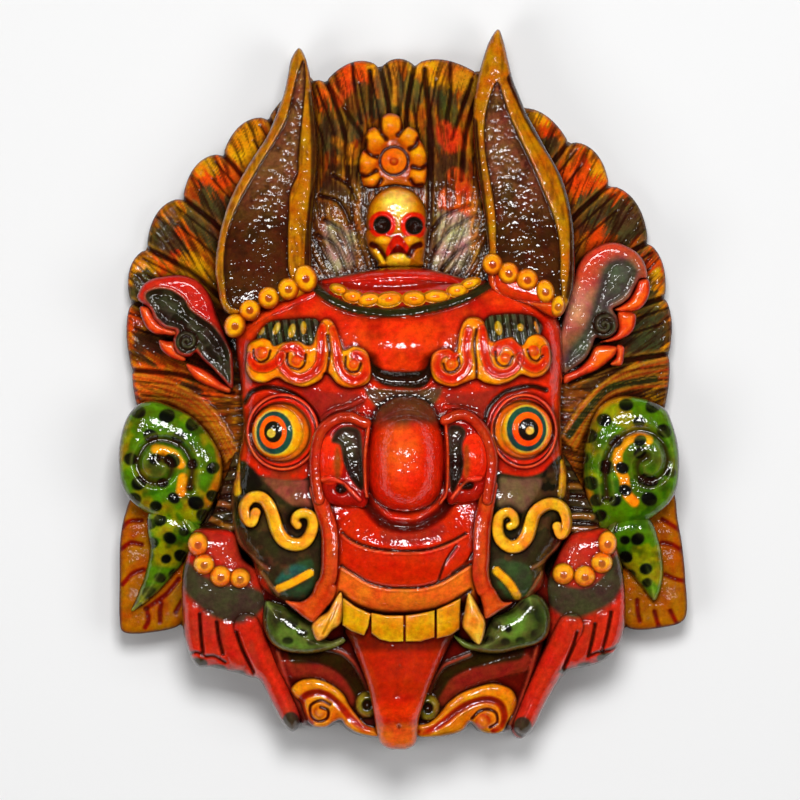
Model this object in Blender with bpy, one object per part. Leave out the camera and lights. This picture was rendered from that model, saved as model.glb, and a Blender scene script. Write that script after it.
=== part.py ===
"""A carved wooden guardian mask with horns, a feather crest and a snake held across the mouth.

One block of wood, lying on its flat back with the face up. The horns point to +Y, +Z is up, and the origin is
under the middle of the outline. The front is a carved relief over one outline, and the head is hollow behind.

The plan is drawn in drawing millimetres, on a board DRAWN_HEIGHT tall with its middle at (0, 0),
and the heights are in drawing millimetres above the back, with the tip of the nose at DRAWN_DEPTH.
"""

import bpy
import numpy as np

# Driving sizes, in metres
HEIGHT = 0.432
DEPTH = 0.122
RIM = 0.016
WALL = 0.014
SIDE_WALL = 0.02
HOLLOW_SLOPE = 0.026
HORN_UNDERCUT = 0.014

# The board that the carving is drawn on, in drawing millimetres
DRAWN_HEIGHT = 432.0
DRAWN_DEPTH = 122.0
DEEPEST_CUT = 14.0

# How finely the carving is cut, in drawing millimetres, and how many triangles are kept
STEP = 2.3
SOFT = 1.5
TRIANGLES = 9400

PLAN = HEIGHT / DRAWN_HEIGHT
LIFT = DEPTH / DRAWN_DEPTH

# The head without its carving: an arch across the face
HEAD_HALF_WIDTH = 106.0
HEAD_EDGE = 54.0
HEAD_CROWN = 90.0

# The crest: its height where it meets the head, the oval it follows, and the distances over which it slopes
CREST_ROOT = 46.0
CREST_CENTRE = 10.0
CREST_FLATNESS = 0.86
CREST_OUTER = 178.0
CREST_SLOPE = 90.0

# Tops of the carved forms above the back, in drawing millimetres, and how far some of them fall away
CROWN_FALL = 13.0
CHIN_FALL = 5.0
HORN_TIP = 44.0
HORN_ROOT = 80.0
SKULL_TOP = 68.0
SKULL_JAW_TOP = 66.0
PETALS_TOP = 51.0
ROSETTE_TOP = 52.0
EAR_TOP = 52.0
SIDE_FEATHERS_TOP = 27.0
TAIL_TOP = 40.0
COIL_TOP = 52.0
HAND_TOP = 62.0
FINGERS_FALL = 14.0
WRIST_BEADS_TOP = 68.0
DIADEM_TOP = 83.0
JAW_TOP = 70.0
JAW_FALL = 16.0
JAW_SIDES_FALL = 10.0
TONGUE_TOP = 84.0
TONGUE_FALL = 20.0
TEETH_TOP = 90.0
FANGS_TOP = 93.0
WINGS_TOP = 98.0
NOSE_ROOT = 101.0
NOSE_END_FALL = 6.0
BROW_RISE = 10.0
COMB_RISE = 3.0
LID_RISE = 5.0
EYEBALL_RISE = 15.0

# The horns' sunk field: its depth at the edge, how far it swells again, and the width of the raised edge
HORN_FIELD_DEPTH = 2.4
HORN_FIELD_SWELL = 3.4
HORN_EDGE = 5.5

# The hollow's plan: 2 is an oval, more is squarer. The horns' undercut starts at this height on the plan
HOLLOW_SQUARENESS = 2.6
HORN_TIPS_FROM = 190.0


def ramp(t):
    """A smooth step from 0 to 1."""
    t = np.clip(t, 0.0, 1.0)
    return t * t * (3.0 - 2.0 * t)


def bump(distance, width):
    """A round hump, 1 in the middle and 0 from width on."""
    t = np.clip(distance / width, 0.0, 1.0)
    return (1.0 - t * t) ** 2


def spline(points, closed=False, steps=5):
    """Points along a smooth curve through the given ones."""
    p = np.asarray(points, float)
    if closed:
        q = np.vstack([p[-1:], p, p[:2]])
    else:
        q = np.vstack([2 * p[:1] - p[1:2], p, 2 * p[-1:] - p[-2:-1]])
    a, b, c, d = q[:-3], q[1:-2], q[2:-1], q[3:]
    rows = []
    for t in np.linspace(0.0, 1.0, steps, endpoint=False):
        cubic = (3 * b - a - 3 * c + d) * t**3
        square = (2 * a - 5 * b + 4 * c - d) * t * t
        rows.append(0.5 * (2 * b + (c - a) * t + square + cubic))
    line = np.stack(rows, axis=1).reshape(-1, 2)
    return line if closed else np.vstack([line, p[-1:]])


def oval(x, y, rx, ry, turn=0.0, count=28):
    """A closed oval outline."""
    a = np.linspace(0.0, 2 * np.pi, count, endpoint=False)
    u, v = rx * np.cos(a), ry * np.sin(a)
    cos, sin = np.cos(turn), np.sin(turn)
    return np.stack([x + u * cos - v * sin, y + u * sin + v * cos], axis=1)


def spiral(x, y, radius, turns, start, count=26, inner=0.12):
    """A curl that winds in from its radius to its middle. Turns below 0 wind clockwise."""
    t = np.linspace(0.0, 1.0, count)
    r = radius * (1.0 - t * (1.0 - inner))
    a = start + t * turns * 2 * np.pi
    return np.stack([x + r * np.cos(a), y + r * np.sin(a)], axis=1)


def inside(x, y, loop):
    """Distance in from a closed outline: positive inside it, negative outside."""
    best = np.full(x.shape, 1e12)
    odd = np.zeros(x.shape, bool)
    for (ax, ay), (bx, by) in zip(loop, np.roll(loop, -1, axis=0)):
        dx, dy = bx - ax, by - ay
        t = np.clip(((x - ax) * dx + (y - ay) * dy) / (dx * dx + dy * dy + 1e-12), 0.0, 1.0)
        best = np.minimum(best, (x - ax - t * dx) ** 2 + (y - ay - t * dy) ** 2)
        if dy != 0.0:
            odd ^= ((ay > y) != (by > y)) & (x < ax + (y - ay) * dx / dy)
    return np.where(odd, 1.0, -1.0) * np.sqrt(best)


def beside(x, y, line):
    """Distance from an open line, and the share of its length at the nearest point."""
    best = np.full(x.shape, 1e12)
    share = np.zeros(x.shape)
    runs = np.hypot(*np.diff(line, axis=0).T)
    ends = np.concatenate([[0.0], np.cumsum(runs)])
    for k, run in enumerate(runs):
        (ax, ay), (bx, by) = line[k], line[k + 1]
        dx, dy = bx - ax, by - ay
        t = np.clip(((x - ax) * dx + (y - ay) * dy) / (dx * dx + dy * dy + 1e-12), 0.0, 1.0)
        d = (x - ax - t * dx) ** 2 + (y - ay - t * dy) ** 2
        nearer = d < best
        best = np.where(nearer, d, best)
        share = np.where(nearer, (ends[k] + t * run) / ends[-1], share)
    return np.sqrt(best), share


def head_form(x, y):
    """The head's large form, before it is carved."""
    across = np.sqrt(np.clip(1.0 - (x / HEAD_HALF_WIDTH) ** 2, 0.0, 1.0))
    z = HEAD_EDGE + (HEAD_CROWN - HEAD_EDGE) * across
    z = z - CROWN_FALL * ramp((y - 20.0) / 60.0)
    return z - CHIN_FALL * ramp((-100.0 - y) / 40.0)


def crest_form(x, y):
    """The crest's large form, thin at its rim and thick at its root."""
    rim = RIM / LIFT
    distance = np.hypot(x, (y - CREST_CENTRE) * CREST_FLATNESS)
    return rim + (CREST_ROOT - rim) * ramp((CREST_OUTER - distance) / CREST_SLOPE)


class Relief:
    """The heights of a carving at some points of its plan."""

    def __init__(self, x, y):
        self.x = x
        self.y = y
        self.z = crest_form(x, y)

    def near(self, points, margin):
        """The grid's points in the box round a shape."""
        low, high = points.min(axis=0) - margin, points.max(axis=0) + margin
        held = (self.x > low[0]) & (self.x < high[0]) & (self.y > low[1]) & (self.y < high[1])
        return np.nonzero(held)[0]

    def plate(self, loop, top, drop=0.0, rounding=5.0, soft=SOFT):
        """Raises what lies inside an outline to a height, with a rounded edge that falls by drop."""
        i = self.near(loop, soft)
        x, y = self.x[i], self.y[i]
        d = inside(x, y, loop)
        height = top(x, y) if callable(top) else np.full(x.shape, float(top))
        out = 1.0 - np.clip(d / rounding, 0.0, 1.0)
        height = height - drop * (1.0 - np.sqrt(1.0 - out * out))
        blend = ramp(0.5 + d / (2.0 * soft))
        self.z[i] += (np.maximum(height, self.z[i]) - self.z[i]) * blend

    def cord(self, line, width, rise, taper=0.0):
        """Raises a round ridge along a line. Taper narrows it towards the line's end."""
        i = self.near(line, width)
        d, share = beside(self.x[i], self.y[i], line)
        half = width * (1.0 - taper * share)
        self.z[i] += rise * np.sqrt(np.clip(1.0 - (d / half) ** 2, 0.0, 1.0))

    def cut(self, line, width, depth, taper=0.0):
        """Cuts a groove along a line."""
        i = self.near(line, width)
        d, share = beside(self.x[i], self.y[i], line)
        self.z[i] -= depth * (1.0 - taper * share) * bump(d, width)

    def ball(self, x, y, rx, ry, low, high):
        """Raises a round boss."""
        i = self.near(np.array([[x - rx, y - ry], [x + rx, y + ry]]), 0.0)
        r = np.hypot((self.x[i] - x) / rx, (self.y[i] - y) / ry)
        height = low + (high - low) * np.sqrt(np.clip(1.0 - r * r, 0.0, 1.0))
        self.z[i] = np.where(r < 1.0, np.maximum(self.z[i], height), self.z[i])

    def swell(self, x, y, rx, ry, rise):
        """Raises or sinks a soft mound."""
        r = np.hypot((self.x - x) / rx, (self.y - y) / ry)
        self.z += rise * bump(r, 1.0)


# The crest's feathers: where two neighbours meet on the outline, and how far the feather between them bulges
LEFT_NOTCHES = [
    (-13.2, 192.6, 4.5),
    (-45.6, 184.8, 7.0),
    (-80.4, 162.0, 8.0),
    (-107.4, 140.4, 8.4),
    (-131.4, 114.0, 8.4),
    (-153.0, 84.0, 7.2),
    (-162.6, 51.6, 3.6),
    (-162.0, 10.8, 1.2),
]
RIGHT_NOTCHES = [
    (7.8, 194.4, 7.2),
    (50.0, 186.0, 3.0),
    (70.0, 168.0, 6.6),
    (100.2, 147.6, 8.4),
    (124.2, 121.8, 8.4),
    (147.6, 87.6, 5.4),
    (157.8, 54.6, 3.6),
    (160.2, 20.4, 1.8),
]
LEFT_CREST_END = (-159.0, -11.4)
RIGHT_CREST_END = (157.8, -12.6)
FEATHER_ROOT = (0.0, -25.0)
FEATHER_GROOVE = 62.0
FAN_FROM, FAN_TO = 148.0, 205.0
FAN_STEP = 0.1


def lobe(start, end, bulge, lean=0.8, count=9):
    """One feather's outline, bulging out to the left of the way from start to end."""
    s = np.linspace(0.0, 1.0, count, endpoint=False)
    a, b = np.array(start), np.array(end)
    run = b - a
    out = np.array([run[1], -run[0]]) / np.hypot(*run)
    rise = bulge * np.sin(np.pi * s**lean) ** 0.75
    return a + s[:, None] * run + rise[:, None] * out


def crest_outline():
    """The crest's whole outline, clockwise from the top, closed behind the hands and the jaw."""
    rows = []
    right = RIGHT_NOTCHES + [(*RIGHT_CREST_END, 0.0)]
    left = LEFT_NOTCHES + [(*LEFT_CREST_END, 0.0)]
    for (x0, y0, bulge), (x1, y1, _) in zip(right, right[1:]):
        rows.append(lobe((x0, y0), (x1, y1), -bulge))
    rows.append([RIGHT_CREST_END, (150.0, -90.0), (114.0, -150.0), (82.0, -166.0), (50.0, -190.0)])
    rows.append([(-50.0, -190.0), (-82.0, -166.0), (-114.0, -150.0), (-150.0, -90.0), LEFT_CREST_END])
    back = []
    for (x0, y0, bulge), (x1, y1, _) in zip(left, left[1:]):
        back.append(lobe((x0, y0), (x1, y1), bulge))
    rows.append(np.vstack(back)[::-1])
    rows.append(lobe(LEFT_NOTCHES[0][:2], RIGHT_NOTCHES[0][:2], -5.4, lean=1.0)[1:])
    return np.vstack([np.asarray(r, float) for r in rows])


LEFT_HORN = [
    (-62.4, 204.6), (-66.6, 198.0), (-68.6, 188.0), (-71.0, 177.0), (-76.2, 162.6), (-81.6, 150.6),
    (-89.4, 138.6), (-96.6, 126.6), (-102.6, 114.6), (-106.8, 102.6), (-109.8, 90.6), (-111.6, 77.4),
    (-111.0, 64.0), (-104.0, 45.0), (-80.0, 50.0), (-58.0, 57.0), (-54.0, 72.6), (-54.0, 92.4),
    (-52.4, 110.4), (-51.0, 125.4), (-50.4, 143.4), (-51.6, 161.4), (-53.4, 176.0), (-56.0, 192.0),
    (-59.0, 201.6),
]
HORN_ROOT_Y = 50.0
RIGHT_HORN = [
    (57.6, 216.0), (52.4, 208.8), (48.6, 198.0), (45.2, 185.4), (43.2, 173.4), (42.6, 155.4),
    (44.4, 134.4), (46.8, 119.4), (49.2, 104.4), (51.6, 83.4), (53.4, 60.0), (76.8, 50.0), (92.4, 42.6),
    (101.4, 56.0), (103.4, 74.4), (102.8, 95.4), (100.8, 108.6), (97.8, 120.6), (93.6, 131.4),
    (87.6, 141.6), (81.0, 153.6), (75.0, 164.4), (70.8, 174.6), (66.6, 185.4), (63.6, 197.4),
    (60.8, 209.4),
]
HEAD = [
    (-99.6, 35.4), (-86.0, 50.0), (-67.2, 61.0), (-52.2, 65.0), (-37.2, 67.8), (-19.2, 71.4),
    (-1.2, 73.2), (16.8, 72.0), (34.8, 67.2), (52.8, 65.0), (72.0, 62.0), (86.0, 53.0), (94.8, 38.4),
    (96.6, 17.4), (95.4, -6.6), (96.0, -36.0), (100.2, -54.6), (100.2, -78.6), (95.0, -93.6),
    (86.4, -104.0), (84.0, -119.0), (70.8, -127.0), (52.2, -128.0), (40.8, -131.4), (16.8, -135.0),
    (-1.2, -136.2), (-19.2, -135.0), (-37.2, -131.4), (-51.6, -130.8), (-70.2, -127.8), (-84.0, -119.0),
    (-90.0, -102.6), (-99.6, -90.6), (-103.2, -66.6), (-99.6, -48.6), (-95.4, -24.6), (-97.2, 5.4),
]
LEFT_EAR = [
    (-157.8, 55.8), (-152.0, 63.0), (-141.0, 67.8), (-127.2, 66.4), (-118.0, 60.0), (-111.6, 47.0),
    (-106.0, 30.0), (-100.8, 11.4), (-101.4, 0.6), (-112.2, 3.6), (-121.2, 10.8), (-130.0, 16.4),
    (-136.2, 23.4), (-139.2, 33.0), (-149.0, 40.2), (-156.6, 48.6),
]
RIGHT_EAR = [
    (106.8, 76.2), (114.0, 83.0), (124.8, 87.0), (136.8, 83.8), (144.6, 74.4), (148.4, 62.4), (143.4, 53.4),
    (134.4, 46.8), (130.8, 37.0), (129.0, 26.4), (120.0, 16.4), (108.0, 9.0), (96.0, 6.6), (93.6, 14.0),
    (94.8, 29.4), (97.2, 43.0), (102.0, 58.0), (103.8, 68.4),
]
LEFT_EAR_CURL = (-128.4, 28.2, 9.0)
RIGHT_EAR_CURL = (121.2, 38.4, 9.0)
LEFT_COIL = [
    (-157.8, -9.0), (-165.0, -17.0), (-169.0, -30.0), (-170.0, -44.0), (-168.0, -58.0), (-160.8, -69.0),
    (-150.6, -76.2), (-136.2, -83.4), (-121.2, -82.0), (-113.0, -68.4), (-108.0, -54.6), (-108.4, -40.8),
    (-114.6, -28.8), (-124.8, -17.4), (-139.2, -10.0), (-149.0, -7.0),
]
RIGHT_COIL = [
    (157.8, -12.0), (162.0, -20.4), (165.6, -33.6), (166.4, -48.0), (164.4, -61.0), (157.2, -72.0),
    (144.0, -81.6), (130.8, -85.2), (118.8, -84.6), (112.2, -69.6), (108.6, -54.6), (109.2, -36.6),
    (112.8, -21.6), (119.4, -9.6), (131.4, -4.2), (146.4, -6.0),
]
LEFT_TAIL = [
    (-151.2, -73.0), (-153.0, -84.6), (-151.8, -97.2), (-154.8, -112.2), (-159.0, -123.6), (-162.6, -133.8),
    (-151.8, -127.2), (-139.8, -115.2), (-130.2, -102.6), (-120.0, -83.4), (-136.2, -70.0),
]
RIGHT_TAIL = [
    (118.8, -83.4), (133.8, -73.0), (148.0, -77.0), (154.2, -90.6), (157.2, -105.6), (156.0, -119.4),
    (151.2, -127.8), (142.8, -117.6), (130.8, -104.0), (121.8, -93.6),
]
LEFT_SIDE_FEATHERS = [
    (-160.8, -64.0), (-166.2, -74.0), (-169.4, -90.6), (-169.8, -114.6), (-169.8, -138.0), (-166.8, -146.4),
    (-151.2, -146.4), (-133.2, -141.6), (-125.4, -126.6), (-130.2, -102.6), (-146.0, -66.0),
]
RIGHT_SIDE_FEATHERS = [
    (162.6, -62.0), (165.8, -78.6), (168.6, -95.0), (170.4, -114.6), (170.4, -137.4), (156.0, -143.4),
    (135.6, -143.4), (128.0, -126.6), (133.8, -102.6), (148.0, -66.0),
]
SIDE_FEATHER_GROOVES = [
    [(-172.0, -84.0), (-164.0, -79.6), (-156.0, -79.0)],
    [(-172.0, -97.0), (-163.0, -92.4), (-156.0, -93.4)],
    [(-172.0, -118.0), (-162.0, -111.0), (-155.0, -108.6)],
    [(156.0, -78.4), (162.0, -81.6), (172.0, -87.0)],
    [(156.0, -92.4), (162.6, -93.6), (172.0, -98.4)],
    [(158.0, -111.6), (164.0, -114.0), (172.0, -116.0)],
]
LEFT_CURL = [
    (-127.2, -58.8), (-126.0, -45.6), (-131.4, -35.4), (-142.2, -30.6), (-152.4, -33.0), (-157.8, -40.8),
    (-157.8, -48.6), (-152.4, -55.2), (-144.0, -55.8), (-138.6, -51.0), (-138.6, -44.4), (-143.4, -40.8),
]
RIGHT_CURL = [
    (123.0, -64.8), (121.8, -48.6), (126.0, -35.4), (135.6, -27.0), (145.8, -25.2), (154.8, -30.6),
    (159.0, -40.2), (157.2, -49.8), (150.0, -55.2), (142.8, -52.2), (141.6, -45.0), (146.4, -40.8),
]
LEFT_HAND = [
    (-124.8, -84.6), (-112.2, -83.4), (-100.2, -86.4), (-95.4, -101.4), (-84.6, -110.4), (-80.4, -126.6),
    (-77.4, -150.6), (-70.2, -168.6), (-63.0, -186.6), (-60.6, -198.6), (-65.4, -205.8), (-72.0, -199.8),
    (-79.2, -186.6), (-85.2, -175.2), (-91.8, -172.8), (-97.2, -171.0), (-104.4, -169.2), (-115.2, -166.8),
    (-123.0, -166.2), (-128.4, -156.0), (-131.4, -143.4), (-132.0, -114.6), (-128.4, -96.6),
]
RIGHT_HAND = [
    (99.6, -88.0), (112.8, -84.0), (124.8, -84.6), (130.8, -101.4), (133.8, -120.6), (133.8, -141.0),
    (129.6, -154.8), (120.6, -163.2), (109.8, -166.8), (98.4, -170.4), (87.6, -186.6), (79.2, -202.8),
    (71.0, -210.0), (65.2, -203.4), (70.8, -186.6), (79.2, -166.8), (86.4, -150.6), (87.6, -132.6),
    (86.4, -117.6), (91.2, -104.4),
]
FINGER_GROOVES = [
    [(-121.2, -135.0), (-120.6, -145.8), (-119.4, -160.0)],
    [(-111.0, -139.8), (-109.8, -149.4), (-107.4, -162.0)],
    [(-99.0, -145.8), (-95.4, -156.6), (-88.8, -170.0)],
    [(125.4, -133.8), (123.0, -145.8), (120.0, -158.0)],
    [(115.8, -141.0), (114.0, -150.6), (112.2, -161.0)],
    [(105.0, -145.8), (102.0, -155.4), (96.6, -167.4)],
]
THUMBS = [
    [(-93.0, -142.0), (-86.0, -158.0), (-78.0, -176.0), (-66.0, -201.0)],
    [(101.0, -142.0), (92.0, -160.0), (84.0, -178.0), (72.0, -203.0)],
]
JAW = [
    (-84.0, -108.0), (-79.8, -156.6), (-69.0, -180.0), (-62.4, -198.0), (-57.6, -202.6), (-46.2, -203.4),
    (-37.8, -201.0), (-30.0, -206.4), (-15.6, -209.4), (12.0, -209.4), (24.0, -208.8), (33.0, -205.2),
    (40.2, -200.4), (46.8, -205.8), (63.0, -205.8), (69.6, -201.0), (75.0, -180.6), (85.2, -150.6),
    (86.4, -110.0), (40.0, -96.0), (-40.0, -96.0),
]
TONGUE = [
    (-34.2, -143.0), (-30.6, -152.4), (-25.2, -165.0), (-20.7, -178.0), (-17.4, -192.6), (-15.6, -204.0),
    (-13.2, -211.8), (-8.4, -215.4), (-3.0, -216.0), (3.6, -215.6), (8.7, -211.2), (10.2, -198.0),
    (13.8, -186.6), (18.3, -174.6), (23.7, -162.6), (29.4, -151.8), (33.6, -143.0), (16.0, -136.0),
    (-18.0, -136.0),
]

LEFT_BROW = [
    (-93.0, 23.4), (-91.2, 27.6), (-84.0, 30.6), (-79.0, 29.0), (-76.2, 26.0), (-70.2, 28.2), (-62.4, 28.8),
    (-57.0, 26.4), (-53.4, 27.6), (-51.0, 35.4), (-47.4, 41.4), (-42.6, 41.4), (-39.0, 36.0), (-36.0, 26.4),
    (-34.2, 23.4), (-28.2, 25.8), (-21.0, 22.2), (-18.6, 14.4), (-18.6, 6.6), (-22.2, 2.4), (-31.2, 0.6),
    (-38.4, 3.0), (-43.0, 8.4), (-46.2, 9.6), (-48.6, 5.4), (-58.2, 1.2), (-68.4, 3.6), (-74.4, 6.6),
    (-82.2, 3.6), (-90.0, 5.4), (-93.6, 12.0),
]
RIGHT_BROW = [
    (17.4, 18.6), (20.4, 22.8), (27.6, 24.6), (32.4, 22.8), (34.2, 34.2), (37.8, 41.4), (43.2, 43.2),
    (48.6, 40.8), (51.0, 34.8), (53.4, 28.8), (59.4, 30.0), (66.0, 31.2), (71.4, 26.4), (75.6, 31.2),
    (81.6, 33.0), (87.0, 28.8), (89.4, 21.0), (88.8, 13.8), (84.6, 8.4), (78.0, 6.6), (71.4, 8.4),
    (65.4, 4.8), (57.6, 2.4), (49.8, 3.6), (44.4, 6.0), (37.2, 3.6), (30.0, 1.2), (20.4, 4.2), (17.1, 10.8),
]
LEFT_BROW_CURLS = [(-84.0, 21.6), (-62.4, 18.6), (-30.0, 15.6)]
RIGHT_BROW_CURLS = [(27.6, 14.4), (61.8, 20.4), (79.8, 22.2)]
LEFT_COMB = [
    (-87.0, 28.8), (-84.0, 36.0), (-78.0, 40.8), (-66.6, 42.6), (-50.4, 42.0), (-52.0, 28.0), (-60.0, 25.0),
    (-75.0, 25.0),
]
RIGHT_COMB = [
    (50.4, 42.6), (60.0, 45.0), (72.0, 45.0), (80.4, 42.6), (84.0, 35.0), (74.4, 25.8), (55.8, 27.0),
    (50.0, 32.0),
]

LEFT_EYE = (-72.0, -27.0, 18.0, 18.6)
RIGHT_EYE = (72.6, -24.6, 18.0, 18.0)
LID_WIDTH = 4.6

NOSE = [
    (-18.8, -62.0), (-20.4, -48.0), (-19.6, -28.0), (-17.0, -14.0), (-9.0, -6.0), (2.0, -3.6), (14.0, -6.0),
    (21.4, -14.0), (24.6, -27.0), (25.6, -42.0), (24.0, -59.0), (18.6, -67.6), (10.0, -72.0), (0.0, -73.0),
    (-11.0, -70.0),
]
NOSE_MIDDLE = 3.0
LEFT_NOSTRIL = [
    (-20.0, -20.0), (-40.0, -18.0), (-50.0, -34.0), (-49.0, -58.0), (-38.0, -66.0), (-20.0, -66.0),
]
RIGHT_NOSTRIL = [(25.0, -20.0), (40.0, -18.0), (50.0, -34.0), (49.0, -58.0), (38.0, -66.0), (25.0, -66.0)]
LEFT_WING = [
    (-24.0, -18.6), (-34.2, -15.0), (-45.6, -20.4), (-52.2, -30.6), (-53.4, -42.6), (-51.6, -54.6),
    (-48.6, -66.6), (-44.4, -80.0), (-43.2, -95.0), (-44.4, -110.0), (-49.2, -120.6), (-58.2, -126.6),
]
RIGHT_WING = [
    (25.2, -15.6), (36.0, -13.6), (45.6, -18.0), (52.2, -28.2), (54.6, -42.6), (52.2, -57.6), (48.6, -72.0),
    (47.4, -90.0), (47.4, -105.6), (51.6, -118.2), (60.6, -126.0),
]
UNDER_NOSE = [
    (-30.0, -62.0), (-24.0, -69.6), (-16.2, -75.6), (-1.2, -79.8), (16.8, -77.4), (28.8, -69.6),
    (34.8, -61.0),
]
UPPER_LIP = [
    (-40.2, -84.6), (-31.2, -90.6), (-16.2, -96.6), (-1.2, -97.8), (16.8, -95.4), (31.8, -90.6),
    (42.0, -83.4),
]
LIP_RIDGE = [
    (-37.8, -104.4), (-25.2, -112.8), (-13.2, -116.4), (-1.2, -118.8), (10.8, -117.6), (22.8, -114.6),
    (40.2, -104.4),
]
TEETH = [
    [(-36.0, -124.2), (-19.0, -133.6), (-19.6, -146.4), (-30.0, -145.2), (-36.0, -141.6)],
    [(-18.6, -133.4), (1.2, -135.0), (1.2, -151.0), (-13.2, -150.0), (-18.6, -146.4)],
    [(1.8, -135.0), (19.8, -132.0), (19.8, -148.8), (1.8, -151.0)],
    [(20.4, -131.6), (35.4, -124.8), (34.8, -143.8), (20.4, -149.4)],
]
LEFT_FANG = [
    (-37.8, -120.0), (-43.2, -129.0), (-52.2, -136.2), (-54.3, -142.8), (-51.6, -148.8), (-48.0, -150.9),
    (-42.6, -146.4), (-36.6, -141.0), (-34.8, -126.6),
]
RIGHT_FANG = [
    (36.0, -122.4), (39.6, -121.2), (45.6, -129.0), (50.1, -137.4), (49.2, -145.2), (46.8, -151.8),
    (43.5, -152.4), (40.2, -147.6), (36.0, -139.8),
]

LEFT_SCROLL = [
    (-92.0, -72.0), (-91.8, -64.8), (-86.0, -63.0), (-79.8, -69.0), (-75.6, -79.8), (-71.4, -90.6),
    (-63.0, -94.2), (-54.0, -88.8), (-51.6, -79.2), (-56.4, -72.6), (-61.8, -76.0), (-61.2, -81.6),
]
RIGHT_SCROLL = [
    (92.0, -80.0), (91.8, -72.0), (86.4, -67.8), (79.2, -72.6), (74.4, -83.0), (70.0, -92.4), (63.0, -95.4),
    (57.6, -89.4), (57.6, -79.0), (62.4, -74.4), (67.2, -79.2), (64.0, -84.0),
]
LEFT_JAW_SCROLL = [
    (-18.0, -204.0), (-26.0, -197.4), (-32.4, -188.0), (-40.8, -180.6), (-51.0, -177.6), (-60.0, -181.8),
    (-63.0, -190.8), (-58.2, -198.6), (-50.4, -199.2), (-46.2, -194.0),
]
RIGHT_JAW_SCROLL = [
    (19.0, -202.0), (25.2, -193.2), (33.0, -185.4), (44.4, -179.4), (56.4, -177.6), (65.4, -183.0),
    (67.2, -192.0), (61.8, -200.4), (53.4, -201.6), (48.6, -196.8),
]
LEFT_SNAKE = [(-76.0, -116.0), (-80.0, -131.0), (-74.0, -146.0), (-58.0, -153.0), (-34.0, -149.0)]
RIGHT_SNAKE = [(79.0, -116.0), (83.0, -132.0), (77.0, -146.0), (58.0, -152.0), (28.0, -150.0)]

BEADS = [
    (-99.6, 37.8), (-90.6, 46.8), (-79.8, 54.6), (-68.4, 60.0), (-58.8, 67.2), (53.4, 74.4), (63.0, 70.2),
    (75.0, 66.0), (85.8, 57.6), (93.0, 50.4),
]
LEFT_WRIST_BEADS = [(-122.4, -94.2), (-118.8, -104.4), (-108.6, -111.6), (-97.2, -111.6)]
RIGHT_WRIST_BEADS = [(122.4, -93.0), (119.4, -105.0), (109.2, -112.2), (96.6, -111.0)]
BEAD_RADIUS = 6.2
GARLAND = [
    (-38.4, 59.4), (-29.4, 55.8), (-18.0, 54.6), (-3.0, 53.4), (13.2, 54.6), (28.8, 57.6), (42.0, 63.6),
]
HEAD_BAND = [
    (-53.4, 58.0), (-46.2, 53.4), (-34.2, 50.4), (-19.2, 48.0), (-1.2, 46.8), (18.0, 48.0), (36.0, 52.8),
    (52.8, 61.0),
]

SKULL = (-3.6, 101.4, 19.2, 20.4)
SKULL_JAW = (-2.4, 77.4, 12.0, 5.4)
SKULL_SOCKETS = [(-12.6, 97.8), (6.0, 97.8)]
SOCKET_RADIUS = 7.6
ROSETTE = (-5.4, 136.8, 8.6)
ROSETTE_PETALS = [
    (-5.4, 158.4), (-17.4, 150.0), (-19.2, 137.4), (-18.0, 125.4), (6.0, 150.6), (9.6, 138.6), (8.4, 126.6),
]
PETAL_RADIUS = 7.2


def outlines():
    """Every outline that reaches the mask's edge, smoothed."""
    loops = [crest_outline()]
    for points in (
        LEFT_HORN,
        RIGHT_HORN,
        HEAD,
        LEFT_EAR,
        RIGHT_EAR,
        LEFT_COIL,
        RIGHT_COIL,
        LEFT_TAIL,
        RIGHT_TAIL,
        LEFT_SIDE_FEATHERS,
        RIGHT_SIDE_FEATHERS,
        LEFT_HAND,
        RIGHT_HAND,
        JAW,
        TONGUE,
    ):
        loops.append(spline(points, closed=True, steps=4))
    return loops


def mask_inside(x, y, loops):
    """Distance in from the whole mask's outline."""
    best = np.full(x.shape, -1e9)
    for loop in loops:
        best = np.maximum(best, inside(x, y, loop))
    return best


def carve_crest(relief):
    """The feathers: a groove in from each notch, and the fan of short feathers between the horns."""
    root = np.array(FEATHER_ROOT)
    for x, y, _ in LEFT_NOTCHES + RIGHT_NOTCHES:
        notch = np.array([x, y])
        inward = (root - notch) / np.hypot(*(root - notch))
        side = np.array([-inward[1], inward[0]]) * np.sign(x)
        middle = notch + inward * FEATHER_GROOVE * 0.5 - side * 5.0
        groove = spline([notch - inward * 4.0, middle, notch + inward * FEATHER_GROOVE])
        relief.cut(groove, 5.5, 5.0, taper=0.5)
    for k in range(-2, 3):
        angle = np.pi / 2 + k * FAN_STEP
        run = np.array([np.cos(angle), np.sin(angle)])
        relief.cut(np.array([root + run * FAN_FROM, root + run * FAN_TO]), 4.5, 3.0)


def horn_top(tip_y):
    """A horn's height, rising from its tip to its root."""

    def top(x, y):
        along = np.clip((tip_y - y) / (tip_y - HORN_ROOT_Y), 0.0, 1.0)
        return HORN_TIP + (HORN_ROOT - HORN_TIP) * along**1.1

    return top


def carve_horns(relief):
    """Two horns, each with a sunk field that swells between raised edges."""
    for points in (LEFT_HORN, RIGHT_HORN):
        loop = spline(points, closed=True, steps=4)
        relief.plate(loop, horn_top(points[0][1]), drop=5.0, rounding=7.0)
        i = relief.near(loop, 0.0)
        d = inside(relief.x[i], relief.y[i], loop) - HORN_EDGE
        relief.z[i] += HORN_FIELD_SWELL * ramp((d - 1.0) / 13.0) - HORN_FIELD_DEPTH * ramp(d / 2.5)


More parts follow.
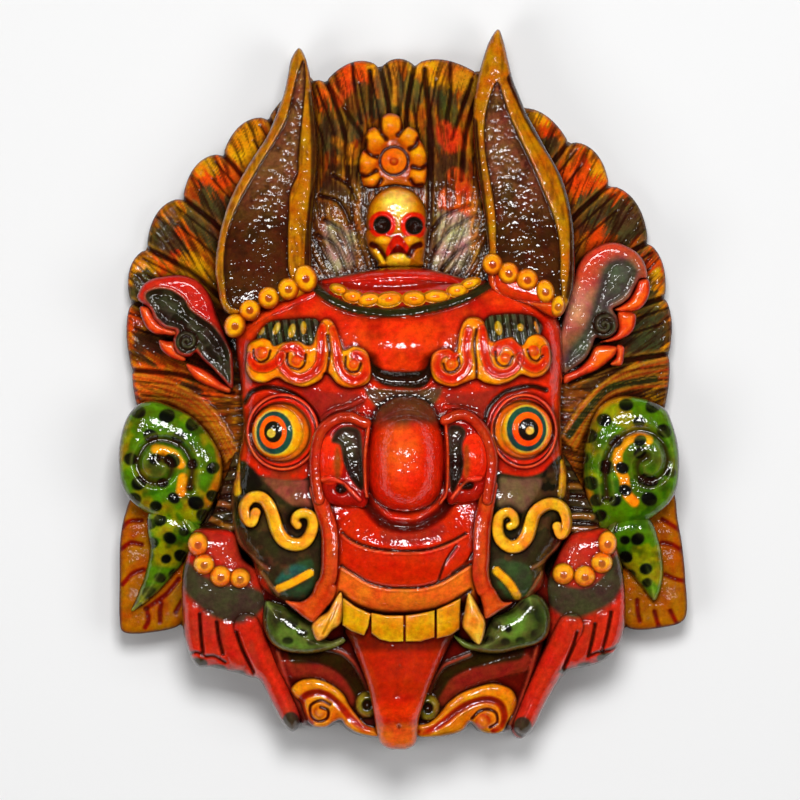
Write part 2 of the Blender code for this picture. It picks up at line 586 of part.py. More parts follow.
def carve_skull(relief):
    """The flower and the skull between the horns."""
    for x, y in ROSETTE_PETALS:
        relief.ball(x, y, PETAL_RADIUS, PETAL_RADIUS, PETALS_TOP - 7.0, PETALS_TOP)
    x, y, radius = ROSETTE
    relief.plate(oval(x, y, radius, radius), ROSETTE_TOP, drop=3.0, rounding=3.0)
    x, y, rx, ry = SKULL
    relief.plate(oval(x, y, rx, ry), SKULL_TOP, drop=16.0, rounding=19.0)
    x, y, rx, ry = SKULL_JAW
    relief.plate(oval(x, y, rx, ry), SKULL_JAW_TOP, drop=5.0, rounding=5.0)
    for x, y in SKULL_SOCKETS:
        relief.swell(x, y, SOCKET_RADIUS, SOCKET_RADIUS, -8.0)


def carve_ears(relief):
    """Each ear is a leaf with a curl in it and petals along its lower edge."""
    for points, curl, turns in ((LEFT_EAR, LEFT_EAR_CURL, -1.5), (RIGHT_EAR, RIGHT_EAR_CURL, 1.5)):
        relief.plate(spline(points, closed=True, steps=4), EAR_TOP, drop=9.0, rounding=9.0)
        relief.cut(spiral(*curl, turns, np.pi / 2), 3.4, 4.5)


def carve_snake(relief):
    """The coiled ends of the snake, its tails and the side feathers under them."""
    for points in (LEFT_SIDE_FEATHERS, RIGHT_SIDE_FEATHERS):
        relief.plate(spline(points, closed=True, steps=4), SIDE_FEATHERS_TOP, drop=5.0, rounding=5.0)
    for line in SIDE_FEATHER_GROOVES:
        relief.cut(spline(line), 3.4, 3.0)
    for points in (LEFT_TAIL, RIGHT_TAIL):
        relief.plate(spline(points, closed=True, steps=4), TAIL_TOP, drop=9.0, rounding=9.0)
    for points, curl in ((LEFT_COIL, LEFT_CURL), (RIGHT_COIL, RIGHT_CURL)):
        relief.plate(spline(points, closed=True, steps=4), COIL_TOP, drop=12.0, rounding=12.0)
        relief.cut(spline(curl), 3.8, 4.0)


def carve_hands(relief):
    """The hands, with a row of beads at each wrist and grooves between the fingers."""
    for points in (LEFT_HAND, RIGHT_HAND):
        relief.plate(spline(points, closed=True, steps=4), hand_top, drop=10.0, rounding=10.0)
    for line in FINGER_GROOVES:
        relief.cut(spline(line), 3.4, 4.5)
    for line in THUMBS:
        relief.cord(spline(line), 8.0, 6.0)
    for x, y in LEFT_WRIST_BEADS + RIGHT_WRIST_BEADS:
        relief.ball(x, y, BEAD_RADIUS, BEAD_RADIUS, WRIST_BEADS_TOP - 9.0, WRIST_BEADS_TOP)


def hand_top(x, y):
    """The back of a hand, lower towards the fingertips."""
    return HAND_TOP - FINGERS_FALL * ramp((-120.0 - y) / 70.0)


def jaw_top(x, y):
    """The jaw under the teeth, lower towards its foot."""
    return JAW_TOP - JAW_FALL * ramp((-140.0 - y) / 60.0) - JAW_SIDES_FALL * (x / 80.0) ** 2


def tongue_top(x, y):
    """The tongue hangs forward and curls back at its tip."""
    middle = (y + 216.0) * -0.022
    return TONGUE_TOP - TONGUE_FALL * ramp((-172.0 - y) / 52.0) - 0.012 * (x - middle) ** 2


def carve_jaw(relief):
    """The lower jaw with its two scrolls, and the snake's body on it."""
    relief.plate(spline(JAW, closed=True, steps=4), jaw_top, drop=8.0, rounding=8.0)
    relief.cord(spline(LEFT_JAW_SCROLL), 6.0, 8.0, taper=0.4)
    relief.cord(spline(RIGHT_JAW_SCROLL), 6.0, 8.0, taper=0.4)
    relief.cord(spline(LEFT_SNAKE), 9.0, 9.0)
    relief.cord(spline(RIGHT_SNAKE), 9.0, 9.0)


def over_head(rise):
    """A height that follows the head's form."""
    return lambda x, y: head_form(x, y) + rise


def carve_head(relief):
    """The head's form, the brows, the eyes and the cheeks."""
    relief.plate(spline(HEAD, closed=True, steps=4), head_form, drop=14.0, rounding=12.0)
    relief.swell(-1.0, 30.0, 26.0, 24.0, 6.0)
    relief.swell(-64.0, -62.0, 26.0, 18.0, 6.0)
    relief.swell(66.0, -62.0, 26.0, 18.0, 6.0)
    relief.swell(-1.2, -100.0, 62.0, 46.0, 12.0)
    relief.cord(spline(GARLAND), 4.2, 5.0)
    relief.cord(spline(HEAD_BAND), 2.8, 3.0)
    for x, y in BEADS:
        relief.ball(x, y, BEAD_RADIUS, BEAD_RADIUS, DIADEM_TOP - 8.0, DIADEM_TOP)


def carve_brows(relief):
    """Flame brows over a dark comb, each with an apex and three curls."""
    for comb, brow, curls, apex in (
        (LEFT_COMB, LEFT_BROW, LEFT_BROW_CURLS, -45.0),
        (RIGHT_COMB, RIGHT_BROW, RIGHT_BROW_CURLS, 42.6),
    ):
        relief.plate(spline(comb, closed=True, steps=4), over_head(COMB_RISE), drop=3.0)
        relief.plate(spline(brow, closed=True, steps=3), over_head(BROW_RISE), drop=4.0)
        for x, y in curls:
            relief.cut(spiral(x, y, 5.6, 1.1, 0.0), 2.6, 3.0)
        relief.cut(spline([(apex, 33.0), (apex, 20.0), (apex, 8.0)]), 2.8, 4.0)


def carve_eyes(relief):
    """Bulging eyes in heavy lids, under a deep fold."""
    for x, y, rx, ry in (LEFT_EYE, RIGHT_EYE):
        relief.swell(x, y, rx + 14.0, ry + 14.0, -9.0)
        relief.plate(oval(x, y, rx + LID_WIDTH, ry + LID_WIDTH), over_head(LID_RISE), drop=3.0, rounding=4.0)
        relief.swell(x, y, rx + 2.0, ry + 2.0, -6.0)
        low = float(head_form(np.array(x), np.array(y))) - 1.0
        relief.ball(x, y, rx, ry, low, low + EYEBALL_RISE)


def nose_top(x, y):
    """The nose rises from its root to a round bulb."""
    z = NOSE_ROOT + (DRAWN_DEPTH - NOSE_ROOT) * ramp((6.0 - y) / 46.0) - 0.026 * (x - NOSE_MIDDLE) ** 2
    return z - NOSE_END_FALL * ramp((-50.0 - y) / 26.0)


def carve_nose(relief):
    """The nose, its wings and the folds that run down beside the mouth."""
    relief.plate(spline(NOSE, closed=True, steps=4), nose_top, drop=18.0, rounding=15.0)
    for wing, bulge, dark, hole in (
        (LEFT_NOSTRIL, (-42.0, -42.0), (-31.8, -39.6), (-36.6, -59.4)),
        (RIGHT_NOSTRIL, (41.4, -39.6), (30.0, -37.8), (38.4, -58.2)),
    ):
        relief.plate(spline(wing, closed=True), WINGS_TOP, drop=4.0)
        relief.swell(*bulge, 9.0, 13.0, 5.0)
        relief.swell(*dark, 5.0, 17.0, -8.0)
        relief.swell(*hole, 4.0, 4.0, -10.0)
    relief.cord(spline(LEFT_WING), 4.6, 7.0)
    relief.cord(spline(RIGHT_WING), 4.6, 7.0)


def carve_mouth(relief):
    """The upper lip in three bands, four teeth, two fangs and the tongue."""
    for line, depth in ((UNDER_NOSE, 5.0), (UPPER_LIP, 4.0), (LIP_RIDGE, 4.0)):
        relief.cut(spline(line), 4.0, depth)
    relief.plate(spline(TONGUE, closed=True, steps=4), tongue_top, drop=7.0, rounding=7.0)
    for points in TEETH:
        relief.plate(np.array(points), TEETH_TOP, drop=3.0, rounding=3.0)
    for points in (LEFT_FANG, RIGHT_FANG):
        relief.plate(spline(points, closed=True, steps=3), FANGS_TOP, drop=6.0, rounding=6.0)


def carve_cheeks(relief):
    """The scrolls on the cheeks."""
    relief.cord(spline(LEFT_SCROLL), 3.6, 3.6)
    relief.cord(spline(RIGHT_SCROLL), 3.6, 3.6)


def carving(x, y):
    """The height of the whole carving at each point of the plan."""
    relief = Relief(x, y)
    carve_crest(relief)
    carve_skull(relief)
    carve_ears(relief)
    carve_snake(relief)
    carve_jaw(relief)
    carve_hands(relief)
    carve_horns(relief)
    carve_head(relief)
    carve_cheeks(relief)
    carve_brows(relief)
    carve_eyes(relief)
    carve_nose(relief)
    carve_mouth(relief)
    return relief.z


def underside(x, y):
    """The back: flat, hollow behind the head, and cut away under the tips of the horns."""
    low, high = np.min(HEAD, axis=0), np.max(HEAD, axis=0)
    reach = (high - low) / 2 - SIDE_WALL / PLAN
    u, v = np.abs(x - (low[0] + high[0]) / 2) / reach[0], np.abs(y - (low[1] + high[1]) / 2) / reach[1]
    out = (u**HOLLOW_SQUARENESS + v**HOLLOW_SQUARENESS) ** (1.0 / HOLLOW_SQUARENESS)
    slope = HOLLOW_SLOPE / PLAN / reach[0]
    depth = head_form(x, y) - WALL / LIFT - DEEPEST_CUT
    tips = HORN_UNDERCUT / LIFT * ramp((y - HORN_TIPS_FROM) / 10.0)
    return np.maximum(depth * ramp((1.0 - out) / slope), tips)


def plan_mesh(loops):
    """A grid over the outline, its edge moved onto the outline, as points and faces."""
    everything = np.vstack(loops)
    low, high = everything.min(axis=0) - 2 * STEP, everything.max(axis=0) + 2 * STEP
    columns = int(np.ceil((high[0] - low[0]) / STEP)) + 1
    rows = int(np.ceil((high[1] - low[1]) / STEP)) + 1
    x, y = np.meshgrid(low[0] + STEP * np.arange(columns), low[1] + STEP * np.arange(rows), indexing="ij")
    x, y = x.ravel(), y.ravel()
    d = mask_inside(x, y, loops)
    edge = np.nonzero(np.abs(d) < STEP * 0.5)[0]
    for _ in range(2):
        ex, ey = x[edge], y[edge]
        here = mask_inside(ex, ey, loops)
        gx = (mask_inside(ex + 0.1, ey, loops) - here) / 0.1
        gy = (mask_inside(ex, ey + 0.1, loops) - here) / 0.1
        size = np.maximum(np.hypot(gx, gy), 0.5) ** 2
        x[edge] -= here * gx / size
        y[edge] -= here * gy / size
    kept = (d > -STEP * 0.5).reshape(columns, rows)
    middle_x = (x.reshape(columns, rows)[:-1, :-1] + x.reshape(columns, rows)[1:, 1:]) / 2
    middle_y = (y.reshape(columns, rows)[:-1, :-1] + y.reshape(columns, rows)[1:, 1:]) / 2
    solid = mask_inside(middle_x.ravel(), middle_y.ravel(), loops).reshape(middle_x.shape) > -STEP * 0.2
    faces = []
    for i in range(columns - 1):
        for j in range(rows - 1):
            if not solid[i, j]:
                continue
            corners = [(i, j), (i + 1, j), (i + 1, j + 1), (i, j + 1)]
            held = [a * rows + b for a, b in corners if kept[a, b]]
            if len(held) >= 3:
                faces.append(held)
    return x, y, without_pinches(faces)


def without_pinches(faces):
    """Drops faces until no point of the plan joins two parts by their corners alone."""
    while True:
        edges = {}
        for number, face in enumerate(faces):
            for a, b in zip(face, face[1:] + face[:1]):
                edges[(a, b)] = number
        rim = {}
        for (a, b), number in edges.items():
            if (b, a) not in edges:
                rim.setdefault(a, []).append(number)
        bad = {owners[-1] for owners in rim.values() if len(owners) > 1}
        if not bad:
            return faces
        faces = [face for number, face in enumerate(faces) if number not in bad]


def carved_block():
    """The closed solid: the carved front, the back and the wall around the outline."""
    x, y, faces = plan_mesh(outlines())
    used = sorted({v for face in faces for v in face})
    place = {v: k for k, v in enumerate(used)}
    front = [[place[v] for v in face] for face in faces]
    x, y = x[used], y[used]
    count = len(used)
    top, bottom = carving(x, y) * LIFT, underside(x, y) * LIFT
    across = (x - (x.min() + x.max()) / 2) * PLAN
    up = (y - (y.min() + y.max()) / 2) * PLAN
    points = np.vstack([np.stack([across, up, top], axis=1), np.stack([across, up, bottom], axis=1)])
    edges = {(a, b) for face in front for a, b in zip(face, face[1:] + face[:1])}
    back = [[v + count for v in reversed(face)] for face in front]
    wall = [[b, a, a + count, b + count] for a, b in sorted(edges) if (b, a) not in edges]
    return points.tolist(), front + back + wall


def painted_wood():
    """Red lacquer over wood."""
    material = bpy.data.materials.new("painted_wood")
    material.use_nodes = True
    shader = material.node_tree.nodes["Principled BSDF"]
    shader.inputs["Base Color"].default_value = (0.45, 0.06, 0.015, 1.0)
    shader.inputs["Roughness"].default_value = 0.35
    shader.inputs["Metallic"].default_value = 0.0
    return material


def mask():
    """The mask, thinned to about TRIANGLES triangles."""
    points, faces = carved_block()
    mesh = bpy.data.meshes.new("mask")
    mesh.from_pydata(points, [], faces)
    mesh.validate()
    mesh.shade_smooth()
    mesh.materials.append(painted_wood())
    piece = bpy.data.objects.new("mask", mesh)
    bpy.context.collection.objects.link(piece)
    triangles = sum(len(face) - 2 for face in faces)
    thin = piece.modifiers.new("thin", "DECIMATE")
    thin.ratio = min(1.0, TRIANGLES / triangles)
    return piece


for old in list(bpy.data.objects):
    bpy.data.objects.remove(old, do_unlink=True)
mask()
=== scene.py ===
import bpy
import numpy as np
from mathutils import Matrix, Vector
from mathutils.geometry import delaunay_2d_cdt


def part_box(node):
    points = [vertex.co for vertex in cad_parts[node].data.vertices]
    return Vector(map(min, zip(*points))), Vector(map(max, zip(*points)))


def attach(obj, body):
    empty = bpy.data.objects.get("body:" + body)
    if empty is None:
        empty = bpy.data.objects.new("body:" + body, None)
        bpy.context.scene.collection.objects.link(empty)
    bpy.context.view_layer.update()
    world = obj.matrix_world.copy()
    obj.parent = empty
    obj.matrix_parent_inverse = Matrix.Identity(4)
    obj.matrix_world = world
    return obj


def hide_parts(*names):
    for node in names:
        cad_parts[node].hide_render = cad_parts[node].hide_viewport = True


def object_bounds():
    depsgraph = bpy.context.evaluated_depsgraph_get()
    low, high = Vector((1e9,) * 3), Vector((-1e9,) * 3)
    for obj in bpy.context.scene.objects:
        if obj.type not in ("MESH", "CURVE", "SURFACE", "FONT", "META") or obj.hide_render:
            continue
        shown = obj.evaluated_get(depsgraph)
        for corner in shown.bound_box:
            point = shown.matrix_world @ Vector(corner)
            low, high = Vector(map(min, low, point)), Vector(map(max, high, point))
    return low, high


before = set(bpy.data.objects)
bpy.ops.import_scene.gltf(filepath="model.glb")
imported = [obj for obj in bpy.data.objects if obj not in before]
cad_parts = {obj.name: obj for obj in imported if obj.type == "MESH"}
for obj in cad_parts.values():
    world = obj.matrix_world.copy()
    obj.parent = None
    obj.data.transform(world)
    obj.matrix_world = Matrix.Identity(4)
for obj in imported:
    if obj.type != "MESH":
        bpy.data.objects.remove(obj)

CAD_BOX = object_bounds()
LOW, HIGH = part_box("mask")

# The carving is drawn in drawing millimetres: x to the viewer's right, y up the face and z up from the back
DRAWN_DEPTH = 122.0
REACH = 15.0

# The solid's large forms, as in the part
HEAD_HALF_WIDTH = 106.0
HEAD_EDGE = 54.0
HEAD_CROWN = 90.0
CROWN_FALL = 13.0
CROWN_FROM = 20.0
CROWN_SLOPE = 60.0
CHIN_FALL = 5.0
CHIN_FROM = -100.0
CHIN_SLOPE = 40.0
CREST_RIM = 16.0
CREST_ROOT = 46.0
CREST_CENTRE = 10.0
CREST_FLATNESS = 0.86
CREST_OUTER = 178.0
CREST_SLOPE = 90.0
WALL = 14.0
DEEPEST_CUT = 14.0
SIDE_WALL = 20.0
HOLLOW_SLOPE = 26.0
HOLLOW_SQUARENESS = 2.6
HORN_UNDERCUT = 14.0
HORN_TIPS_FROM = 190.0
HORN_TIPS_SLOPE = 10.0

# The slabs: where their feet sit over the back, how deep the small forms are let into the face, the round of
# their edges, the angle in radians from which an edge is sharp, and the board under them all
FOOT = 1.0
LET_IN = 9.0
EDGE_ROUND = 0.5
SHARP_ANGLE = 1.25
BOARD = 6.0
BOARD_INSET = 0.4
BOARD_THINNED = 4.6
TINY = 1e-6
WELD = 1e-7

# Each piece's grid step, finer where its relief is finer. A left piece and its right twin share one
STEPS = {
    "crest": 0.8, "horn": 0.66, "skull": 0.46, "rosette": 0.48, "face": 0.82, "eye": 0.46, "comb": 0.5,
    "brow": 0.5, "nose": 0.54, "wing": 0.54, "ribbon": 0.5, "fold": 0.52, "scroll": 0.5, "teeth": 0.48,
    "fangs": 0.48, "diadem": 0.5, "garland": 0.48, "ear_petals": 0.56, "ear": 0.6, "coil": 0.65,
    "side_feathers": 0.74, "tail": 0.64, "hand": 0.68, "wrist_beads": 0.48, "jaw": 0.78,
    "jaw_scroll": 0.5, "snake": 0.58, "tuft": 0.7, "tongue": 0.6, "back": 3.0,
}

# How high the carved forms stand
HORN_TIP = 44.0
HORN_RISE = 36.0
HORN_ROOT = 50.0
SKULL_TOP = 66.0
ROSETTE_TOP = 49.0
EAR_PETALS_TOP = 50.0
EAR_TOP = 54.0
COIL_TOP = 52.0
SIDE_FEATHERS_TOP = 29.0
TAIL_TIP = 40.0
TAIL_RISE = 8.0
TUFT_TOP = 48.0
JAW_TOP = 70.0
JAW_FALL = 16.0
JAW_BALL_TOP = 62.0
SNAKE_TOP = 76.0
HAND_TOP = 62.0
FINGER_FALL = 14.0
WRIST_BEAD_EDGE = 60.0
WRIST_BEAD_TOP = 68.0
TONGUE_TOP = 84.0
TONGUE_FALL = 20.0
TEETH_TOP = 91.0
FANG_TOP = 93.0
BEAD_EDGE = 76.0
BEAD_TOP = 83.0
WING_TOP = 97.0
RIBBON_TOP = 102.5
NOSE_ROOT = 101.0
NOSE_RISE = 21.0

# How far forms stand over the face or the jaw under them
LID_RISE = 4.0
EYEBALL_RISE = 11.0
COMB_RISE = 3.4
BROW_RISE = 9.0
FOLD_RISE = 6.0
SCROLL_RISE = 4.4
GARLAND_RISE = 5.4
JAW_SCROLL_RISE = 6.0

# The feet of forms that run down into others: flat, deep inside the wood
TEETH_FOOT = 62.0
DIADEM_FOOT = 20.0
WRIST_BEADS_FOOT = 40.0
JAW_SCROLL_FOOT = 20.0
SNAKE_FOOT = 30.0


def ramp(t):
    """A smooth step from 0 to 1."""
    t = np.clip(t, 0.0, 1.0)
    return t * t * (3.0 - 2.0 * t)


def bump(distance, width):
    """A round hump, 1 in the middle and 0 from width on."""
    t = np.clip(distance / width, 0.0, 1.0)
    return (1.0 - t * t) ** 2


def line_mask(distance, half, soft=0.45):
    """1 within half of a line, with a soft edge."""
    return ramp(0.5 + (half - distance) / (2.0 * soft))


def colour(red, green, blue):
    """A paint colour, from 0 to 255 as the eye sees it, in linear light."""
    c = np.array([red, green, blue], float) / 255.0
    return np.where(c < 0.04045, c / 12.92, ((c + 0.055) / 1.055) ** 2.4)


def noise(u, v, seed=0):
    """Smooth noise from 0 to 1, about one wave to each unit."""
    i, j = np.floor(u), np.floor(v)
    s, t = ramp(u - i), ramp(v - j)

    def lattice(a, b):
        h = np.sin(a * 127.1 + b * 311.7 + seed * 74.7) * 43758.5453
        return h - np.floor(h)

    low = lattice(i, j) * (1 - s) + lattice(i + 1, j) * s
    high = lattice(i, j + 1) * (1 - s) + lattice(i + 1, j + 1) * s
    return low * (1 - t) + high * t


def cloud(u, v, seed=0, octaves=3):
    """Noise with finer noise on it, from 0 to 1."""
    total, weight, size = 0.0, 0.0, 1.0
    for k in range(octaves):
        total = total + size * noise(u * 2**k, v * 2**k, seed + 11 * k)
        weight += size
        size *= 0.55
    return total / weight


def spline(points, closed=False, steps=8):
    """Points along a smooth curve through the given ones."""
    p = np.asarray(points, float)
    if closed:
        q = np.vstack([p[-1:], p, p[:2]])
    else:
        q = np.vstack([2 * p[:1] - p[1:2], p, 2 * p[-1:] - p[-2:-1]])
    a, b, c, d = q[:-3], q[1:-2], q[2:-1], q[3:]
    rows = []
    for t in np.linspace(0.0, 1.0, steps, endpoint=False):
        cubic = (3 * b - a - 3 * c + d) * t**3
        square = (2 * a - 5 * b + 4 * c - d) * t * t
        rows.append(0.5 * (2 * b + (c - a) * t + square + cubic))
    line = np.stack(rows, axis=1).reshape(-1, 2)
    return line if closed else np.vstack([line, p[-1:]])


def ring(points, steps=8):
    """A smooth closed outline through the given points."""
    return spline(points, closed=True, steps=steps)


def flat(height):
    """A flat foot at this height."""
    return lambda x, y: np.full(len(x), height)


def oval(x, y, rx, ry, turn=0.0, count=48):
    """A closed oval outline."""
    a = np.linspace(0.0, 2 * np.pi, count, endpoint=False)
    u, v = rx * np.cos(a), ry * np.sin(a)
    c, s = np.cos(turn), np.sin(turn)
    return np.stack([x + u * c - v * s, y + u * s + v * c], axis=1)


def spiral(x, y, radius, turns, start, count=60, inner=0.12):
    """A curl that winds in from its radius to its middle. Turns below 0 wind clockwise."""
    t = np.linspace(0.0, 1.0, count)
    r = radius * (1.0 - t * (1.0 - inner))
    a = start + t * turns * 2 * np.pi
    return np.stack([x + r * np.cos(a), y + r * np.sin(a)], axis=1)


def share_out(x, y, cx, cy, rx, ry, turn=0.0):
    """How far out from an oval's middle places are, with 1 on its edge."""
    dx, dy = x - cx, y - cy
    u = dx * np.cos(turn) + dy * np.sin(turn)
    v = dy * np.cos(turn) - dx * np.sin(turn)
    return np.hypot(u / rx, v / ry)


def inside(x, y, starts, ends):
    """Whether places lie inside the closed outlines that these edges make."""
    odd = np.zeros(x.shape, bool)
    for (ax, ay), (bx, by) in zip(starts, ends):
        if ay != by:
            odd ^= ((ay > y) != (by > y)) & (x < ax + (y - ay) * (bx - ax) / (by - ay))
    return odd


def head_form(x, y):
    """The head's large form, before it is carved."""
    across = np.sqrt(np.clip(1.0 - (x / HEAD_HALF_WIDTH) ** 2, 0.0, 1.0))
    z = HEAD_EDGE + (HEAD_CROWN - HEAD_EDGE) * across
    z = z - CROWN_FALL * ramp((y - CROWN_FROM) / CROWN_SLOPE)
    return z - CHIN_FALL * ramp((CHIN_FROM - y) / CHIN_SLOPE)


def crest_reach(x, y):
    """How far out on the fan of feathers a place is."""
    return np.hypot(x, (y - CREST_CENTRE) * CREST_FLATNESS)


def crest_form(x, y):
    """The crest's large form, thin at its rim and thick at its root."""
    return CREST_RIM + (CREST_ROOT - CREST_RIM) * ramp((CREST_OUTER - crest_reach(x, y)) / CREST_SLOPE)


WALL_PAINT = colour(66, 22, 12)
# The dark paint for the hollows: antique wash and painted shade
WASH_AND_SHADE = colour(40, 14, 8)


class Slab:
    """One carved and painted piece: a fine grid over its outline, with heights and colours."""

    def __init__(self, name, loops=(), lines=(), foot=FOOT, inset=0.0):
        step = STEPS[name.removesuffix("_left").removesuffix("_right")]
        self.name, self.step, self.foot = name, step, foot
        every = np.vstack([*loops] + [line + reach for line, half, _ in lines for reach in (-half, half)])
        self.corner = every.min(axis=0) - 3 * step
        count = np.ceil((every.max(axis=0) + 3 * step - self.corner) / step).astype(int) + 1
        grid = [self.corner[k] + step * np.arange(count[k]) for k in (0, 1)]
        self.x, self.y = np.meshgrid(*grid, indexing="ij")
        self.edge = np.full(self.x.shape, -REACH)
        near = np.stack([self.x, self.y], axis=-1)
        for loop in loops:
            window, d, at = self.signed(loop, REACH)
            better = d > self.edge[window]
            self.edge[window] = np.where(better, d, self.edge[window])
            near[window] = np.where(better[..., None], at, near[window])
        for line, half, taper in lines:
            window, d, share, at = self.measure(line, half + REACH)
            wide = half * (1.0 - taper * share)
            here = np.stack([self.x[window], self.y[window]], axis=-1)
            at = at + (here - at) * (wide / np.maximum(d, TINY))[..., None]
            better = wide - d > self.edge[window]
            self.edge[window] = np.where(better, wide - d, self.edge[window])
            near[window] = np.where(better[..., None], at, near[window])
        if inset:
            here = np.stack([self.x, self.y], axis=-1)
            run = here - near
            size = np.maximum(np.hypot(run[..., 0], run[..., 1]), TINY)
            near = near + run / size[..., None] * inset * np.sign(self.edge)[..., None]
            self.edge = self.edge - inset
        self.raw = self.edge.copy()
        snap = np.abs(self.edge) < step * 0.5
        self.x = np.where(snap, near[..., 0], self.x)
        self.y = np.where(snap, near[..., 1], self.y)
        self.edge = np.where(snap, 0.0, self.edge)
        self.kept = self.edge >= 0.0
        self.z = np.zeros(self.x.shape)
        self.rgb = np.zeros(self.x.shape + (3,))

    def window(self, points, reach):
        """The part of the grid within reach of some points."""
        low = np.floor((points.min(axis=0) - reach - self.corner) / self.step).astype(int)
        high = np.ceil((points.max(axis=0) + reach - self.corner) / self.step).astype(int) + 1
        low = np.clip(low, 0, self.x.shape)
        high = np.clip(high, low, self.x.shape)
        return slice(low[0], high[0]), slice(low[1], high[1])

    def measure(self, line, reach):
        """Within reach of a line: the window, the distance, the share along it, and the nearest point."""
        window = self.window(line, reach)
        x, y = self.x[window], self.y[window]
        best = np.full(x.shape, float(reach) ** 2)
        share = np.zeros(x.shape)
        px, py = x.copy(), y.copy()
        runs = np.hypot(*np.diff(line, axis=0).T)
        ends = np.concatenate([[0.0], np.cumsum(runs)])
        for k, run in enumerate(runs):
            if run < TINY:
                continue
            part = self.window(line[k : k + 2], reach)
            part = tuple(slice(p.start - w.start, p.stop - w.start) for p, w in zip(part, window))
            (ax, ay), (bx, by) = line[k], line[k + 1]
            dx, dy = bx - ax, by - ay
            sx, sy = x[part], y[part]
            t = np.clip(((sx - ax) * dx + (sy - ay) * dy) / (run * run), 0.0, 1.0)
            qx, qy = ax + t * dx, ay + t * dy
            d = (sx - qx) ** 2 + (sy - qy) ** 2
            nearer = d < best[part]
            best[part] = np.where(nearer, d, best[part])
            share[part] = np.where(nearer, (ends[k] + t * run) / ends[-1], share[part])
            px[part] = np.where(nearer, qx, px[part])
            py[part] = np.where(nearer, qy, py[part])
        return window, np.sqrt(best), share, np.stack([px, py], axis=-1)

    def signed(self, loop, reach):
        """Within reach of a closed outline: the window, the distance in from it, and the nearest point."""
        window, d, _, at = self.measure(np.vstack([loop, loop[:1]]), reach)
        within = inside(self.x[window], self.y[window], loop, np.roll(loop, -1, axis=0))
        return window, np.where(within, d, -d), at

    def form(self, top, drop=0.0, rounding=5.0):
        """Sets the whole slab's height, with an edge that falls by drop."""
        z = top(self.x, self.y) if callable(top) else np.full(self.x.shape, float(top))
        out = 1.0 - np.clip(self.edge / rounding, 0.0, 1.0)
        self.z = z - drop * (1.0 - np.sqrt(1.0 - out * out))

    def cord(self, line, width, rise, taper=0.0, power=0.5):
        """Raises a round ridge along a line."""
        window, d, share, _ = self.measure(line, width)
        half = width * (1.0 - taper * share)
        self.z[window] += rise * np.clip(1.0 - (d / half) ** 2, 0.0, 1.0) ** power

    def cut(self, line, width, depth, taper=0.0, wash_and_shade=0.0):
        """Cuts a groove along a line, and darkens it with antique wash and painted shade."""
        window, d, share, _ = self.measure(line, width)
        hump = bump(d, width) * (1.0 - taper * share)
        self.z[window] -= depth * hump
        if wash_and_shade:
            self.rgb[window] *= (1.0 - wash_and_shade * np.clip(hump * 1.4, 0, 1))[..., None]

    def ball(self, x, y, rx, ry, low, high, turn=0.0):
        """Raises a round boss, and returns its window and its distance from the middle as a share."""
        box = np.array([[x - max(rx, ry), y - max(rx, ry)], [x + max(rx, ry), y + max(rx, ry)]])
        window = self.window(box, 0.5)
        r = share_out(self.x[window], self.y[window], x, y, rx, ry, turn)
        z = low + (high - low) * np.sqrt(np.clip(1.0 - r * r, 0.0, 1.0))
        self.z[window] = np.where(r < 1.0, np.maximum(self.z[window], z), self.z[window])
        return window, r

    def swell(self, x, y, rx, ry, rise, turn=0.0):
        """Raises or sinks a soft mound."""
        self.z += rise * bump(share_out(self.x, self.y, x, y, rx, ry, turn), 1.0)

    def coat(self, paint, mask=1.0, window=None):
        """Lays a paint through a mask, over a window or the whole slab."""
        window = window or (slice(None), slice(None))
        mask = np.broadcast_to(mask, self.x[window].shape)
        self.rgb[window] += (paint - self.rgb[window]) * mask[..., None]

    def blotch(self, paint, across, along, seed, level, gain, strength):
        """Lays a paint in clouded patches, where the noise is over a level."""
        patches = cloud(self.x / across, self.y / along, seed)
        self.coat(paint, ramp((patches - level) * gain) * strength)

    def stroke(self, line, width, paint, taper=0.0, soft=0.45, strength=1.0):
        """Paints a line."""
        window, d, share, _ = self.measure(line, width + 2 * soft)
        mask = line_mask(d, width * (1.0 - taper * share), soft) * strength
        self.coat(paint, mask, window)

    def groove(self, line, width, depth, painted, paint, **brush):
        """Cuts a groove along a line and paints its floor."""
        self.cut(line, width, depth)
        self.stroke(line, painted, paint, **brush)

    def ridge(self, line, width, rise, painted, paint, **brush):
        """Raises a round ridge along a line and paints it."""
        self.cord(line, width, rise)
        self.stroke(line, painted, paint, **brush)

    def fill(self, loop, paint, soft=0.45, strength=1.0):
        """Paints the inside of an outline."""
        window, d, _ = self.signed(loop, 3.0)
        self.coat(paint, ramp(0.5 + d / (2.0 * soft)) * strength, window)

    def dot(self, x, y, rx, ry, paint, soft=0.45, turn=0.0):
        """Paints an oval spot."""
        self.fill(oval(x, y, rx, ry, turn, 24), paint, soft)

    def haze(self, x, y, rx, ry, paint, strength):
        """Paints an oval that fades from its middle to its edge."""
        self.coat(paint, bump(share_out(self.x, self.y, x, y, rx, ry), 1.0) * strength)

    def shade(self, loop, reach, strength=0.75):
        """Paints shade on to what lies just outside a form that stands on this slab."""
        window, d, _ = self.signed(loop, reach)
        near = np.clip(1.0 + d / reach, 0.0, 1.0) ** 1.5
        self.rgb[window] *= (1.0 - strength * near)[..., None]

    def blur(self, radius):
        """The slab's heights, averaged over a square of this half width."""
        n = max(1, int(round(radius / self.step)))
        weight = self.kept.astype(float)
        pair = []
        for field in (self.z * weight, weight):
            for axis in (0, 1):
                pad = [(n + 1, n), (0, 0)] if axis == 0 else [(0, 0), (n + 1, n)]
                total = np.cumsum(np.pad(field, pad), axis=axis)
                size = field.shape[axis]
                upper = np.take(total, np.arange(2 * n + 1, 2 * n + 1 + size), axis=axis)
                field = upper - np.take(total, np.arange(size), axis=axis)
            pair.append(field)
        return pair[0] / np.maximum(pair[1], TINY)

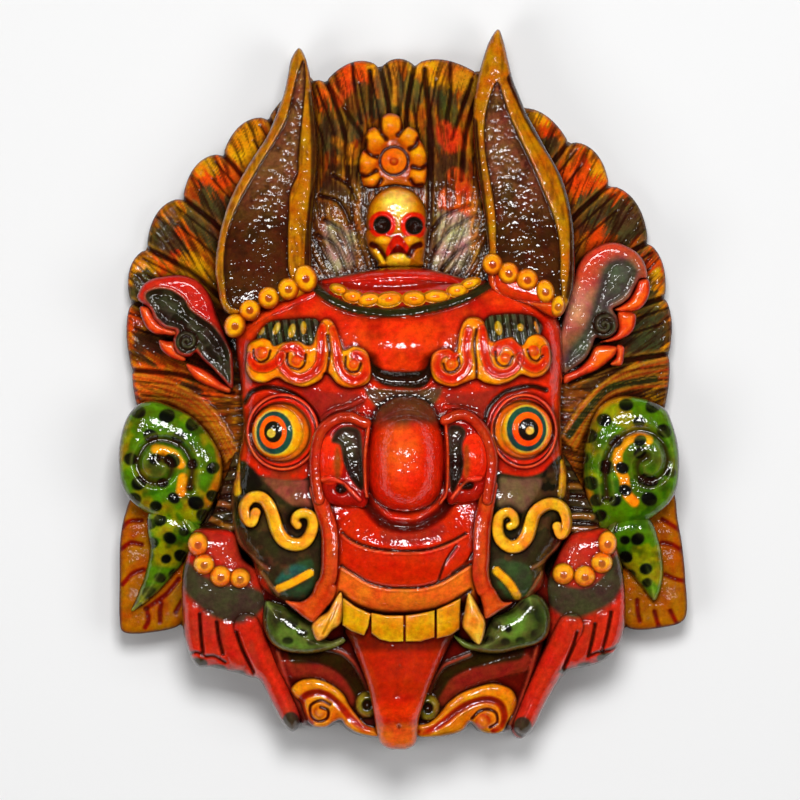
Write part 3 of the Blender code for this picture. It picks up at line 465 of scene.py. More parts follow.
    def wash_wear_shade_and_highlight(self, deep=1.3, wash_and_shade=0.62, wear=0.25, dark=WASH_AND_SHADE, wear_and_highlight_paint=None):
        """Darkens the hollows with antique wash and painted shade, and lightens the ridges a little with wear
        and a painted highlight.
        """
        for radius, share in ((1.2, 0.5), (3.4, 1)):
            hollow = self.blur(radius) - self.z
            mask = np.clip(hollow / (deep * share), 0.0, 1.0) ** 0.8 * wash_and_shade
            self.coat(dark, mask)
            # The ridges get the given paint, or a lighter copy of the paint there: wear and a painted
            # highlight
            ridge = np.clip(-hollow / (deep * share) - 0.15, 0.0, 1.0) * wear
            pale = wear_and_highlight_paint if wear_and_highlight_paint is not None else np.clip(self.rgb * 1.5 + 0.01, 0.0, 0.9)
            self.coat(pale, ridge)

    def faces(self):
        """The grid's faces, as rows of four point numbers. A triangle repeats its last one."""
        number = np.arange(self.x.size).reshape(self.x.shape)
        corners = [number[:-1, :-1], number[1:, :-1], number[1:, 1:], number[:-1, 1:]]
        corners = np.stack(corners, axis=-1).reshape(-1, 4)
        held = self.kept.ravel()[corners]
        solid = self.raw.ravel()[corners].mean(axis=1) > -self.step * 0.2
        rows = [corners[held.all(axis=1) & solid]]
        for missing in range(4):
            three = (held.sum(axis=1) == 3) & ~held[:, missing] & solid
            turned = np.roll(corners[three], -missing - 1, axis=1)
            rows.append(turned[:, [0, 1, 2, 2]])
        return np.vstack(rows)

    def build(self, material, side=WALL_PAINT, rows=2):
        """Makes the closed mesh: the carved face, a wall round the outline and a plain foot."""
        faces, rim = without_pinches(self.faces())
        used = np.unique(faces)
        place = np.full(self.x.size, -1)
        place[used] = np.arange(len(used))
        x, y, z = (field.ravel()[used] for field in (self.x, self.y, self.z))
        paint = self.rgb.reshape(-1, 3)[used]
        loops = [place[loop] for loop in chains(rim)]
        rim_points = np.concatenate(loops)
        rx, ry, rz = x[rim_points], y[rim_points], z[rim_points]
        fz = self.foot_at(rx, ry)
        fall = rz - fz
        first = np.minimum(EDGE_ROUND, fall * 0.3)
        points, paints = [np.stack([x, y, z], axis=1)], [paint]
        every = [face[:3] if face[2] == face[3] else face for face in place[faces].tolist()]
        upper, count = rim_points, len(used)
        for k in range(rows + 1):
            lower = count + np.arange(len(rim_points))
            count += len(rim_points)
            points.append(np.stack([rx, ry, rz - first - (fall - first) * k / rows], axis=1))
            blend = min(1.0, 0.2 + 0.6 * k)
            paints.append(paint[rim_points] * (1 - blend) + side * blend)
            start = 0
            for loop in loops:
                here = np.arange(start, start + len(loop))
                after = np.roll(here, -1)
                every += np.stack([upper[after], upper[here], lower[here], lower[after]], axis=1).tolist()
                start += len(loop)
            upper = lower
        spots, foot = self.foot_mesh(loops, rx, ry, upper, count)
        if len(spots):
            points.append(np.column_stack([spots, self.foot_at(spots[:, 0], spots[:, 1])]))
            paints.append(np.tile(side, (len(spots), 1)))
        return make_mesh(self.name, np.vstack(points), every + foot, np.vstack(paints), material)

    def foot_at(self, x, y):
        """The height of the slab's foot."""
        return self.foot(x, y) if callable(self.foot) else np.full(len(x), float(self.foot))

    def foot_mesh(self, loops, rx, ry, upper, count, spacing=7.0):
        """The foot's triangles, between the wall's last points and a few inside them."""
        outline = np.stack([rx, ry], axis=1)
        edges, start = [], 0
        for loop in loops:
            here = list(range(start, start + len(loop)))
            edges += list(zip(here, here[1:] + here[:1]))
            start += len(loop)
        skip = max(1, int(spacing / self.step))
        deep = self.raw[::skip, ::skip] > spacing * 0.5
        inner = np.stack([self.x[::skip, ::skip][deep], self.y[::skip, ::skip][deep]], axis=1)
        if not callable(self.foot):
            inner = inner[:0]
        every = [Vector(p) for p in np.vstack([outline, inner])]
        made, _, faces, origins, _, _ = delaunay_2d_cdt(every, edges, [], 0, WELD)
        numbers, extra = [], []
        for spot, origin in zip(made, origins):
            own = [o for o in origin if o < len(outline)]
            if own:
                numbers.append(int(upper[own[0]]))
            else:
                numbers.append(count + len(extra))
                extra.append((spot.x, spot.y))
        spots = np.array([(p.x, p.y) for p in made])
        tris = np.array(faces)
        middle = spots[tris].mean(axis=1)
        starts, ends = np.array(edges).T
        within = inside(middle[:, 0], middle[:, 1], outline[starts], outline[ends])
        kept = [[numbers[v] for v in tri[::-1]] for tri in tris[within].tolist()]
        kept = [face for face in kept if len(set(face)) == 3]
        return np.array(extra).reshape(-1, 2), kept


def without_pinches(faces):
    """Drops faces until no point joins two parts by corners alone, and returns them with their open edges."""
    while True:
        starts, ends = faces, np.roll(faces, -1, axis=1)
        starts, ends = np.where(starts == ends, -1, starts).ravel(), ends.ravel()
        owner = np.repeat(np.arange(len(faces)), 4)
        real = starts >= 0
        starts, ends, owner = starts[real], ends[real], owner[real]
        size = int(faces.max()) + 1
        open_edge = ~np.isin(starts * size + ends, ends * size + starts)
        starts, ends, owner = starts[open_edge], ends[open_edge], owner[open_edge]
        order = np.argsort(starts, kind="stable")
        starts, ends, owner = starts[order], ends[order], owner[order]
        again = np.nonzero(starts[1:] == starts[:-1])[0] + 1
        if not len(again):
            return faces, dict(zip(starts.tolist(), ends.tolist()))
        faces = np.delete(faces, np.unique(owner[again]), axis=0)


def chains(rim):
    """The closed loops that open edges make."""
    rim = dict(rim)
    loops = []
    while rim:
        start = min(rim)
        loop = [start]
        step = rim.pop(start)
        while step != start:
            loop.append(step)
            step = rim.pop(step)
        loops.append(np.array(loop))
    return loops


def make_mesh(name, points, faces, paints, material):
    """A mesh object in the part's frame, with its paint as a colour attribute."""
    mesh = bpy.data.meshes.new(name)
    mesh.from_pydata(to_frame(points).tolist(), [], faces)
    mesh.update()
    paint = mesh.color_attributes.new("paint", "FLOAT_COLOR", "POINT")
    opaque = np.column_stack([np.clip(paints, 0.0, 1.0), np.ones(len(paints))])
    paint.data.foreach_set("color", opaque.astype(np.float32).ravel())
    mesh.shade_smooth()
    mesh.set_sharp_from_angle(angle=SHARP_ANGLE)
    mesh.materials.append(material)
    piece = bpy.data.objects.new(name, mesh)
    bpy.context.collection.objects.link(piece)
    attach(piece, "root")
    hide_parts("mask")
    return piece


# The crest's feathers: where two neighbours meet on the outline, and how far the feather between them bulges
LEFT_NOTCHES = [
    (-13.2, 192.6, 8), (-45.6, 184.8, 7), (-80.4, 162, 8), (-107.4, 140.4, 8.4), (-131.4, 114, 8.4),
    (-153, 84, 7.2), (-162.6, 51.6, 3.6), (-162, 10.8, 1.2),
]
RIGHT_NOTCHES = [
    (7.8, 194.4, 7.2), (50, 186, 3), (70, 168, 6.6), (100.2, 147.6, 8.4), (124.2, 121.8, 8.4),
    (147.6, 87.6, 5.4), (157.8, 54.6, 3.6), (160.2, 20.4, 1.8),
]
LEFT_CREST_END = (-159, -11.4)
RIGHT_CREST_END = (157.8, -12.6)
FEATHER_ROOT = (0, -25)
FEATHER_GROOVE = 62.0

LEFT_HORN = [
    (-62.4, 204.6), (-66.6, 198), (-68.6, 188), (-71, 177), (-76.2, 162.6), (-81.6, 150.6), (-89.4, 138.6),
    (-96.6, 126.6), (-102.6, 114.6), (-106.8, 102.6), (-109.8, 90.6), (-111.6, 77.4), (-111, 64),
    (-104, 45), (-80, 50), (-58, 57), (-54, 72.6), (-54, 92.4), (-52.4, 110.4), (-51, 125.4),
    (-50.4, 143.4), (-51.6, 161.4), (-53.4, 176), (-56, 192), (-59, 201.6),
]
RIGHT_HORN = [
    (57.6, 216), (52.4, 208.8), (48.6, 198), (45.2, 185.4), (43.2, 173.4), (42.6, 155.4), (44.4, 134.4),
    (46.8, 119.4), (49.2, 104.4), (51.6, 83.4), (53.4, 60), (76.8, 50), (92.4, 42.6), (101.4, 56),
    (103.4, 74.4), (102.8, 95.4), (100.8, 108.6), (97.8, 120.6), (93.6, 131.4), (87.6, 141.6), (81, 153.6),
    (75, 164.4), (70.8, 174.6), (66.6, 185.4), (63.6, 197.4), (60.8, 209.4),
]
HEAD = [
    (-99.6, 35.4), (-86, 50), (-67.2, 61), (-52.2, 65), (-37.2, 67.8), (-19.2, 71.4), (-1.2, 73.2),
    (16.8, 72), (34.8, 67.2), (52.8, 65), (72, 62), (86, 53), (94.8, 38.4), (96.6, 17.4), (95.4, -6.6),
    (96, -36), (100.2, -54.6), (100.2, -78.6), (95, -93.6), (86.4, -104), (84, -119), (70.8, -127),
    (52.2, -128), (40.8, -131.4), (16.8, -135), (-1.2, -136.2), (-19.2, -135), (-37.2, -131.4),
    (-51.6, -130.8), (-70.2, -127.8), (-84, -119), (-90, -102.6), (-99.6, -90.6), (-103.2, -66.6),
    (-99.6, -48.6), (-95.4, -24.6), (-97.2, 5.4),
]
LEFT_EAR = [
    (-157.8, 55.8), (-152, 63), (-141, 67.8), (-127.2, 66.4), (-118, 60), (-111.6, 47), (-106, 30),
    (-100.8, 11.4), (-101.4, 0.6), (-112.2, 3.6), (-121.2, 10.8), (-130, 16.4), (-136.2, 23.4),
    (-139.2, 33), (-149, 40.2), (-156.6, 48.6),
]
RIGHT_EAR = [
    (106.8, 76.2), (114, 83), (124.8, 87), (136.8, 83.8), (144.6, 74.4), (148.4, 62.4), (143.4, 53.4),
    (134.4, 46.8), (130.8, 37), (129, 26.4), (120, 16.4), (108, 9), (96, 6.6), (93.6, 14), (94.8, 29.4),
    (97.2, 43), (102, 58), (103.8, 68.4),
]
LEFT_COIL = [
    (-157.8, -9), (-165, -17), (-169, -30), (-170, -44), (-168, -58), (-160.8, -69), (-150.6, -76.2),
    (-136.2, -83.4), (-121.2, -82), (-113, -68.4), (-108, -54.6), (-108.4, -40.8), (-114.6, -28.8),
    (-124.8, -17.4), (-139.2, -10), (-149, -7),
]
RIGHT_COIL = [
    (157.8, -12), (162, -20.4), (165.6, -33.6), (166.4, -48), (164.4, -61), (157.2, -72), (144, -81.6),
    (130.8, -85.2), (118.8, -84.6), (112.2, -69.6), (108.6, -54.6), (109.2, -36.6), (112.8, -21.6),
    (119.4, -9.6), (131.4, -4.2), (146.4, -6),
]
LEFT_TAIL = [
    (-151.2, -73), (-153, -84.6), (-151.8, -97.2), (-154.8, -112.2), (-159, -123.6), (-162.6, -133.8),
    (-151.8, -127.2), (-139.8, -115.2), (-130.2, -102.6), (-120, -83.4), (-136.2, -70),
]
RIGHT_TAIL = [
    (118.8, -83.4), (133.8, -73), (148, -77), (154.2, -90.6), (157.2, -105.6), (156, -119.4),
    (151.2, -127.8), (142.8, -117.6), (130.8, -104), (121.8, -93.6),
]
LEFT_SIDE_FEATHERS = [
    (-160.8, -64), (-166.2, -74), (-169.4, -90.6), (-169.8, -114.6), (-169.8, -138), (-166.8, -146.4),
    (-151.2, -146.4), (-133.2, -141.6), (-125.4, -126.6), (-130.2, -102.6), (-146, -66),
]
RIGHT_SIDE_FEATHERS = [
    (162.6, -62), (165.8, -78.6), (168.6, -95), (170.4, -114.6), (170.4, -137.4), (156, -143.4),
    (135.6, -143.4), (128, -126.6), (133.8, -102.6), (148, -66),
]
LEFT_HAND = [
    (-124.8, -84.6), (-112.2, -83.4), (-100.2, -86.4), (-95.4, -101.4), (-84.6, -110.4), (-80.4, -126.6),
    (-77.4, -150.6), (-70.2, -168.6), (-63, -186.6), (-60.6, -198.6), (-65.4, -205.8), (-72, -199.8),
    (-79.2, -186.6), (-85.2, -175.2), (-91.8, -172.8), (-97.2, -171), (-104.4, -169.2), (-115.2, -166.8),
    (-123, -166.2), (-128.4, -156), (-131.4, -143.4), (-132, -114.6), (-128.4, -96.6),
]
RIGHT_HAND = [
    (99.6, -88), (112.8, -84), (124.8, -84.6), (130.8, -101.4), (133.8, -120.6), (133.8, -141),
    (129.6, -154.8), (120.6, -163.2), (109.8, -166.8), (98.4, -170.4), (87.6, -186.6), (79.2, -202.8),
    (71, -210), (65.2, -203.4), (70.8, -186.6), (79.2, -166.8), (86.4, -150.6), (87.6, -132.6),
    (86.4, -117.6), (91.2, -104.4),
]
JAW = [
    (-84, -108), (-79.8, -156.6), (-69, -180), (-62.4, -198), (-57.6, -202.6), (-46.2, -203.4),
    (-37.8, -201), (-30, -206.4), (-15.6, -209.4), (12, -209.4), (24, -208.8), (33, -205.2), (40.2, -200.4),
    (46.8, -205.8), (63, -205.8), (69.6, -201), (75, -180.6), (85.2, -150.6), (86.4, -110), (40, -96),
    (-40, -96),
]
TONGUE = [
    (-34.2, -143), (-30.6, -152.4), (-25.2, -165), (-20.7, -178), (-17.4, -192.6), (-15.6, -204),
    (-13.2, -211.8), (-8.4, -215.4), (-3, -216), (3.6, -215.6), (8.7, -211.2), (10.2, -198), (13.8, -186.6),
    (18.3, -174.6), (23.7, -162.6), (29.4, -151.8), (33.6, -143), (16, -136), (-18, -136),
]


def lobe(start, end, bulge, lean=0.8, count=14):
    """One feather's outline, bulging out to the left of the way from start to end."""
    s = np.linspace(0.0, 1.0, count, endpoint=False)
    a, b = np.array(start), np.array(end)
    run = b - a
    out = np.array([run[1], -run[0]]) / np.hypot(*run)
    rise = bulge * np.sin(np.pi * s**lean) ** 0.75
    return a + s[:, None] * run + rise[:, None] * out


def crest_outline(closing):
    """The crest's outline, clockwise from the top, closed below by the given points."""
    rows = []
    right = RIGHT_NOTCHES + [(*RIGHT_CREST_END, 0.0)]
    left = LEFT_NOTCHES + [(*LEFT_CREST_END, 0.0)]
    for (x0, y0, bulge), (x1, y1, _) in zip(right, right[1:]):
        rows.append(lobe((x0, y0), (x1, y1), -bulge))
    rows.append([RIGHT_CREST_END, *closing, LEFT_CREST_END])
    back = []
    for (x0, y0, bulge), (x1, y1, _) in zip(left, left[1:]):
        back.append(lobe((x0, y0), (x1, y1), bulge))
    rows.append(np.vstack(back)[::-1])
    rows.append(lobe(LEFT_NOTCHES[0][:2], RIGHT_NOTCHES[0][:2], -5.4, lean=1.0)[1:])
    return np.vstack([np.asarray(r, float) for r in rows])


def mirrored(points):
    """Points on the right, then the same on the left, to close an outline below."""
    return [*points, *[(-x, y) for x, y in reversed(points)]]


WHOLE_CREST = crest_outline(mirrored([(150, -90), (114, -150), (82, -166), (50, -190)]))
OUTLINES = [WHOLE_CREST] + [
    ring(points)
    for points in (
        LEFT_HORN, RIGHT_HORN, HEAD, LEFT_EAR, RIGHT_EAR, LEFT_COIL, RIGHT_COIL, LEFT_TAIL, RIGHT_TAIL,
        LEFT_SIDE_FEATHERS, RIGHT_SIDE_FEATHERS, LEFT_HAND, RIGHT_HAND, JAW, TONGUE,
    )
]
DRAWN_LOW, DRAWN_HIGH = np.vstack(OUTLINES).min(axis=0), np.vstack(OUTLINES).max(axis=0)
PLAN = (HIGH.y - LOW.y) / (DRAWN_HIGH[1] - DRAWN_LOW[1])
LIFT = (HIGH.z - LOW.z) / DRAWN_DEPTH


def to_frame(points):
    """Drawing millimetres to metres in the frame."""
    points = np.asarray(points, float)
    middle = (DRAWN_LOW + DRAWN_HIGH) / 2
    across = (LOW.x + HIGH.x) / 2 + (points[:, 0] - middle[0]) * PLAN
    up = (LOW.y + HIGH.y) / 2 + (points[:, 1] - middle[1]) * PLAN
    return np.column_stack([across, up, LOW.z + points[:, 2] * LIFT])


def underside(x, y):
    """The back: flat, hollow behind the head, and cut away under the tips of the horns."""
    low, high = np.min(HEAD, axis=0), np.max(HEAD, axis=0)
    reach = (high - low) / 2 - SIDE_WALL
    u, v = np.abs(x - (low[0] + high[0]) / 2) / reach[0], np.abs(y - (low[1] + high[1]) / 2) / reach[1]
    out = (u**HOLLOW_SQUARENESS + v**HOLLOW_SQUARENESS) ** (1.0 / HOLLOW_SQUARENESS)
    depth = head_form(x, y) - WALL - DEEPEST_CUT
    tips = HORN_UNDERCUT * ramp((y - HORN_TIPS_FROM) / HORN_TIPS_SLOPE)
    return np.maximum(depth * ramp((1.0 - out) / (HOLLOW_SLOPE / reach[0])), tips)


def over_back(x, y):
    """Where a slab's foot sits: just above the board's own underside."""
    return underside(x, y) + FOOT


def under_face(x, y):
    """Where the foot of a form on the face sits."""
    return head_form(x, y) - LET_IN


# Paints
RED = colour(200, 36, 10)
DEEP_RED = colour(112, 12, 6)
ORANGE = colour(236, 100, 24)
YELLOW = colour(236, 168, 26)
OCHRE = colour(196, 128, 30)
BROWN = colour(70, 32, 12)
BLACK = colour(22, 20, 18)
TEAL = colour(28, 76, 80)


def streaks(x, y, across, along, seed=0):
    """Streaks that run out from the feathers' root, from 0 to 1."""
    a = np.arctan2(x - FEATHER_ROOT[0], y - FEATHER_ROOT[1])
    r = np.hypot(x - FEATHER_ROOT[0], y - FEATHER_ROOT[1])
    a = a + 0.05 * np.sign(a) * np.sin(r / 26.0)
    return cloud(a * 190.0 / across, r / along, seed, 2)


# The feathers' paints, each with the places of its patches: x, y and radius
CREST_PATCHES = (
    (colour(214, 72, 12), [
        (-112, 130, 13), (-132, 92, 9), (-138, 79, 12), (-158, 43, 7), (-151, 8, 12), (-121, 2, 14),
        (-43, 173, 7), (-30, 187, 11), (29, 152, 9), (32, 116, 8), (88, 158, 8), (110, 128, 14),
        (132, 113, 11), (150, 76, 11), (149, 17, 9), (119, 89, 8),
    ]),
    (colour(214, 150, 14), [
        (-97, 154, 14), (-121, 138, 8), (-140, 109, 10), (-127, 71, 10), (23, 192, 14), (8, 195, 6),
        (-14, 193, 6), (80, 166, 10), (124, 138, 11), (152, 62, 8), (158, 41, 9), (-31, 142, 7),
        (155, 2, 9), (146, 112, 7), (-156, 74, 7),
    ]),
    (colour(60, 40, 28), [
        (-31, 119, 14), (26, 131, 12), (-148, 27, 11), (107, 104, 9), (120, 60, 12), (140, 30, 13),
        (128, 8, 14), (152, 34, 13), (154, 12, 13), (112, 24, 12), (118, 42, 12), (-128, -4, 9),
    ]),
    (colour(54, 60, 44), [
        (-116, 104, 14), (-145, 92, 11), (-157, 59, 8), (-37, 155, 12), (-26, 174, 11), (-9, 182, 9),
        (-8, 170, 8), (5, 180, 9), (27, 168, 10), (20, 150, 7), (86, 143, 8), (138, 98, 12),
        (116, 110, 8), (148, 50, 9), (143, 32, 12),
    ]),
)


def crest(material):
    """The feathers: a groove in from each notch, fine barbs, and dry-brushed paint in patches."""
    closing = mirrored([(150, -34), (118, -66), (88, -70), (80, 10), (40, 40)])
    slab = Slab("crest", [crest_outline(closing)], foot=over_back)
    slab.form(crest_form, drop=3.0, rounding=4.0)
    x, y = slab.x, slab.y
    out = crest_reach(x, y)
    coarse = streaks(x, y, 5.0, 60.0, 3)
    fine = streaks(x, y, 2.3, 24.0, 5)
    strands = streaks(x, y, 1.4, 9.0, 6)
    hairs = streaks(x, y, 1.2, 12.0, 16)
    slab.z += 1.0 * (coarse - 0.5) - 0.6 * np.clip((fine - 0.52) * 3.0, 0.0, 1.0) + 0.5 * (hairs - 0.5)
    slab.coat(colour(156, 80, 14))
    slab.blotch(colour(150, 52, 10), 19.0, 19.0, 14, 0.46, 6.0, 0.7)
    rimward = 0.3 + 0.4 * ramp((out - 130.0) / 40.0)
    slab.coat(colour(214, 146, 20), ramp((strands - 0.52) * 8.0) * rimward)
    ragged = 1.6 * (streaks(x, y, 6.0, 12.0, 8) - 0.5) + 1.2 * (hairs - 0.5)
    # Painted shade: the crest darker brown towards its root, round the horns and the head
    slab.coat(colour(74, 42, 18), ramp((140.0 - out) / 40.0) * 0.5)
    slab.coat(colour(214, 146, 20), ramp((strands - 0.62) * 9.0) * 0.3)
    for paint, places in CREST_PATCHES:
        for px, py, radius in places:
            slab.coat(paint, ramp((1.35 + ragged - np.hypot(x - px, y - py) / radius) * 2.5) * 0.95)
    root = np.array(FEATHER_ROOT)
    for px, py, _ in LEFT_NOTCHES + RIGHT_NOTCHES:
        notch = np.array([px, py])
        inward = (root - notch) / np.hypot(*(root - notch))
        side = np.array([-inward[1], inward[0]]) * np.sign(px)
        middle = notch + inward * FEATHER_GROOVE * 0.5 - side * 4.0
        groove = spline([notch - inward * 4.0, middle, notch + inward * FEATHER_GROOVE])
        slab.cut(groove, 2.5, 3.4, taper=0.4, wash_and_shade=0.75)
        for shift, start in ((6, 5), (13, 12)):
            beside = groove[: len(groove) * 2 // 3] + side * shift + inward * start
            slab.cut(beside, 1.3, 1.1, taper=0.6, wash_and_shade=0.7)
    inner_feathers(slab)
    slab.coat(BROWN * 0.4, ramp((fine - 0.56) * 9.0) * 0.7)
    slab.coat(BROWN * 0.3, ramp((hairs - 0.57) * 9.0) * 0.7)
    streams(slab)
    # Painted shade round the forms that stand on the crest
    for loop in (LEFT_HORN, RIGHT_HORN, HEAD, LEFT_EAR, RIGHT_EAR, LEFT_COIL, RIGHT_COIL, ROSETTE_EDGE):
        slab.shade(ring(loop), 6.0, 0.85)
    slab.wash_wear_shade_and_highlight(deep=1.1, wash_and_shade=0.6, wear=0.2, wear_and_highlight_paint=colour(222, 164, 60))
    slab.build(material)


def inner_feathers(slab):
    """The feathers between the horns: dark leaves and grooves over an orange fan, and a painted reflection on
    two pale leaves.
    """
    for points, width in (
        ([(-46.2, 185), (-34.2, 167.4), (-24, 152.4)], 4.2),
        ([(-19.2, 191.4), (-18.6, 176), (-18, 161.4)], 4.2),
        ([(-30, 196), (-28, 178), (-24.6, 160)], 3.0),
        ([(13.8, 192), (15.6, 170), (17.4, 146), (15.6, 78)], 5.0),
        ([(28.8, 196), (29.4, 178), (26.4, 160)], 3.4),
        ([(42, 186), (36, 168), (30, 150)], 3.4),
        ([(-41, 128), (-32, 122), (-27, 113)], 3.4),
        ([(-49, 116), (-38, 112), (-31, 100)], 3.4),
        ([(-50.4, 92.4), (-40.2, 86.4), (-34.2, 72.6)], 3.4),
        ([(-46.2, 101.4), (-34.2, 92.4), (-28.2, 74.4)], 3.4),
        ([(18, 95.4), (25.8, 104.4), (40.8, 110.4)], 3.4),
        ([(19.8, 83.4), (28.8, 95.4), (43.8, 104.4)], 3.4),
        ([(24, 72), (33, 82), (45, 90)], 3.4),
    ):
        slab.cut(spline(points), width * 0.6, 2.2, taper=0.5, wash_and_shade=0.8)
    between = (slab.x > -53.0) & (slab.x < 48.0)
    pale = ramp((118.0 - slab.y) / 34.0) * ramp((slab.y - 62.0) / 12.0) * between
    broad = streaks(slab.x, slab.y, 3.4, 26.0, 31)
    slab.coat(colour(82, 60, 42), pale * (0.2 + 0.6 * broad))
    # Two leaves painted pale grey: a painted reflection of the light on them
    for points in (
        [(-46, 99), (-36, 97), (-28, 92), (-26.4, 77), (-34, 72.6), (-41.4, 70.2), (-45.6, 76.2)],
        [(18, 104), (31, 106), (43.8, 105), (42.6, 72.6), (31.8, 71.4), (18, 76)],
    ):
        slab.fill(ring(points), colour(186, 180, 184), soft=2.4, strength=0.8)
    narrow = streaks(slab.x, slab.y, 2.4, 18.0, 33)
    slab.coat(colour(48, 36, 26), pale * ramp((narrow - 0.54) * 8.0) * 0.8)
    for points, width, paint in (
        ([(-37.2, 182), (-31.2, 172)], 6.5, colour(206, 70, 22)),
        ([(-34, 164), (-23, 178)], 6.0, colour(58, 50, 24)),
        ([(-12, 200), (-10, 168)], 3.4, colour(70, 76, 56)),
        ([(-5, 196), (-4, 172)], 2.0, OCHRE),
        ([(-40.2, 149.4), (-24, 136.8)], 2.4, OCHRE),
        ([(26, 196), (36, 186)], 6.0, OCHRE),
        ([(22.8, 179), (25.2, 167)], 4.6, colour(44, 56, 36)),
        ([(24.6, 155), (30.6, 148)], 6.5, colour(204, 54, 22)),
        ([(32, 128), (38, 118)], 5.0, colour(204, 66, 22)),
        ([(27, 116), (40, 108)], 4.0, ORANGE),
        ([(17.6, 160), (18, 82)], 3.4, colour(58, 26, 26)),
        ([(42.6, 118), (43.8, 70)], 2.4, OCHRE),
        ([(-26.4, 124), (-25.8, 75)], 2.2, colour(150, 100, 34)),
    ):
        slab.stroke(np.array(points), width, paint, soft=1.6, strength=0.8)


def streams(slab):
    """Long curved feathers that run from under the ears to the snake's coils."""
    for upper, lower in (
        (
            [(-164, 10), (-136, 3), (-114, -12), (-99, -36)],
            [(-156, -6), (-137, -9), (-118, -23), (-106, -44)],
        ),
        (
            [(163, 20), (131, 10), (110, -7), (96, -28)],
            [(160, 2), (137, 0), (119, -10), (104, -36)],
        ),
    ):
        upper, lower = np.array(upper), np.array(lower)
        for k in range(8):
            line = spline(upper + (lower - upper) * k / 7.0)
            slab.ridge(line, 1.6, 1.0, 0.6, (OCHRE, ORANGE * 0.6)[k % 2], soft=0.6, strength=0.7)
    slab.stroke(spline([(152, 6), (126, 1), (112, -12), (100, -28)]), 2.2, colour(34, 46, 26))


def horn_top(tip_y):
    """A horn's height, rising from its tip to its root."""
    return lambda x, y: HORN_TIP + HORN_RISE * np.clip((tip_y - y) / (tip_y - HORN_ROOT), 0.0, 1.0) ** 1.1


# Each horn: its outline, the y of its tip, its channel's outline, and its outer ridge with the ridge's width
HORNS = {
    "horn_left": (
        LEFT_HORN,
        204.0,
        [
            (-59.2, 197), (-63.4, 186), (-66.4, 173), (-70, 160), (-76, 149), (-84, 136), (-91, 124),
            (-98, 111), (-103, 98), (-106, 84), (-106, 66), (-100, 48), (-66, 52), (-68, 72), (-68.5, 88),
            (-68, 102), (-67, 118), (-62.5, 129), (-62, 140), (-60, 162), (-58, 184),
        ],
        [(-58, 176), (-56, 150), (-56.5, 126), (-62, 108), (-64, 92), (-64.4, 73)],
        4.4,
    ),
    "horn_right": (
        RIGHT_HORN,
        216.0,
        [
            (57, 184), (52, 172), (49.5, 158), (50, 142), (53, 124), (56, 104), (56.5, 84), (58, 58),
            (92, 52), (94.4, 70), (94, 88), (91, 102), (85.6, 116), (79, 132), (72.5, 146), (66, 160),
            (61, 174),
        ],
        [(62, 180), (67, 162), (77, 142), (88, 118), (96, 94), (97.4, 72)],
        3.2,
    ),
}
# The strips along the edges where a horn's dark side shows, each with its half width
SIDE_STRIPS = {
    "horn_left": [([(-52.5, 176), (-50.8, 150), (-51, 124), (-54, 92), (-54.6, 66)], 4.0)],
    "horn_right": [
        ([(66, 186), (78, 160), (94, 134), (102.4, 106), (103.4, 76), (101, 56)], 3.4),
        ([(42.8, 160), (45, 134), (48.4, 108), (50.4, 84)], 2.6),
    ],
}
CHANNEL_SLOPE = 14.0


def horns(material):
    """Two horns, each with a sunk, hammered channel between raised yellow edges."""
    for name, (points, tip_y, bed, edge, width) in HORNS.items():
        slab = Slab(name, [ring(points)], foot=over_back)
        slab.form(horn_top(tip_y), drop=5.0, rounding=7.0)
        channel = ring(bed)
        window, d, _ = slab.signed(channel, CHANNEL_SLOPE + 1.0)
        x, y = slab.x[window], slab.y[window]
        out = 1.0 - np.clip(d / CHANNEL_SLOPE, 0.0, 1.0)
        slab.z[window] += (3.4 * np.sqrt(1.0 - out**2) - 2.4) * ramp(0.5 + d / 1.6)
        beaten = cloud(x / 2.0, y / 2.0, 4, 2) - 0.5
        rough = ramp(d / 2.0) * ramp((y - 78.0) / 40.0)
        slab.z[window] += 1.2 * beaten * rough
        slab.coat(colour(170, 112, 4))
        slab.blotch(colour(112, 66, 10), 3.0, 12.0, 2, 0.5, 5.0, 0.7)
        root = ramp((y - 90.0) / 46.0)[..., None]
        paint = colour(62, 32, 12) * (1 - root) + colour(98, 62, 46) * root
        slab.coat(paint * 1.2, ramp(0.5 + d / 1.2), window)
        sooty = ramp((cloud(x / 9.0, y / 9.0, 7) - 0.48) * 6.0)
        slab.coat(colour(40, 22, 10), ramp(0.5 + d) * sooty * 0.6, window)
        slab.stroke(np.vstack([channel, channel[:1]]), 0.5, colour(44, 22, 8), soft=0.6)
        slab.cord(spline(edge), width, 1.0)
        if name == "horn_right":
            beads_line = np.interp(slab.x, [52.0, 62.0, 75.0, 84.0, 94.0], [77.0, 71.0, 66.0, 58.0, 50.0])
            slab.coat(colour(196, 44, 8), ramp((beads_line - slab.y) / 1.6))
        slab.coat(colour(46, 18, 8), side_wall(slab))
        slab.wash_wear_shade_and_highlight(deep=1.6, wash_and_shade=0.6, wear=0.2, wear_and_highlight_paint=colour(230, 180, 70))
        slab.build(material)


def side_wall(slab):
    """Where a horn's dark side shows."""
    mask = np.zeros(slab.x.shape)
    for strip, half in SIDE_STRIPS[slab.name]:
        window, d, _, _ = slab.measure(spline(strip), 8.0)
        mask[window] = np.maximum(mask[window], line_mask(d, half, 0.6))
    return mask


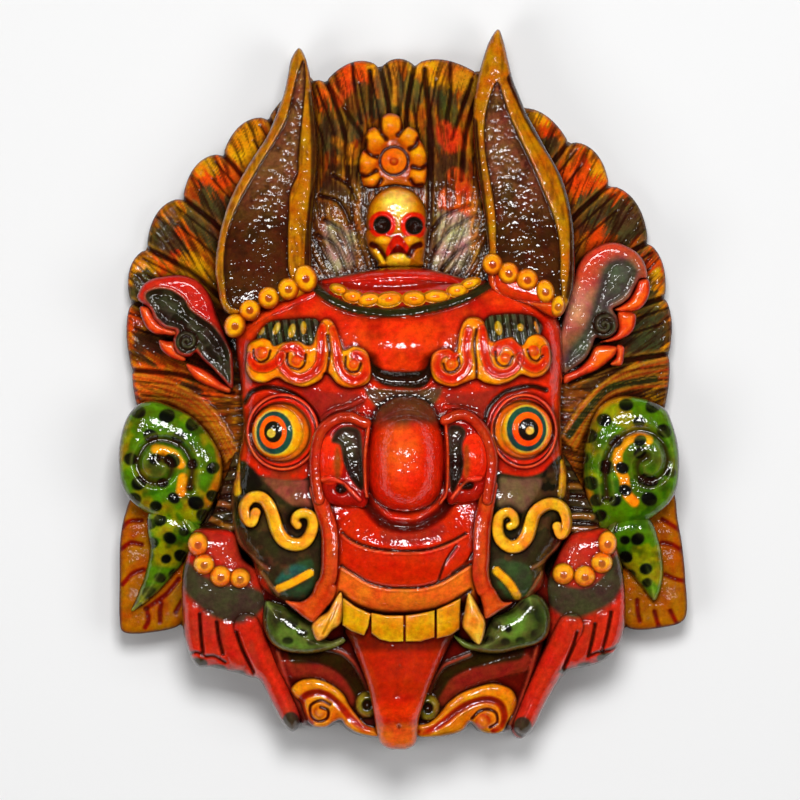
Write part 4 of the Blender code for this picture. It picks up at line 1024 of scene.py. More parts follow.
SKULL = (-3.3, 102, 18.6, 19.6)
SKULL_JAW = [
    (-21.4, 96), (-20.4, 84), (-15, 76), (-12.6, 72.6), (10.8, 72.6), (13.8, 79), (15, 90), (14.6, 98),
    (0, 104),
]
ROSETTE = (-4.8, 136.8)
ROSETTE_EDGE = [
    (-6.6, 165.6), (-1.8, 163.8), (0.6, 159.6), (1, 155.6), (4.2, 157.6), (9, 154.8), (10.8, 149.4),
    (13.2, 145.8), (15, 139.8), (15, 133.2), (15, 126.6), (12.6, 121.2), (4.8, 121.2), (-4.2, 122.4),
    (-12, 121.2), (-19.2, 119.6), (-23.4, 121.8), (-24.6, 126.6), (-25.8, 131.4), (-25.8, 137.4),
    (-24, 142.2), (-21.6, 145.2), (-22.2, 150.6), (-20.4, 155.4), (-16.8, 157.2), (-13.8, 156),
    (-13.2, 160.8), (-10.8, 164.4),
]
ROSETTE_PETALS = [
    (-6.6, 157.8, 7), (-16.2, 148.8, 6.4), (4.2, 151.2, 6.2), (10.2, 139.8, 5.8), (-21, 135.6, 6),
    (-18, 125.4, 5), (9.6, 127.2, 5.2),
]
PETAL_LINES = [
    [(-13.2, 161.4), (-12.6, 154.2), (-9.6, 150)],
    [(0.6, 162.6), (0, 155.4), (-2.4, 152.4)],
    [(-21.6, 149.4), (-21.6, 143.4), (-18, 139.8), (-13.8, 139.2)],
    [(9.6, 150), (7.8, 145.8), (4.8, 144)],
    [(6.6, 133.2), (10.8, 132), (15, 134.4)],
    [(-25.2, 128.4), (-21, 127.8), (-15.6, 130.8)],
    [(-21.6, 120.6), (-16.2, 120.6), (-12.6, 125.4)],
    [(5.4, 125.4), (7.8, 122.4), (12, 122.4)],
]


def skull(material):
    """The skull between the horns."""
    x, y, rx, ry = SKULL
    slab = Slab("skull", [oval(x, y, rx, ry), ring(SKULL_JAW)], foot=FOOT)
    slab.form(SKULL_TOP, drop=14.0, rounding=13.0)
    slab.coat(colour(168, 104, 4))
    slab.dot(x - 0.4, y + 5.0, 14.0, 12.0, colour(206, 152, 14), soft=2.0)
    # A pale painted highlight high on the dome
    slab.dot(x + 0.6, y + 9.0, 8.0, 7.0, colour(232, 210, 112), soft=4.0)
    for sx, sy in ((-11.9, 98.4), (7.3, 97.9)):
        slab.swell(sx, sy, 9.4, 9.4, 2.6)
        slab.swell(sx, sy, 6.4, 6.4, -9.0)
        slab.dot(sx, sy, 8.4, 8.2, colour(206, 30, 8), soft=0.6)
        slab.dot(sx, sy - 0.2, 5.6, 5.6, BLACK, soft=0.6)
    for sx in (-11, 5.4):
        slab.swell(sx, 89.0, 5.4, 3.4, 2.0)
        slab.dot(sx, 89.0, 5.0, 2.4, colour(226, 160, 22), soft=0.8)
    nose_hole = [(-3, 92.6), (-8.4, 86), (-9.6, 79.2), (-2.4, 82), (4.8, 79.8), (3.6, 86)]
    slab.fill(ring(nose_hole), colour(196, 26, 8))
    slab.swell(-2.6, 86.0, 5.0, 6.0, 3.4)
    slab.fill(ring([(-2.4, 86.4), (-8, 79.4), (-2.4, 81.4), (4, 80)]), colour(90, 4, 4))
    for curl in (
        [(-18, 86.4), (-15.6, 85.2), (-12.6, 82.2), (-10.2, 77.4)],
        [(10.8, 86.4), (8.4, 85.6), (6, 83.4), (4.2, 79.8)],
    ):
        slab.groove(spline(curl), 3.0, 2.4, 1.9, colour(74, 8, 4), soft=0.6)
    slab.swell(-2.4, 76.0, 8.0, 6.0, 3.0)
    slab.dot(-2.4, 76.4, 7.4, 4.4, colour(238, 192, 40), soft=0.8)
    slab.stroke(spline([(-16, 82.6), (-13, 79), (-10.8, 75.6)]), 1.2, colour(230, 176, 30))
    for side in (-1, 1):
        slab.coat(colour(120, 62, 10), ramp((side * (slab.x - x) - 15.0) / 4.0) * 0.7)
    slab.wash_wear_shade_and_highlight(deep=1.4, wash_and_shade=0.55, wear=0.15)
    slab.build(material)


def rosette(material):
    """The flower over the skull: seven round petals and a ringed middle."""
    slab = Slab("rosette", [ring(ROSETTE_EDGE, 5)], foot=FOOT)
    slab.form(ROSETTE_TOP, drop=3.0, rounding=3.0)
    slab.coat(colour(168, 66, 2))
    for x, y, radius in ROSETTE_PETALS:
        slab.swell(x, y, radius + 1.6, radius + 1.6, 3.6)
        slab.dot(x, y + 1.6, radius * 0.8, radius * 0.7, colour(226, 146, 8), soft=1.6)
        slab.dot(x, y - 2.0, radius * 0.6, radius * 0.5, colour(196, 92, 4), soft=1.6)
    for line in PETAL_LINES:
        slab.groove(spline(line), 2.4, 2.6, 0.8, colour(76, 4, 4), soft=0.6)
    x, y = ROSETTE
    slab.dot(x, y, 9.6, 9.6, colour(84, 8, 4), soft=0.5)
    r = np.hypot(slab.x - x, slab.y - y)
    slab.z = np.where(r < 9.6, ROSETTE_TOP + 1.0 - 1.8 * bump(np.abs(r - 8.6), 1.6), slab.z)
    slab.dot(x, y, 7.6, 7.6, colour(214, 104, 10), soft=0.5)
    slab.ball(x, y, 7.6, 7.6, ROSETTE_TOP, ROSETTE_TOP + 3.4)
    slab.swell(x, y, 3.2, 3.2, 1.2)
    slab.dot(x, y - 0.4, 2.7, 2.5, colour(150, 8, 6))
    slab.wash_wear_shade_and_highlight(deep=1.2, wash_and_shade=0.6, wear=0.25, wear_and_highlight_paint=colour(246, 176, 40))
    slab.build(material)


def face_top(x, y):
    """The head with its soft swells: forehead, cheeks and muzzle."""
    z = head_form(x, y)
    for mx, my, rx, ry, rise in (
        (-1, 26, 30, 26, 7), (-64, -66, 26, 18, 5), (66, -66, 26, 18, 5), (-1.2, -100, 62, 46, 12),
    ):
        z = z + rise * bump(share_out(x, y, mx, my, rx, ry), 1.0)
    for mx, my, rx, ry in (LEFT_EYE, RIGHT_EYE):
        z = z - 6.0 * bump(share_out(x, y, mx, my, rx + 14.0, ry + 14.0), 1.0)
    return z


def on_face(rise):
    """A height that follows the face."""
    return lambda x, y: face_top(x, y) + rise


LEFT_EYE = (-72.6, -26, 17.6, 17.6)
RIGHT_EYE = (72.6, -24.4, 17.6, 17.4)
LEFT_LID = (-71.4, -25.8, 22.2, 23.4)
RIGHT_LID = (73, -25.2, 20.4, 22.8)

LEFT_BROW = [
    (-93, 23.4), (-91.2, 27.6), (-84, 30.6), (-79, 29), (-76.2, 26), (-70.2, 28.2), (-62.4, 28.8),
    (-57, 26.4), (-53.4, 27.6), (-51, 35.4), (-47.4, 41.4), (-42.6, 41.4), (-39, 36), (-36, 26.4),
    (-34.2, 23.4), (-28.2, 25.8), (-21, 22.2), (-18.6, 14.4), (-18.6, 6.6), (-22.2, 2.4), (-31.2, 0.6),
    (-38.4, 3), (-43, 8.4), (-46.2, 9.6), (-48.6, 5.4), (-58.2, 1.2), (-68.4, 3.6), (-74.4, 6.6),
    (-82.2, 3.6), (-90, 5.4), (-93.6, 12),
]
RIGHT_BROW = [
    (17.4, 18.6), (20.4, 22.8), (27.6, 24.6), (32.4, 22.8), (34.2, 34.2), (37.8, 41.4), (43.2, 43.2),
    (48.6, 40.8), (51, 34.8), (53.4, 28.8), (59.4, 30), (66, 31.2), (71.4, 26.4), (75.6, 31.2), (81.6, 33),
    (87, 28.8), (89.4, 21), (88.8, 13.8), (84.6, 8.4), (78, 6.6), (71.4, 8.4), (65.4, 4.8), (57.6, 2.4),
    (49.8, 3.6), (44.4, 6), (37.2, 3.6), (30, 1.2), (20.4, 4.2), (17.1, 10.8),
]
LEFT_COMB = [
    (-87, 28.8), (-84, 36), (-78, 40.8), (-66.6, 42), (-50.4, 41.4), (-52, 28), (-60, 25), (-75, 22),
]
RIGHT_COMB = [
    (50.4, 42.6), (60, 45), (72, 45), (80.4, 42.6), (84, 35), (74.4, 24), (55.8, 25), (50, 32),
]

NOSE = [
    (-18.8, -62), (-20.4, -48), (-19.6, -28), (-17, -14), (-9, -6), (2, -3.6), (14, -6), (21.4, -14),
    (24.6, -27), (25.6, -42), (24, -59), (18.6, -67.6), (10, -72), (0, -73), (-11, -70),
]
LEFT_WING = [
    (-21.6, -20.4), (-25.2, -19.2), (-31.2, -16.8), (-39, -18), (-46.2, -22.8), (-50.4, -30.6),
    (-52, -42.6), (-51.6, -54.6), (-49.6, -66),
]
RIGHT_WING = [
    (25.8, -18.6), (34.8, -15.4), (42, -18), (48, -24.6), (52.2, -33.6), (54, -44), (52.8, -55), (51, -66),
]
LEFT_FOLD = [
    (-50.4, -60), (-47, -72), (-43.6, -84), (-43.2, -98), (-43.8, -111), (-47.4, -120), (-54, -129),
    (-57, -135),
]
RIGHT_FOLD = [
    (52.2, -58), (50, -70), (48, -84), (47.6, -98), (47, -111), (49.8, -121), (53.4, -130), (54.6, -134),
]
NOSE_STRIPS = (
    [(-20, -22), (-22, -40), (-21.8, -58), (-21, -64)],
    [(26, -20), (27.2, -36), (26.8, -60), (23, -68)],
)
UNDER_NOSE = [
    (-24, -64), (-18.6, -72), (-10.8, -79.8), (-1.2, -82.4), (10.8, -81.6), (22.8, -74.4), (28.8, -66.6),
]
UPPER_LIP = [
    (-35.4, -85.8), (-31.2, -89.4), (-22.2, -93.6), (-10.2, -96), (4.8, -96.6), (16.8, -95.4),
    (28.8, -91.2), (37.8, -86.4),
]
LIP_RIDGE = [
    (-36, -105.6), (-28.2, -110.4), (-20.4, -115.2), (-10.2, -118.2), (1.2, -118.8), (12, -118.2),
    (24, -114.6), (40.8, -104.4),
]

LEFT_SCROLL = [
    (-87.5, -73.9), (-90.1, -79.7), (-93.7, -76.7), (-94.4, -70.2), (-90.1, -65), (-84.2, -65),
    (-79.8, -69.5), (-77.3, -76), (-74.7, -84.1), (-71, -89.9), (-65.2, -92.8), (-59.4, -92.1),
    (-55.3, -87.7), (-53.2, -81.1), (-54.6, -76), (-58.6, -74.2), (-62.6, -75.7), (-64, -79),
    (-62.4, -81.4),
]
RIGHT_SCROLL = [
    (92.9, -82.4), (95.1, -87), (98, -83.9), (98.6, -77.3), (95.6, -70.9), (89.3, -68.6), (83.4, -70.7),
    (79, -75.1), (76.8, -81.7), (74.6, -88.3), (70.3, -93.2), (64.4, -94.1), (58.9, -89.8), (57.1, -83.2),
    (58.2, -76.6), (62.9, -73.7), (66.6, -75.9), (67.3, -80.3), (64.6, -82),
]
TEETH = [
    [
        (-35.4, -124.8), (-28.2, -130.2), (-19.2, -134.4), (-20.4, -141.6), (-22.8, -147), (-30, -144.6),
        (-35.4, -141),
    ],
    [
        (-18, -134), (-10.2, -135.6), (0.6, -135.6), (0.6, -150.6), (-7.2, -150.8), (-13.2, -149.4),
        (-18, -145.8),
    ],
    [(2.4, -135.6), (10.8, -134.4), (19.2, -132.6), (19.2, -148.2), (10.8, -150.6), (2.4, -150.6)],
    [(21, -132), (27.6, -129), (34.8, -125.4), (34.2, -143.4), (28.8, -147), (21, -148.8)],
]
LEFT_FANG = [
    (-36.6, -121.2), (-40.8, -126.6), (-44.4, -132.6), (-50.4, -136.8), (-54, -141), (-53.4, -145.8),
    (-50.4, -150.6), (-45.6, -148.8), (-41.4, -144), (-36.6, -139.8), (-35.4, -126.6),
]
RIGHT_FANG = [
    (39.6, -121.8), (43.8, -126.6), (46.8, -132.6), (49.8, -138.6), (49.2, -146.4), (46.8, -152.4),
    (43.8, -151.8), (39.6, -147), (36, -141.6), (37.2, -132.6),
]
BEADS = [
    (-100, 37.8, 5.6, 6.6, -0.3), (-91.1, 47.4, 5.7, 5.9, 0), (-79.9, 54.5, 5.9, 5.9, 0),
    (-68, 59.8, 5.7, 5.9, 0), (-57.6, 66, 6.2, 7.6, 0.3), (54, 74.6, 5.4, 5.8, 0),
    (63.8, 69.2, 5.5, 5.9, 0), (74.9, 65.3, 5.9, 6, 0), (85.7, 58.2, 4.9, 6.6, 0.2),
    (93.2, 49.4, 3.6, 5.8, -0.2),
]
GARLAND = [
    (-37.8, 59.4, 4.6, 2.6, -0.35), (-29.4, 55.2, 5.4, 3.4, -0.1), (-19.8, 53.4, 6.2, 3.6, 0.15),
    (-7.8, 53.4, 7.2, 4.2, 0.12), (7.2, 54, 6.2, 4.2, 0), (20.4, 55.2, 7, 3.4, 0),
    (33, 58.8, 5.6, 3.4, 0.1), (40.8, 63, 5.6, 2.8, 0.35),
]
HEAD_BAND = [
    (-51, 60), (-44.4, 54.6), (-36, 50.4), (-26.4, 47.4), (-13.2, 45.8), (1.2, 46), (14.4, 47.8),
    (27.6, 50.8), (39.6, 55.2), (48, 60), (53.4, 63),
]


def face(material):
    """The head: forehead, eye hollows, cheeks and the three bands of the upper lip."""
    slab = Slab("face", [ring(HEAD)], foot=over_back)
    slab.form(face_top, drop=14.0, rounding=12.0)
    x, y = slab.x, slab.y
    slab.coat(RED)
    slab.haze(-1.0, 28.0, 50.0, 28.0, colour(226, 66, 16), 0.8)
    worn = ramp((cloud(x / 21.0, y / 13.0, 23) - 0.44) * 4.0)
    slab.coat(colour(214, 72, 22), worn * ramp(y / 20.0) * 0.5)
    slab.blotch(DEEP_RED, 16.0, 16.0, 21, 0.46, 4.0, 0.4)
    paint_head_top(slab)
    paint_sockets(slab)
    paint_cheeks(slab)
    lips(slab)
    # Painted shade round the forms that stand on the face: brows, combs, nose, fangs, teeth, lids, scrolls,
    # wings, folds and beads
    for loop in (LEFT_BROW, RIGHT_BROW, LEFT_COMB, RIGHT_COMB, NOSE, LEFT_FANG, RIGHT_FANG, *TEETH):
        slab.shade(ring(loop, 4), 3.2, 0.85)
    for ex, ey, rx, ry in (LEFT_LID, RIGHT_LID):
        slab.shade(oval(ex, ey, rx, ry), 3.4, 0.8)
    for lines, half in (
        ((LEFT_SCROLL, RIGHT_SCROLL), 4.0),
        ((LEFT_WING, RIGHT_WING), 3.4),
        ((LEFT_FOLD, RIGHT_FOLD), 5.2),
    ):
        for line in lines:
            window, d, _, _ = slab.measure(spline(line), half + 4.0)
            near = np.clip(1.0 - (d - half) / 3.4, 0.0, 1.0) ** 1.4
            slab.rgb[window] *= (1.0 - 0.85 * near)[..., None]
    for bx, by, rx, ry, turn in BEADS:
        slab.shade(oval(bx, by, rx, ry, turn), 3.0, 0.8)
    slab.wash_wear_shade_and_highlight(deep=1.2, wash_and_shade=0.7, wear=0.25)
    slab.build(material)


def paint_head_top(slab):
    """The red ridge over the garland, and the dark band under it."""
    band = spline(HEAD_BAND)
    above = np.vstack([band, spline([(52, 70), (20, 80), (-20, 80), (-52, 68)])])
    slab.fill(above, colour(176, 26, 12))
    slab.cut(spline([(-48, 63), (-30, 61), (-1, 61), (30, 64), (50, 68)]), 5.0, 2.6)
    slab.cord(spline([(-46, 68), (-20, 70), (0, 71), (24, 69), (46, 66)]), 5.0, 2.0)
    slab.ridge(band, 3.0, 2.2, 2.7, colour(34, 34, 18))
    slab.cord(spline([(-94, 37), (-82, 44.5), (-69, 50), (-54, 57)]), 1.8, 1.2)
    slab.cord(spline([(54, 63.6), (66, 60), (78, 54.5), (88, 46)]), 1.8, 1.2)
    slab.stroke(spline([(-97, 41.5), (-88, 52.5), (-74, 60), (-60, 69)]), 3.2, OCHRE, soft=1.0)
    slab.stroke(spline([(50, 70), (64, 63.6), (80, 58.5), (92, 47)]), 3.2, OCHRE, soft=1.0)


def paint_sockets(slab):
    """The black groove between the brows, the hollows over the eyes and the folds round them."""
    crescent = [
        (-19.2, 17.4), (-18, 9), (-12, 2.4), (-1.2, 0.6), (11.4, 0.6), (17.4, 6.6), (16.8, 18), (13, 12),
        (4, 10.6), (-8, 11), (-15, 14),
    ]
    slab.cut(spline([(-18.6, 16), (-14, 7.6), (-2, 5.4), (11, 6.2), (16.8, 16)]), 7.0, 5.0)
    slab.fill(ring(crescent), colour(26, 24, 16), soft=0.9)
    root = [(-22, 0), (-14, -12), (0, -15), (16, -12), (24, 0), (10, 0), (-6, 0)]
    slab.fill(ring(root), colour(84, 58, 44), soft=1.5)
    slab.cord(spline([(-13, 0.2), (0, -1), (12, 0), (19, 5)]), 1.0, 0.9)
    for fold in (
        [
            (-94, -8), (-90, -2), (-81.6, 1), (-72, -0.4), (-64.2, -3.6), (-57.6, -8.9), (-51.6, -16.8),
            (-49.8, -23.3),
        ],
        [(49.2, -20), (52.2, -11), (60, -3), (69, 0.4), (78, 1.6), (86, -0.6)],
    ):
        slab.groove(spline(fold), 2.8, 3.6, 1.5, colour(40, 20, 14), soft=0.8)
    for points in (
        [(-60, 0), (-44, -2), (-30, -2), (-22, -6), (-26, -12), (-38, -14), (-48, -20), (-54, -10)],
        [(26, -3), (44, -2), (58, 0), (52, -8), (48, -17), (42, -14), (30, -11)],
    ):
        slab.fill(ring(points), colour(142, 34, 28), soft=1.8)
    slab.cord(spline([(-49.2, -20), (-42, -13.6), (-33, -10.8), (-24, -6.6)]), 1.5, 1.5)
    slab.cord(spline([(25.8, -10.8), (36, -11.6), (45, -14.6), (51, -20.4)]), 1.5, 1.5)


def paint_cheeks(slab):
    """Dark cheeks behind the scrolls, with a leaf and a banded patch on each."""
    dark = (
        [
            (-99.6, -46), (-94, -43), (-88, -50), (-76, -54), (-60, -54), (-52, -50), (-48.6, -66),
            (-47.4, -90), (-48, -112), (-56, -128), (-76, -124), (-82, -112), (-90, -104), (-99, -92),
            (-102, -70),
        ],
        [
            (99.6, -42), (94, -40), (88, -47), (76, -52), (60, -50), (55, -47), (54, -66), (52, -90),
            (51.6, -112), (58, -126), (74, -124), (82, -112), (92, -102), (99.6, -88), (101, -66),
        ],
    )
    for loop in dark:
        slab.fill(ring(loop), colour(46, 42, 30), soft=0.9)
    for loop, paint in (
        ([(-97, -44), (-88, -48), (-84, -58), (-92, -60), (-98, -64), (-99, -54)], BLACK),
        ([(97, -40), (87, -46), (82, -58), (86, -64), (94, -66), (99, -52)], BLACK),
        # Pinkish and grey patches high on the cheeks: painted sheen on the black lacquer
        ([(-82, -54), (-66, -55), (-53, -56), (-52, -70), (-62, -70), (-70, -66)], colour(140, 78, 72)),
        ([(57, -54), (70, -54), (83, -54), (80, -64), (70, -74), (58, -70)], colour(104, 82, 76)),
        (
            [
                (-76.8, -117), (-70, -107), (-60, -103), (-53.4, -103), (-53.4, -118), (-60, -125),
                (-74, -122),
            ],
            colour(40, 66, 52),
        ),
        ([(55, -103), (68, -103), (77, -108), (76, -122), (66, -126), (58, -118)], colour(50, 72, 50)),
    ):
        slab.fill(ring(loop), paint, soft=1.2)
    slab.fill(ring([(-75, -115), (-66, -106), (-56, -107), (-66, -114)]), TEAL * 1.6, soft=1.6)
    for line in ([(-74, -119.6), (-66, -116), (-55, -110)], [(56.4, -108.6), (64, -116), (69, -124)]):
        slab.ridge(spline(line), 2.6, 1.2, 2.3, YELLOW)
    for line in (
        [(-99, -41), (-99.4, -52), (-98.6, -62)],
        [(96.8, -44), (96.4, -54), (95.4, -63)],
    ):
        slab.ridge(spline(line), 2.4, 1.6, 2.0, colour(214, 164, 30))
    for line in (
        [(-99, -50), (-102, -62), (-101, -80), (-96, -94), (-88, -102), (-80, -108)],
        [(99.6, -46), (101, -62), (100, -78), (96, -90), (86, -102), (78, -107)],
        [(-84, -110), (-79, -117), (-74, -123)],
        [(84, -110), (80, -117), (75, -124)],
    ):
        slab.ridge(spline(line), 1.5, 1.6, 1.0, colour(112, 74, 52), soft=0.7)
    mottling = ramp((cloud(slab.x / 9.0, slab.y / 9.0, 28) - 0.56) * 7.0)
    behind_scrolls = (np.abs(slab.x) > 54) * ramp((-44 - slab.y) / 8.0)
    slab.coat(colour(88, 62, 44), mottling * behind_scrolls * 0.5)


def lips(slab):
    """The upper lip's three bands, from the dark one under the nose to the orange one over the teeth."""
    area = [
        (-39, -66), (-20, -64), (26, -62), (42, -64), (44, -112), (41, -130), (20, -138), (-20, -138),
        (-39, -130), (-40, -112),
    ]
    slab.fill(ring(area, 4), colour(188, 36, 4), soft=1.0)
    slab.groove(spline(UNDER_NOSE), 5.0, 4.6, 4.0, colour(112, 10, 8), soft=1.6)
    # Painted shade under the nose, between it and the upper lip
    shade_under_nose = [(-12, -84), (0, -86), (14, -84), (24, -80), (26, -86), (16, -91), (0, -93), (-12, -91)]
    slab.fill(ring(shade_under_nose), colour(136, 34, 26), soft=2.0, strength=0.8)
    below = np.vstack([spline(LIP_RIDGE), [(44, -128), (20, -140), (-20, -140), (-40, -128)]])
    slab.fill(below, colour(222, 108, 34), soft=0.6)
    for line in (UPPER_LIP, LIP_RIDGE):
        curve = spline(line)
        slab.groove(curve, 1.9, 2.4, 0.6, colour(70, 10, 8), soft=0.5)
        slab.cord(curve - np.array([0.0, 1.5]), 1.2, 0.6)
        # A thin pink line on the cord under each lip line: a painted highlight
        slab.stroke(curve - np.array([0.0, 1.4]), 0.3, colour(240, 130, 100), soft=0.4, strength=0.6)
    gums = spline([
        (-37, -122), (-28.2, -128.4), (-16, -133), (-1.2, -134.2), (16.8, -132.4), (28.8, -127.8), (41, -120),
    ])
    slab.groove(gums, 2.0, 2.0, 0.9, colour(90, 26, 10), soft=0.6)
    slab.fill(np.vstack([gums, [(44, -138), (0, -150), (-42, -138)]]), colour(84, 20, 10), soft=0.6)
    for points in ([(21.6, -114.6), (26, -103), (32.4, -93.6)], [(30, -110), (38, -104), (42, -98)]):
        slab.cut(spline(points), 1.5, 1.2, wash_and_shade=0.7)


# Each eye: its lid, its ball, and the rings of its iris from the outside in
EYES = (
    ("eye_left", LEFT_LID, LEFT_EYE, (
        (-76.2, -26.2, 11, 12.9), (-77, -25.8, 8.1, 9.8), (-77, -25.6, 5.5, 6.5), (-78.1, -26.4, 2.5, 2.6),
    )),
    ("eye_right", RIGHT_LID, RIGHT_EYE, (
        (74.4, -23.9, 12, 13.5), (75, -24, 9.1, 10.2), (75.5, -24.2, 6.2, 6.8), (76.4, -24.8, 2.4, 2.4),
    )),
)
IRIS_PAINTS = (TEAL, colour(246, 92, 14), colour(24, 22, 18), colour(208, 196, 80))


def eyes(material):
    """A bulging eye in ringed lids, painted in rings round a pale dot."""
    for name, lid, (ex, ey, rx, ry), iris in EYES:
        slab = Slab(name, [oval(*lid, count=72)], foot=under_face)
        slab.form(on_face(LID_RISE), drop=3.6, rounding=4.0)
        x, y = slab.x, slab.y
        r = share_out(x, y, ex, ey, rx, ry)
        low = float(face_top(np.array(ex), np.array(ey))) + 0.5
        slab.coat(RED)
        slab.z -= 1.3 * bump(np.abs(slab.edge - 2.4), 0.9)
        slab.coat(DEEP_RED * 0.6, line_mask(np.abs(slab.edge - 2.4), 0.6))
        # A thin pink line round the lid's rim: a painted highlight
        slab.coat(colour(232, 110, 80), line_mask(np.abs(slab.edge - 1.3), 0.35) * 0.7)
        slab.z = np.where(r < 1.06, slab.z - 3.0 * ramp((1.06 - r) / 0.08), slab.z)
        slab.coat(colour(110, 14, 8), ramp((1.1 - r) * 14.0))
        slab.ball(ex, ey, rx, ry, low - 3.0, low + EYEBALL_RISE)
        slab.coat(colour(238, 120, 18), ramp((0.99 - r) * 22.0))
        bright = ramp((0.86 - r) * 7.0) * ramp(0.5 - np.sign(ex) * (x - ex) / rx * 0.9 + 0.3)
        slab.coat(colour(244, 178, 20), bright)
        cx, cy, hx, hy = iris[0]
        slab.dot(cx, cy, hx + 0.9, hy + 0.9, colour(216, 196, 70), soft=0.5)
        for (cx, cy, hx, hy), paint in zip(iris, IRIS_PAINTS):
            slab.dot(cx, cy, hx, hy, paint, soft=0.3)
        slab.coat(colour(90, 12, 8), ramp((r - 0.9) * 9.0) * ramp((1.08 - r) * 12.0) * 0.6)
        slab.wash_wear_shade_and_highlight(deep=1.4, wash_and_shade=0.45, wear=0.1)
        slab.build(material)


# A brow's parts: red ribbons, dark crescents, round ends and the slot between its legs
LEFT_BROW_PARTS = {
    "ribbons": (
        [
            (-48, 36.6), (-48, 23.4), (-49.2, 15), (-54, 9), (-61.2, 6), (-67.8, 9), (-72, 15.6),
            (-71.4, 21.6), (-67.2, 25.2), (-62.4, 24), (-60, 19.8),
        ],
        [(-91.2, 19.2), (-87.6, 13.8), (-81.6, 12.6), (-75.6, 15.6), (-72, 19.8)],
        [
            (-40.8, 35.4), (-39, 24.6), (-37.8, 15), (-34.2, 7.8), (-28.2, 4.8), (-22.8, 7.2), (-21, 13.2),
            (-22.8, 18.6), (-27.6, 20.4),
        ],
    ),
    "crescents": (
        [(-68.4, 21), (-68.4, 15.6), (-65.4, 12.6), (-61.2, 12), (-58.2, 15), (-57.6, 20.4)],
        [(-88.8, 23.4), (-88.2, 18.6), (-84.6, 16.2), (-80.4, 18), (-78.6, 22.8)],
        [(-33.6, 19.2), (-33.6, 13.2), (-30.6, 10.2), (-26.4, 10.8), (-24.6, 15)],
    ),
    "ends": ((-84, 21.6, 3.9), (-63, 16.8, 3), (-28.8, 15, 2.8)),
    "slot": [(-44.4, 31.8), (-43.2, 22.2), (-44.4, 12.6), (-45.6, 4.8)],
}
RIGHT_BROW_PARTS = {
    "ribbons": (
        [
            (39.6, 34.2), (38.4, 24.6), (39.6, 16.2), (36.6, 9.6), (30.6, 6), (24, 7.8), (20.4, 13.2),
            (21.6, 19.2), (26.4, 22.2), (31.2, 19.8),
        ],
        [
            (48, 35.4), (48.6, 26.4), (49.8, 18.6), (52.8, 12), (58.8, 9), (65.4, 10.8), (69.6, 16.2),
            (69, 23.4), (64.2, 27.6), (58.8, 27), (55.8, 22.2),
        ],
        [(70.8, 18.6), (75.6, 13.8), (81, 12.6), (85.2, 16.8), (85.8, 23.4)],
    ),
    "crescents": (
        [(24.6, 15), (26.4, 10.8), (30.6, 10.2), (34.2, 13.8), (33.6, 18.6)],
        [(55.8, 22.2), (56.4, 16.8), (59.4, 13.8), (63.6, 14.4), (66, 19.2)],
        [(75, 23.4), (76.8, 18.6), (80.4, 16.8), (84, 19.8)],
    ),
    "ends": ((78.6, 22.8, 3.4), (61.8, 18.6, 3), (29.4, 15, 3)),
    "slot": [(44.4, 35.4), (43.2, 26.4), (44.4, 14.4), (44.4, 1.8)],
}


def combs(material):
    """The dark hatched comb behind each brow, with a few yellow studs."""
    for name, comb, studs in (
        ("comb_left", LEFT_COMB, (
            (-84, 34.6, 1.4, 2.6, -0.5), (-75, 36.2, 1.7, 3.8, -0.4), (-65.8, 34.8, 2, 4.2, -0.2),
            (-58.8, 36.6, 1.6, 3.8, 0),
        )),
        ("comb_right", RIGHT_COMB, (
            (57.6, 36.4, 2.1, 4.2, 0.2), (70.8, 36.8, 1.7, 2.2, 0.3), (80.4, 37, 0.9, 3.6, 0.3),
        )),
    ):
        slab = Slab(name, [ring(comb)], foot=under_face)
        slab.form(on_face(COMB_RISE), drop=2.4, rounding=3.0)
        slab.coat(colour(30, 36, 22))
        slab.blotch(colour(14, 16, 14), 3.0, 9.0, 62, 0.48, 7.0, 0.8)
        for cx in np.arange(comb[0][0], comb[0][0] + 36.0, 4.6):
            slab.cut(spline([(cx, 46.0), (cx + 1.6, 36.0), (cx + 3.6, 24.0)]), 1.5, 1.3)
        for sx, sy, rx, ry, turn in studs:
            slab.swell(sx, sy, rx + 1.4, ry + 1.4, 1.4, turn)
            slab.dot(sx, sy, rx, ry, colour(206, 160, 24), turn=turn)
        slab.wash_wear_shade_and_highlight(deep=1.0, wash_and_shade=0.4, wear=0.3, wear_and_highlight_paint=colour(120, 130, 120))
        slab.build(material)


def brows(material):
    """Flame brows: yellow, with red ribbons that curl in."""
    for name, brow, parts in (
        ("brow_left", LEFT_BROW, LEFT_BROW_PARTS),
        ("brow_right", RIGHT_BROW, RIGHT_BROW_PARTS),
    ):
        slab = Slab(name, [ring(brow)], foot=under_face)
        slab.form(on_face(BROW_RISE), drop=3.6, rounding=3.4)
        slab.coat(colour(226, 126, 2))
        slab.blotch(colour(238, 166, 6), 6.0, 6.0, 63, 0.42, 5.0, 0.7)
        for line in parts["ribbons"]:
            curve = spline(line)
            slab.groove(curve, 3.9, 1.8, 3.4, colour(140, 62, 6), soft=0.6, strength=0.8)
            slab.ridge(curve, 2.9, 1.4, 2.7, colour(200, 36, 2), soft=0.5)
        for line in parts["crescents"]:
            slab.groove(spline(line), 1.4, 1.4, 0.6, colour(112, 30, 4), soft=0.6)
        for cx, cy, radius in parts["ends"]:
            slab.swell(cx, cy, radius + 0.8, radius + 0.8, 2.0)
            slab.dot(cx, cy, radius, radius, colour(206, 40, 6), soft=0.7)
        slab.groove(spline(parts["slot"]), 1.6, 2.0, 0.7, colour(128, 52, 4), soft=0.7)
        slab.wash_wear_shade_and_highlight(deep=1.0, wash_and_shade=0.6, wear=0.15, wear_and_highlight_paint=colour(250, 196, 70))
        slab.build(material)


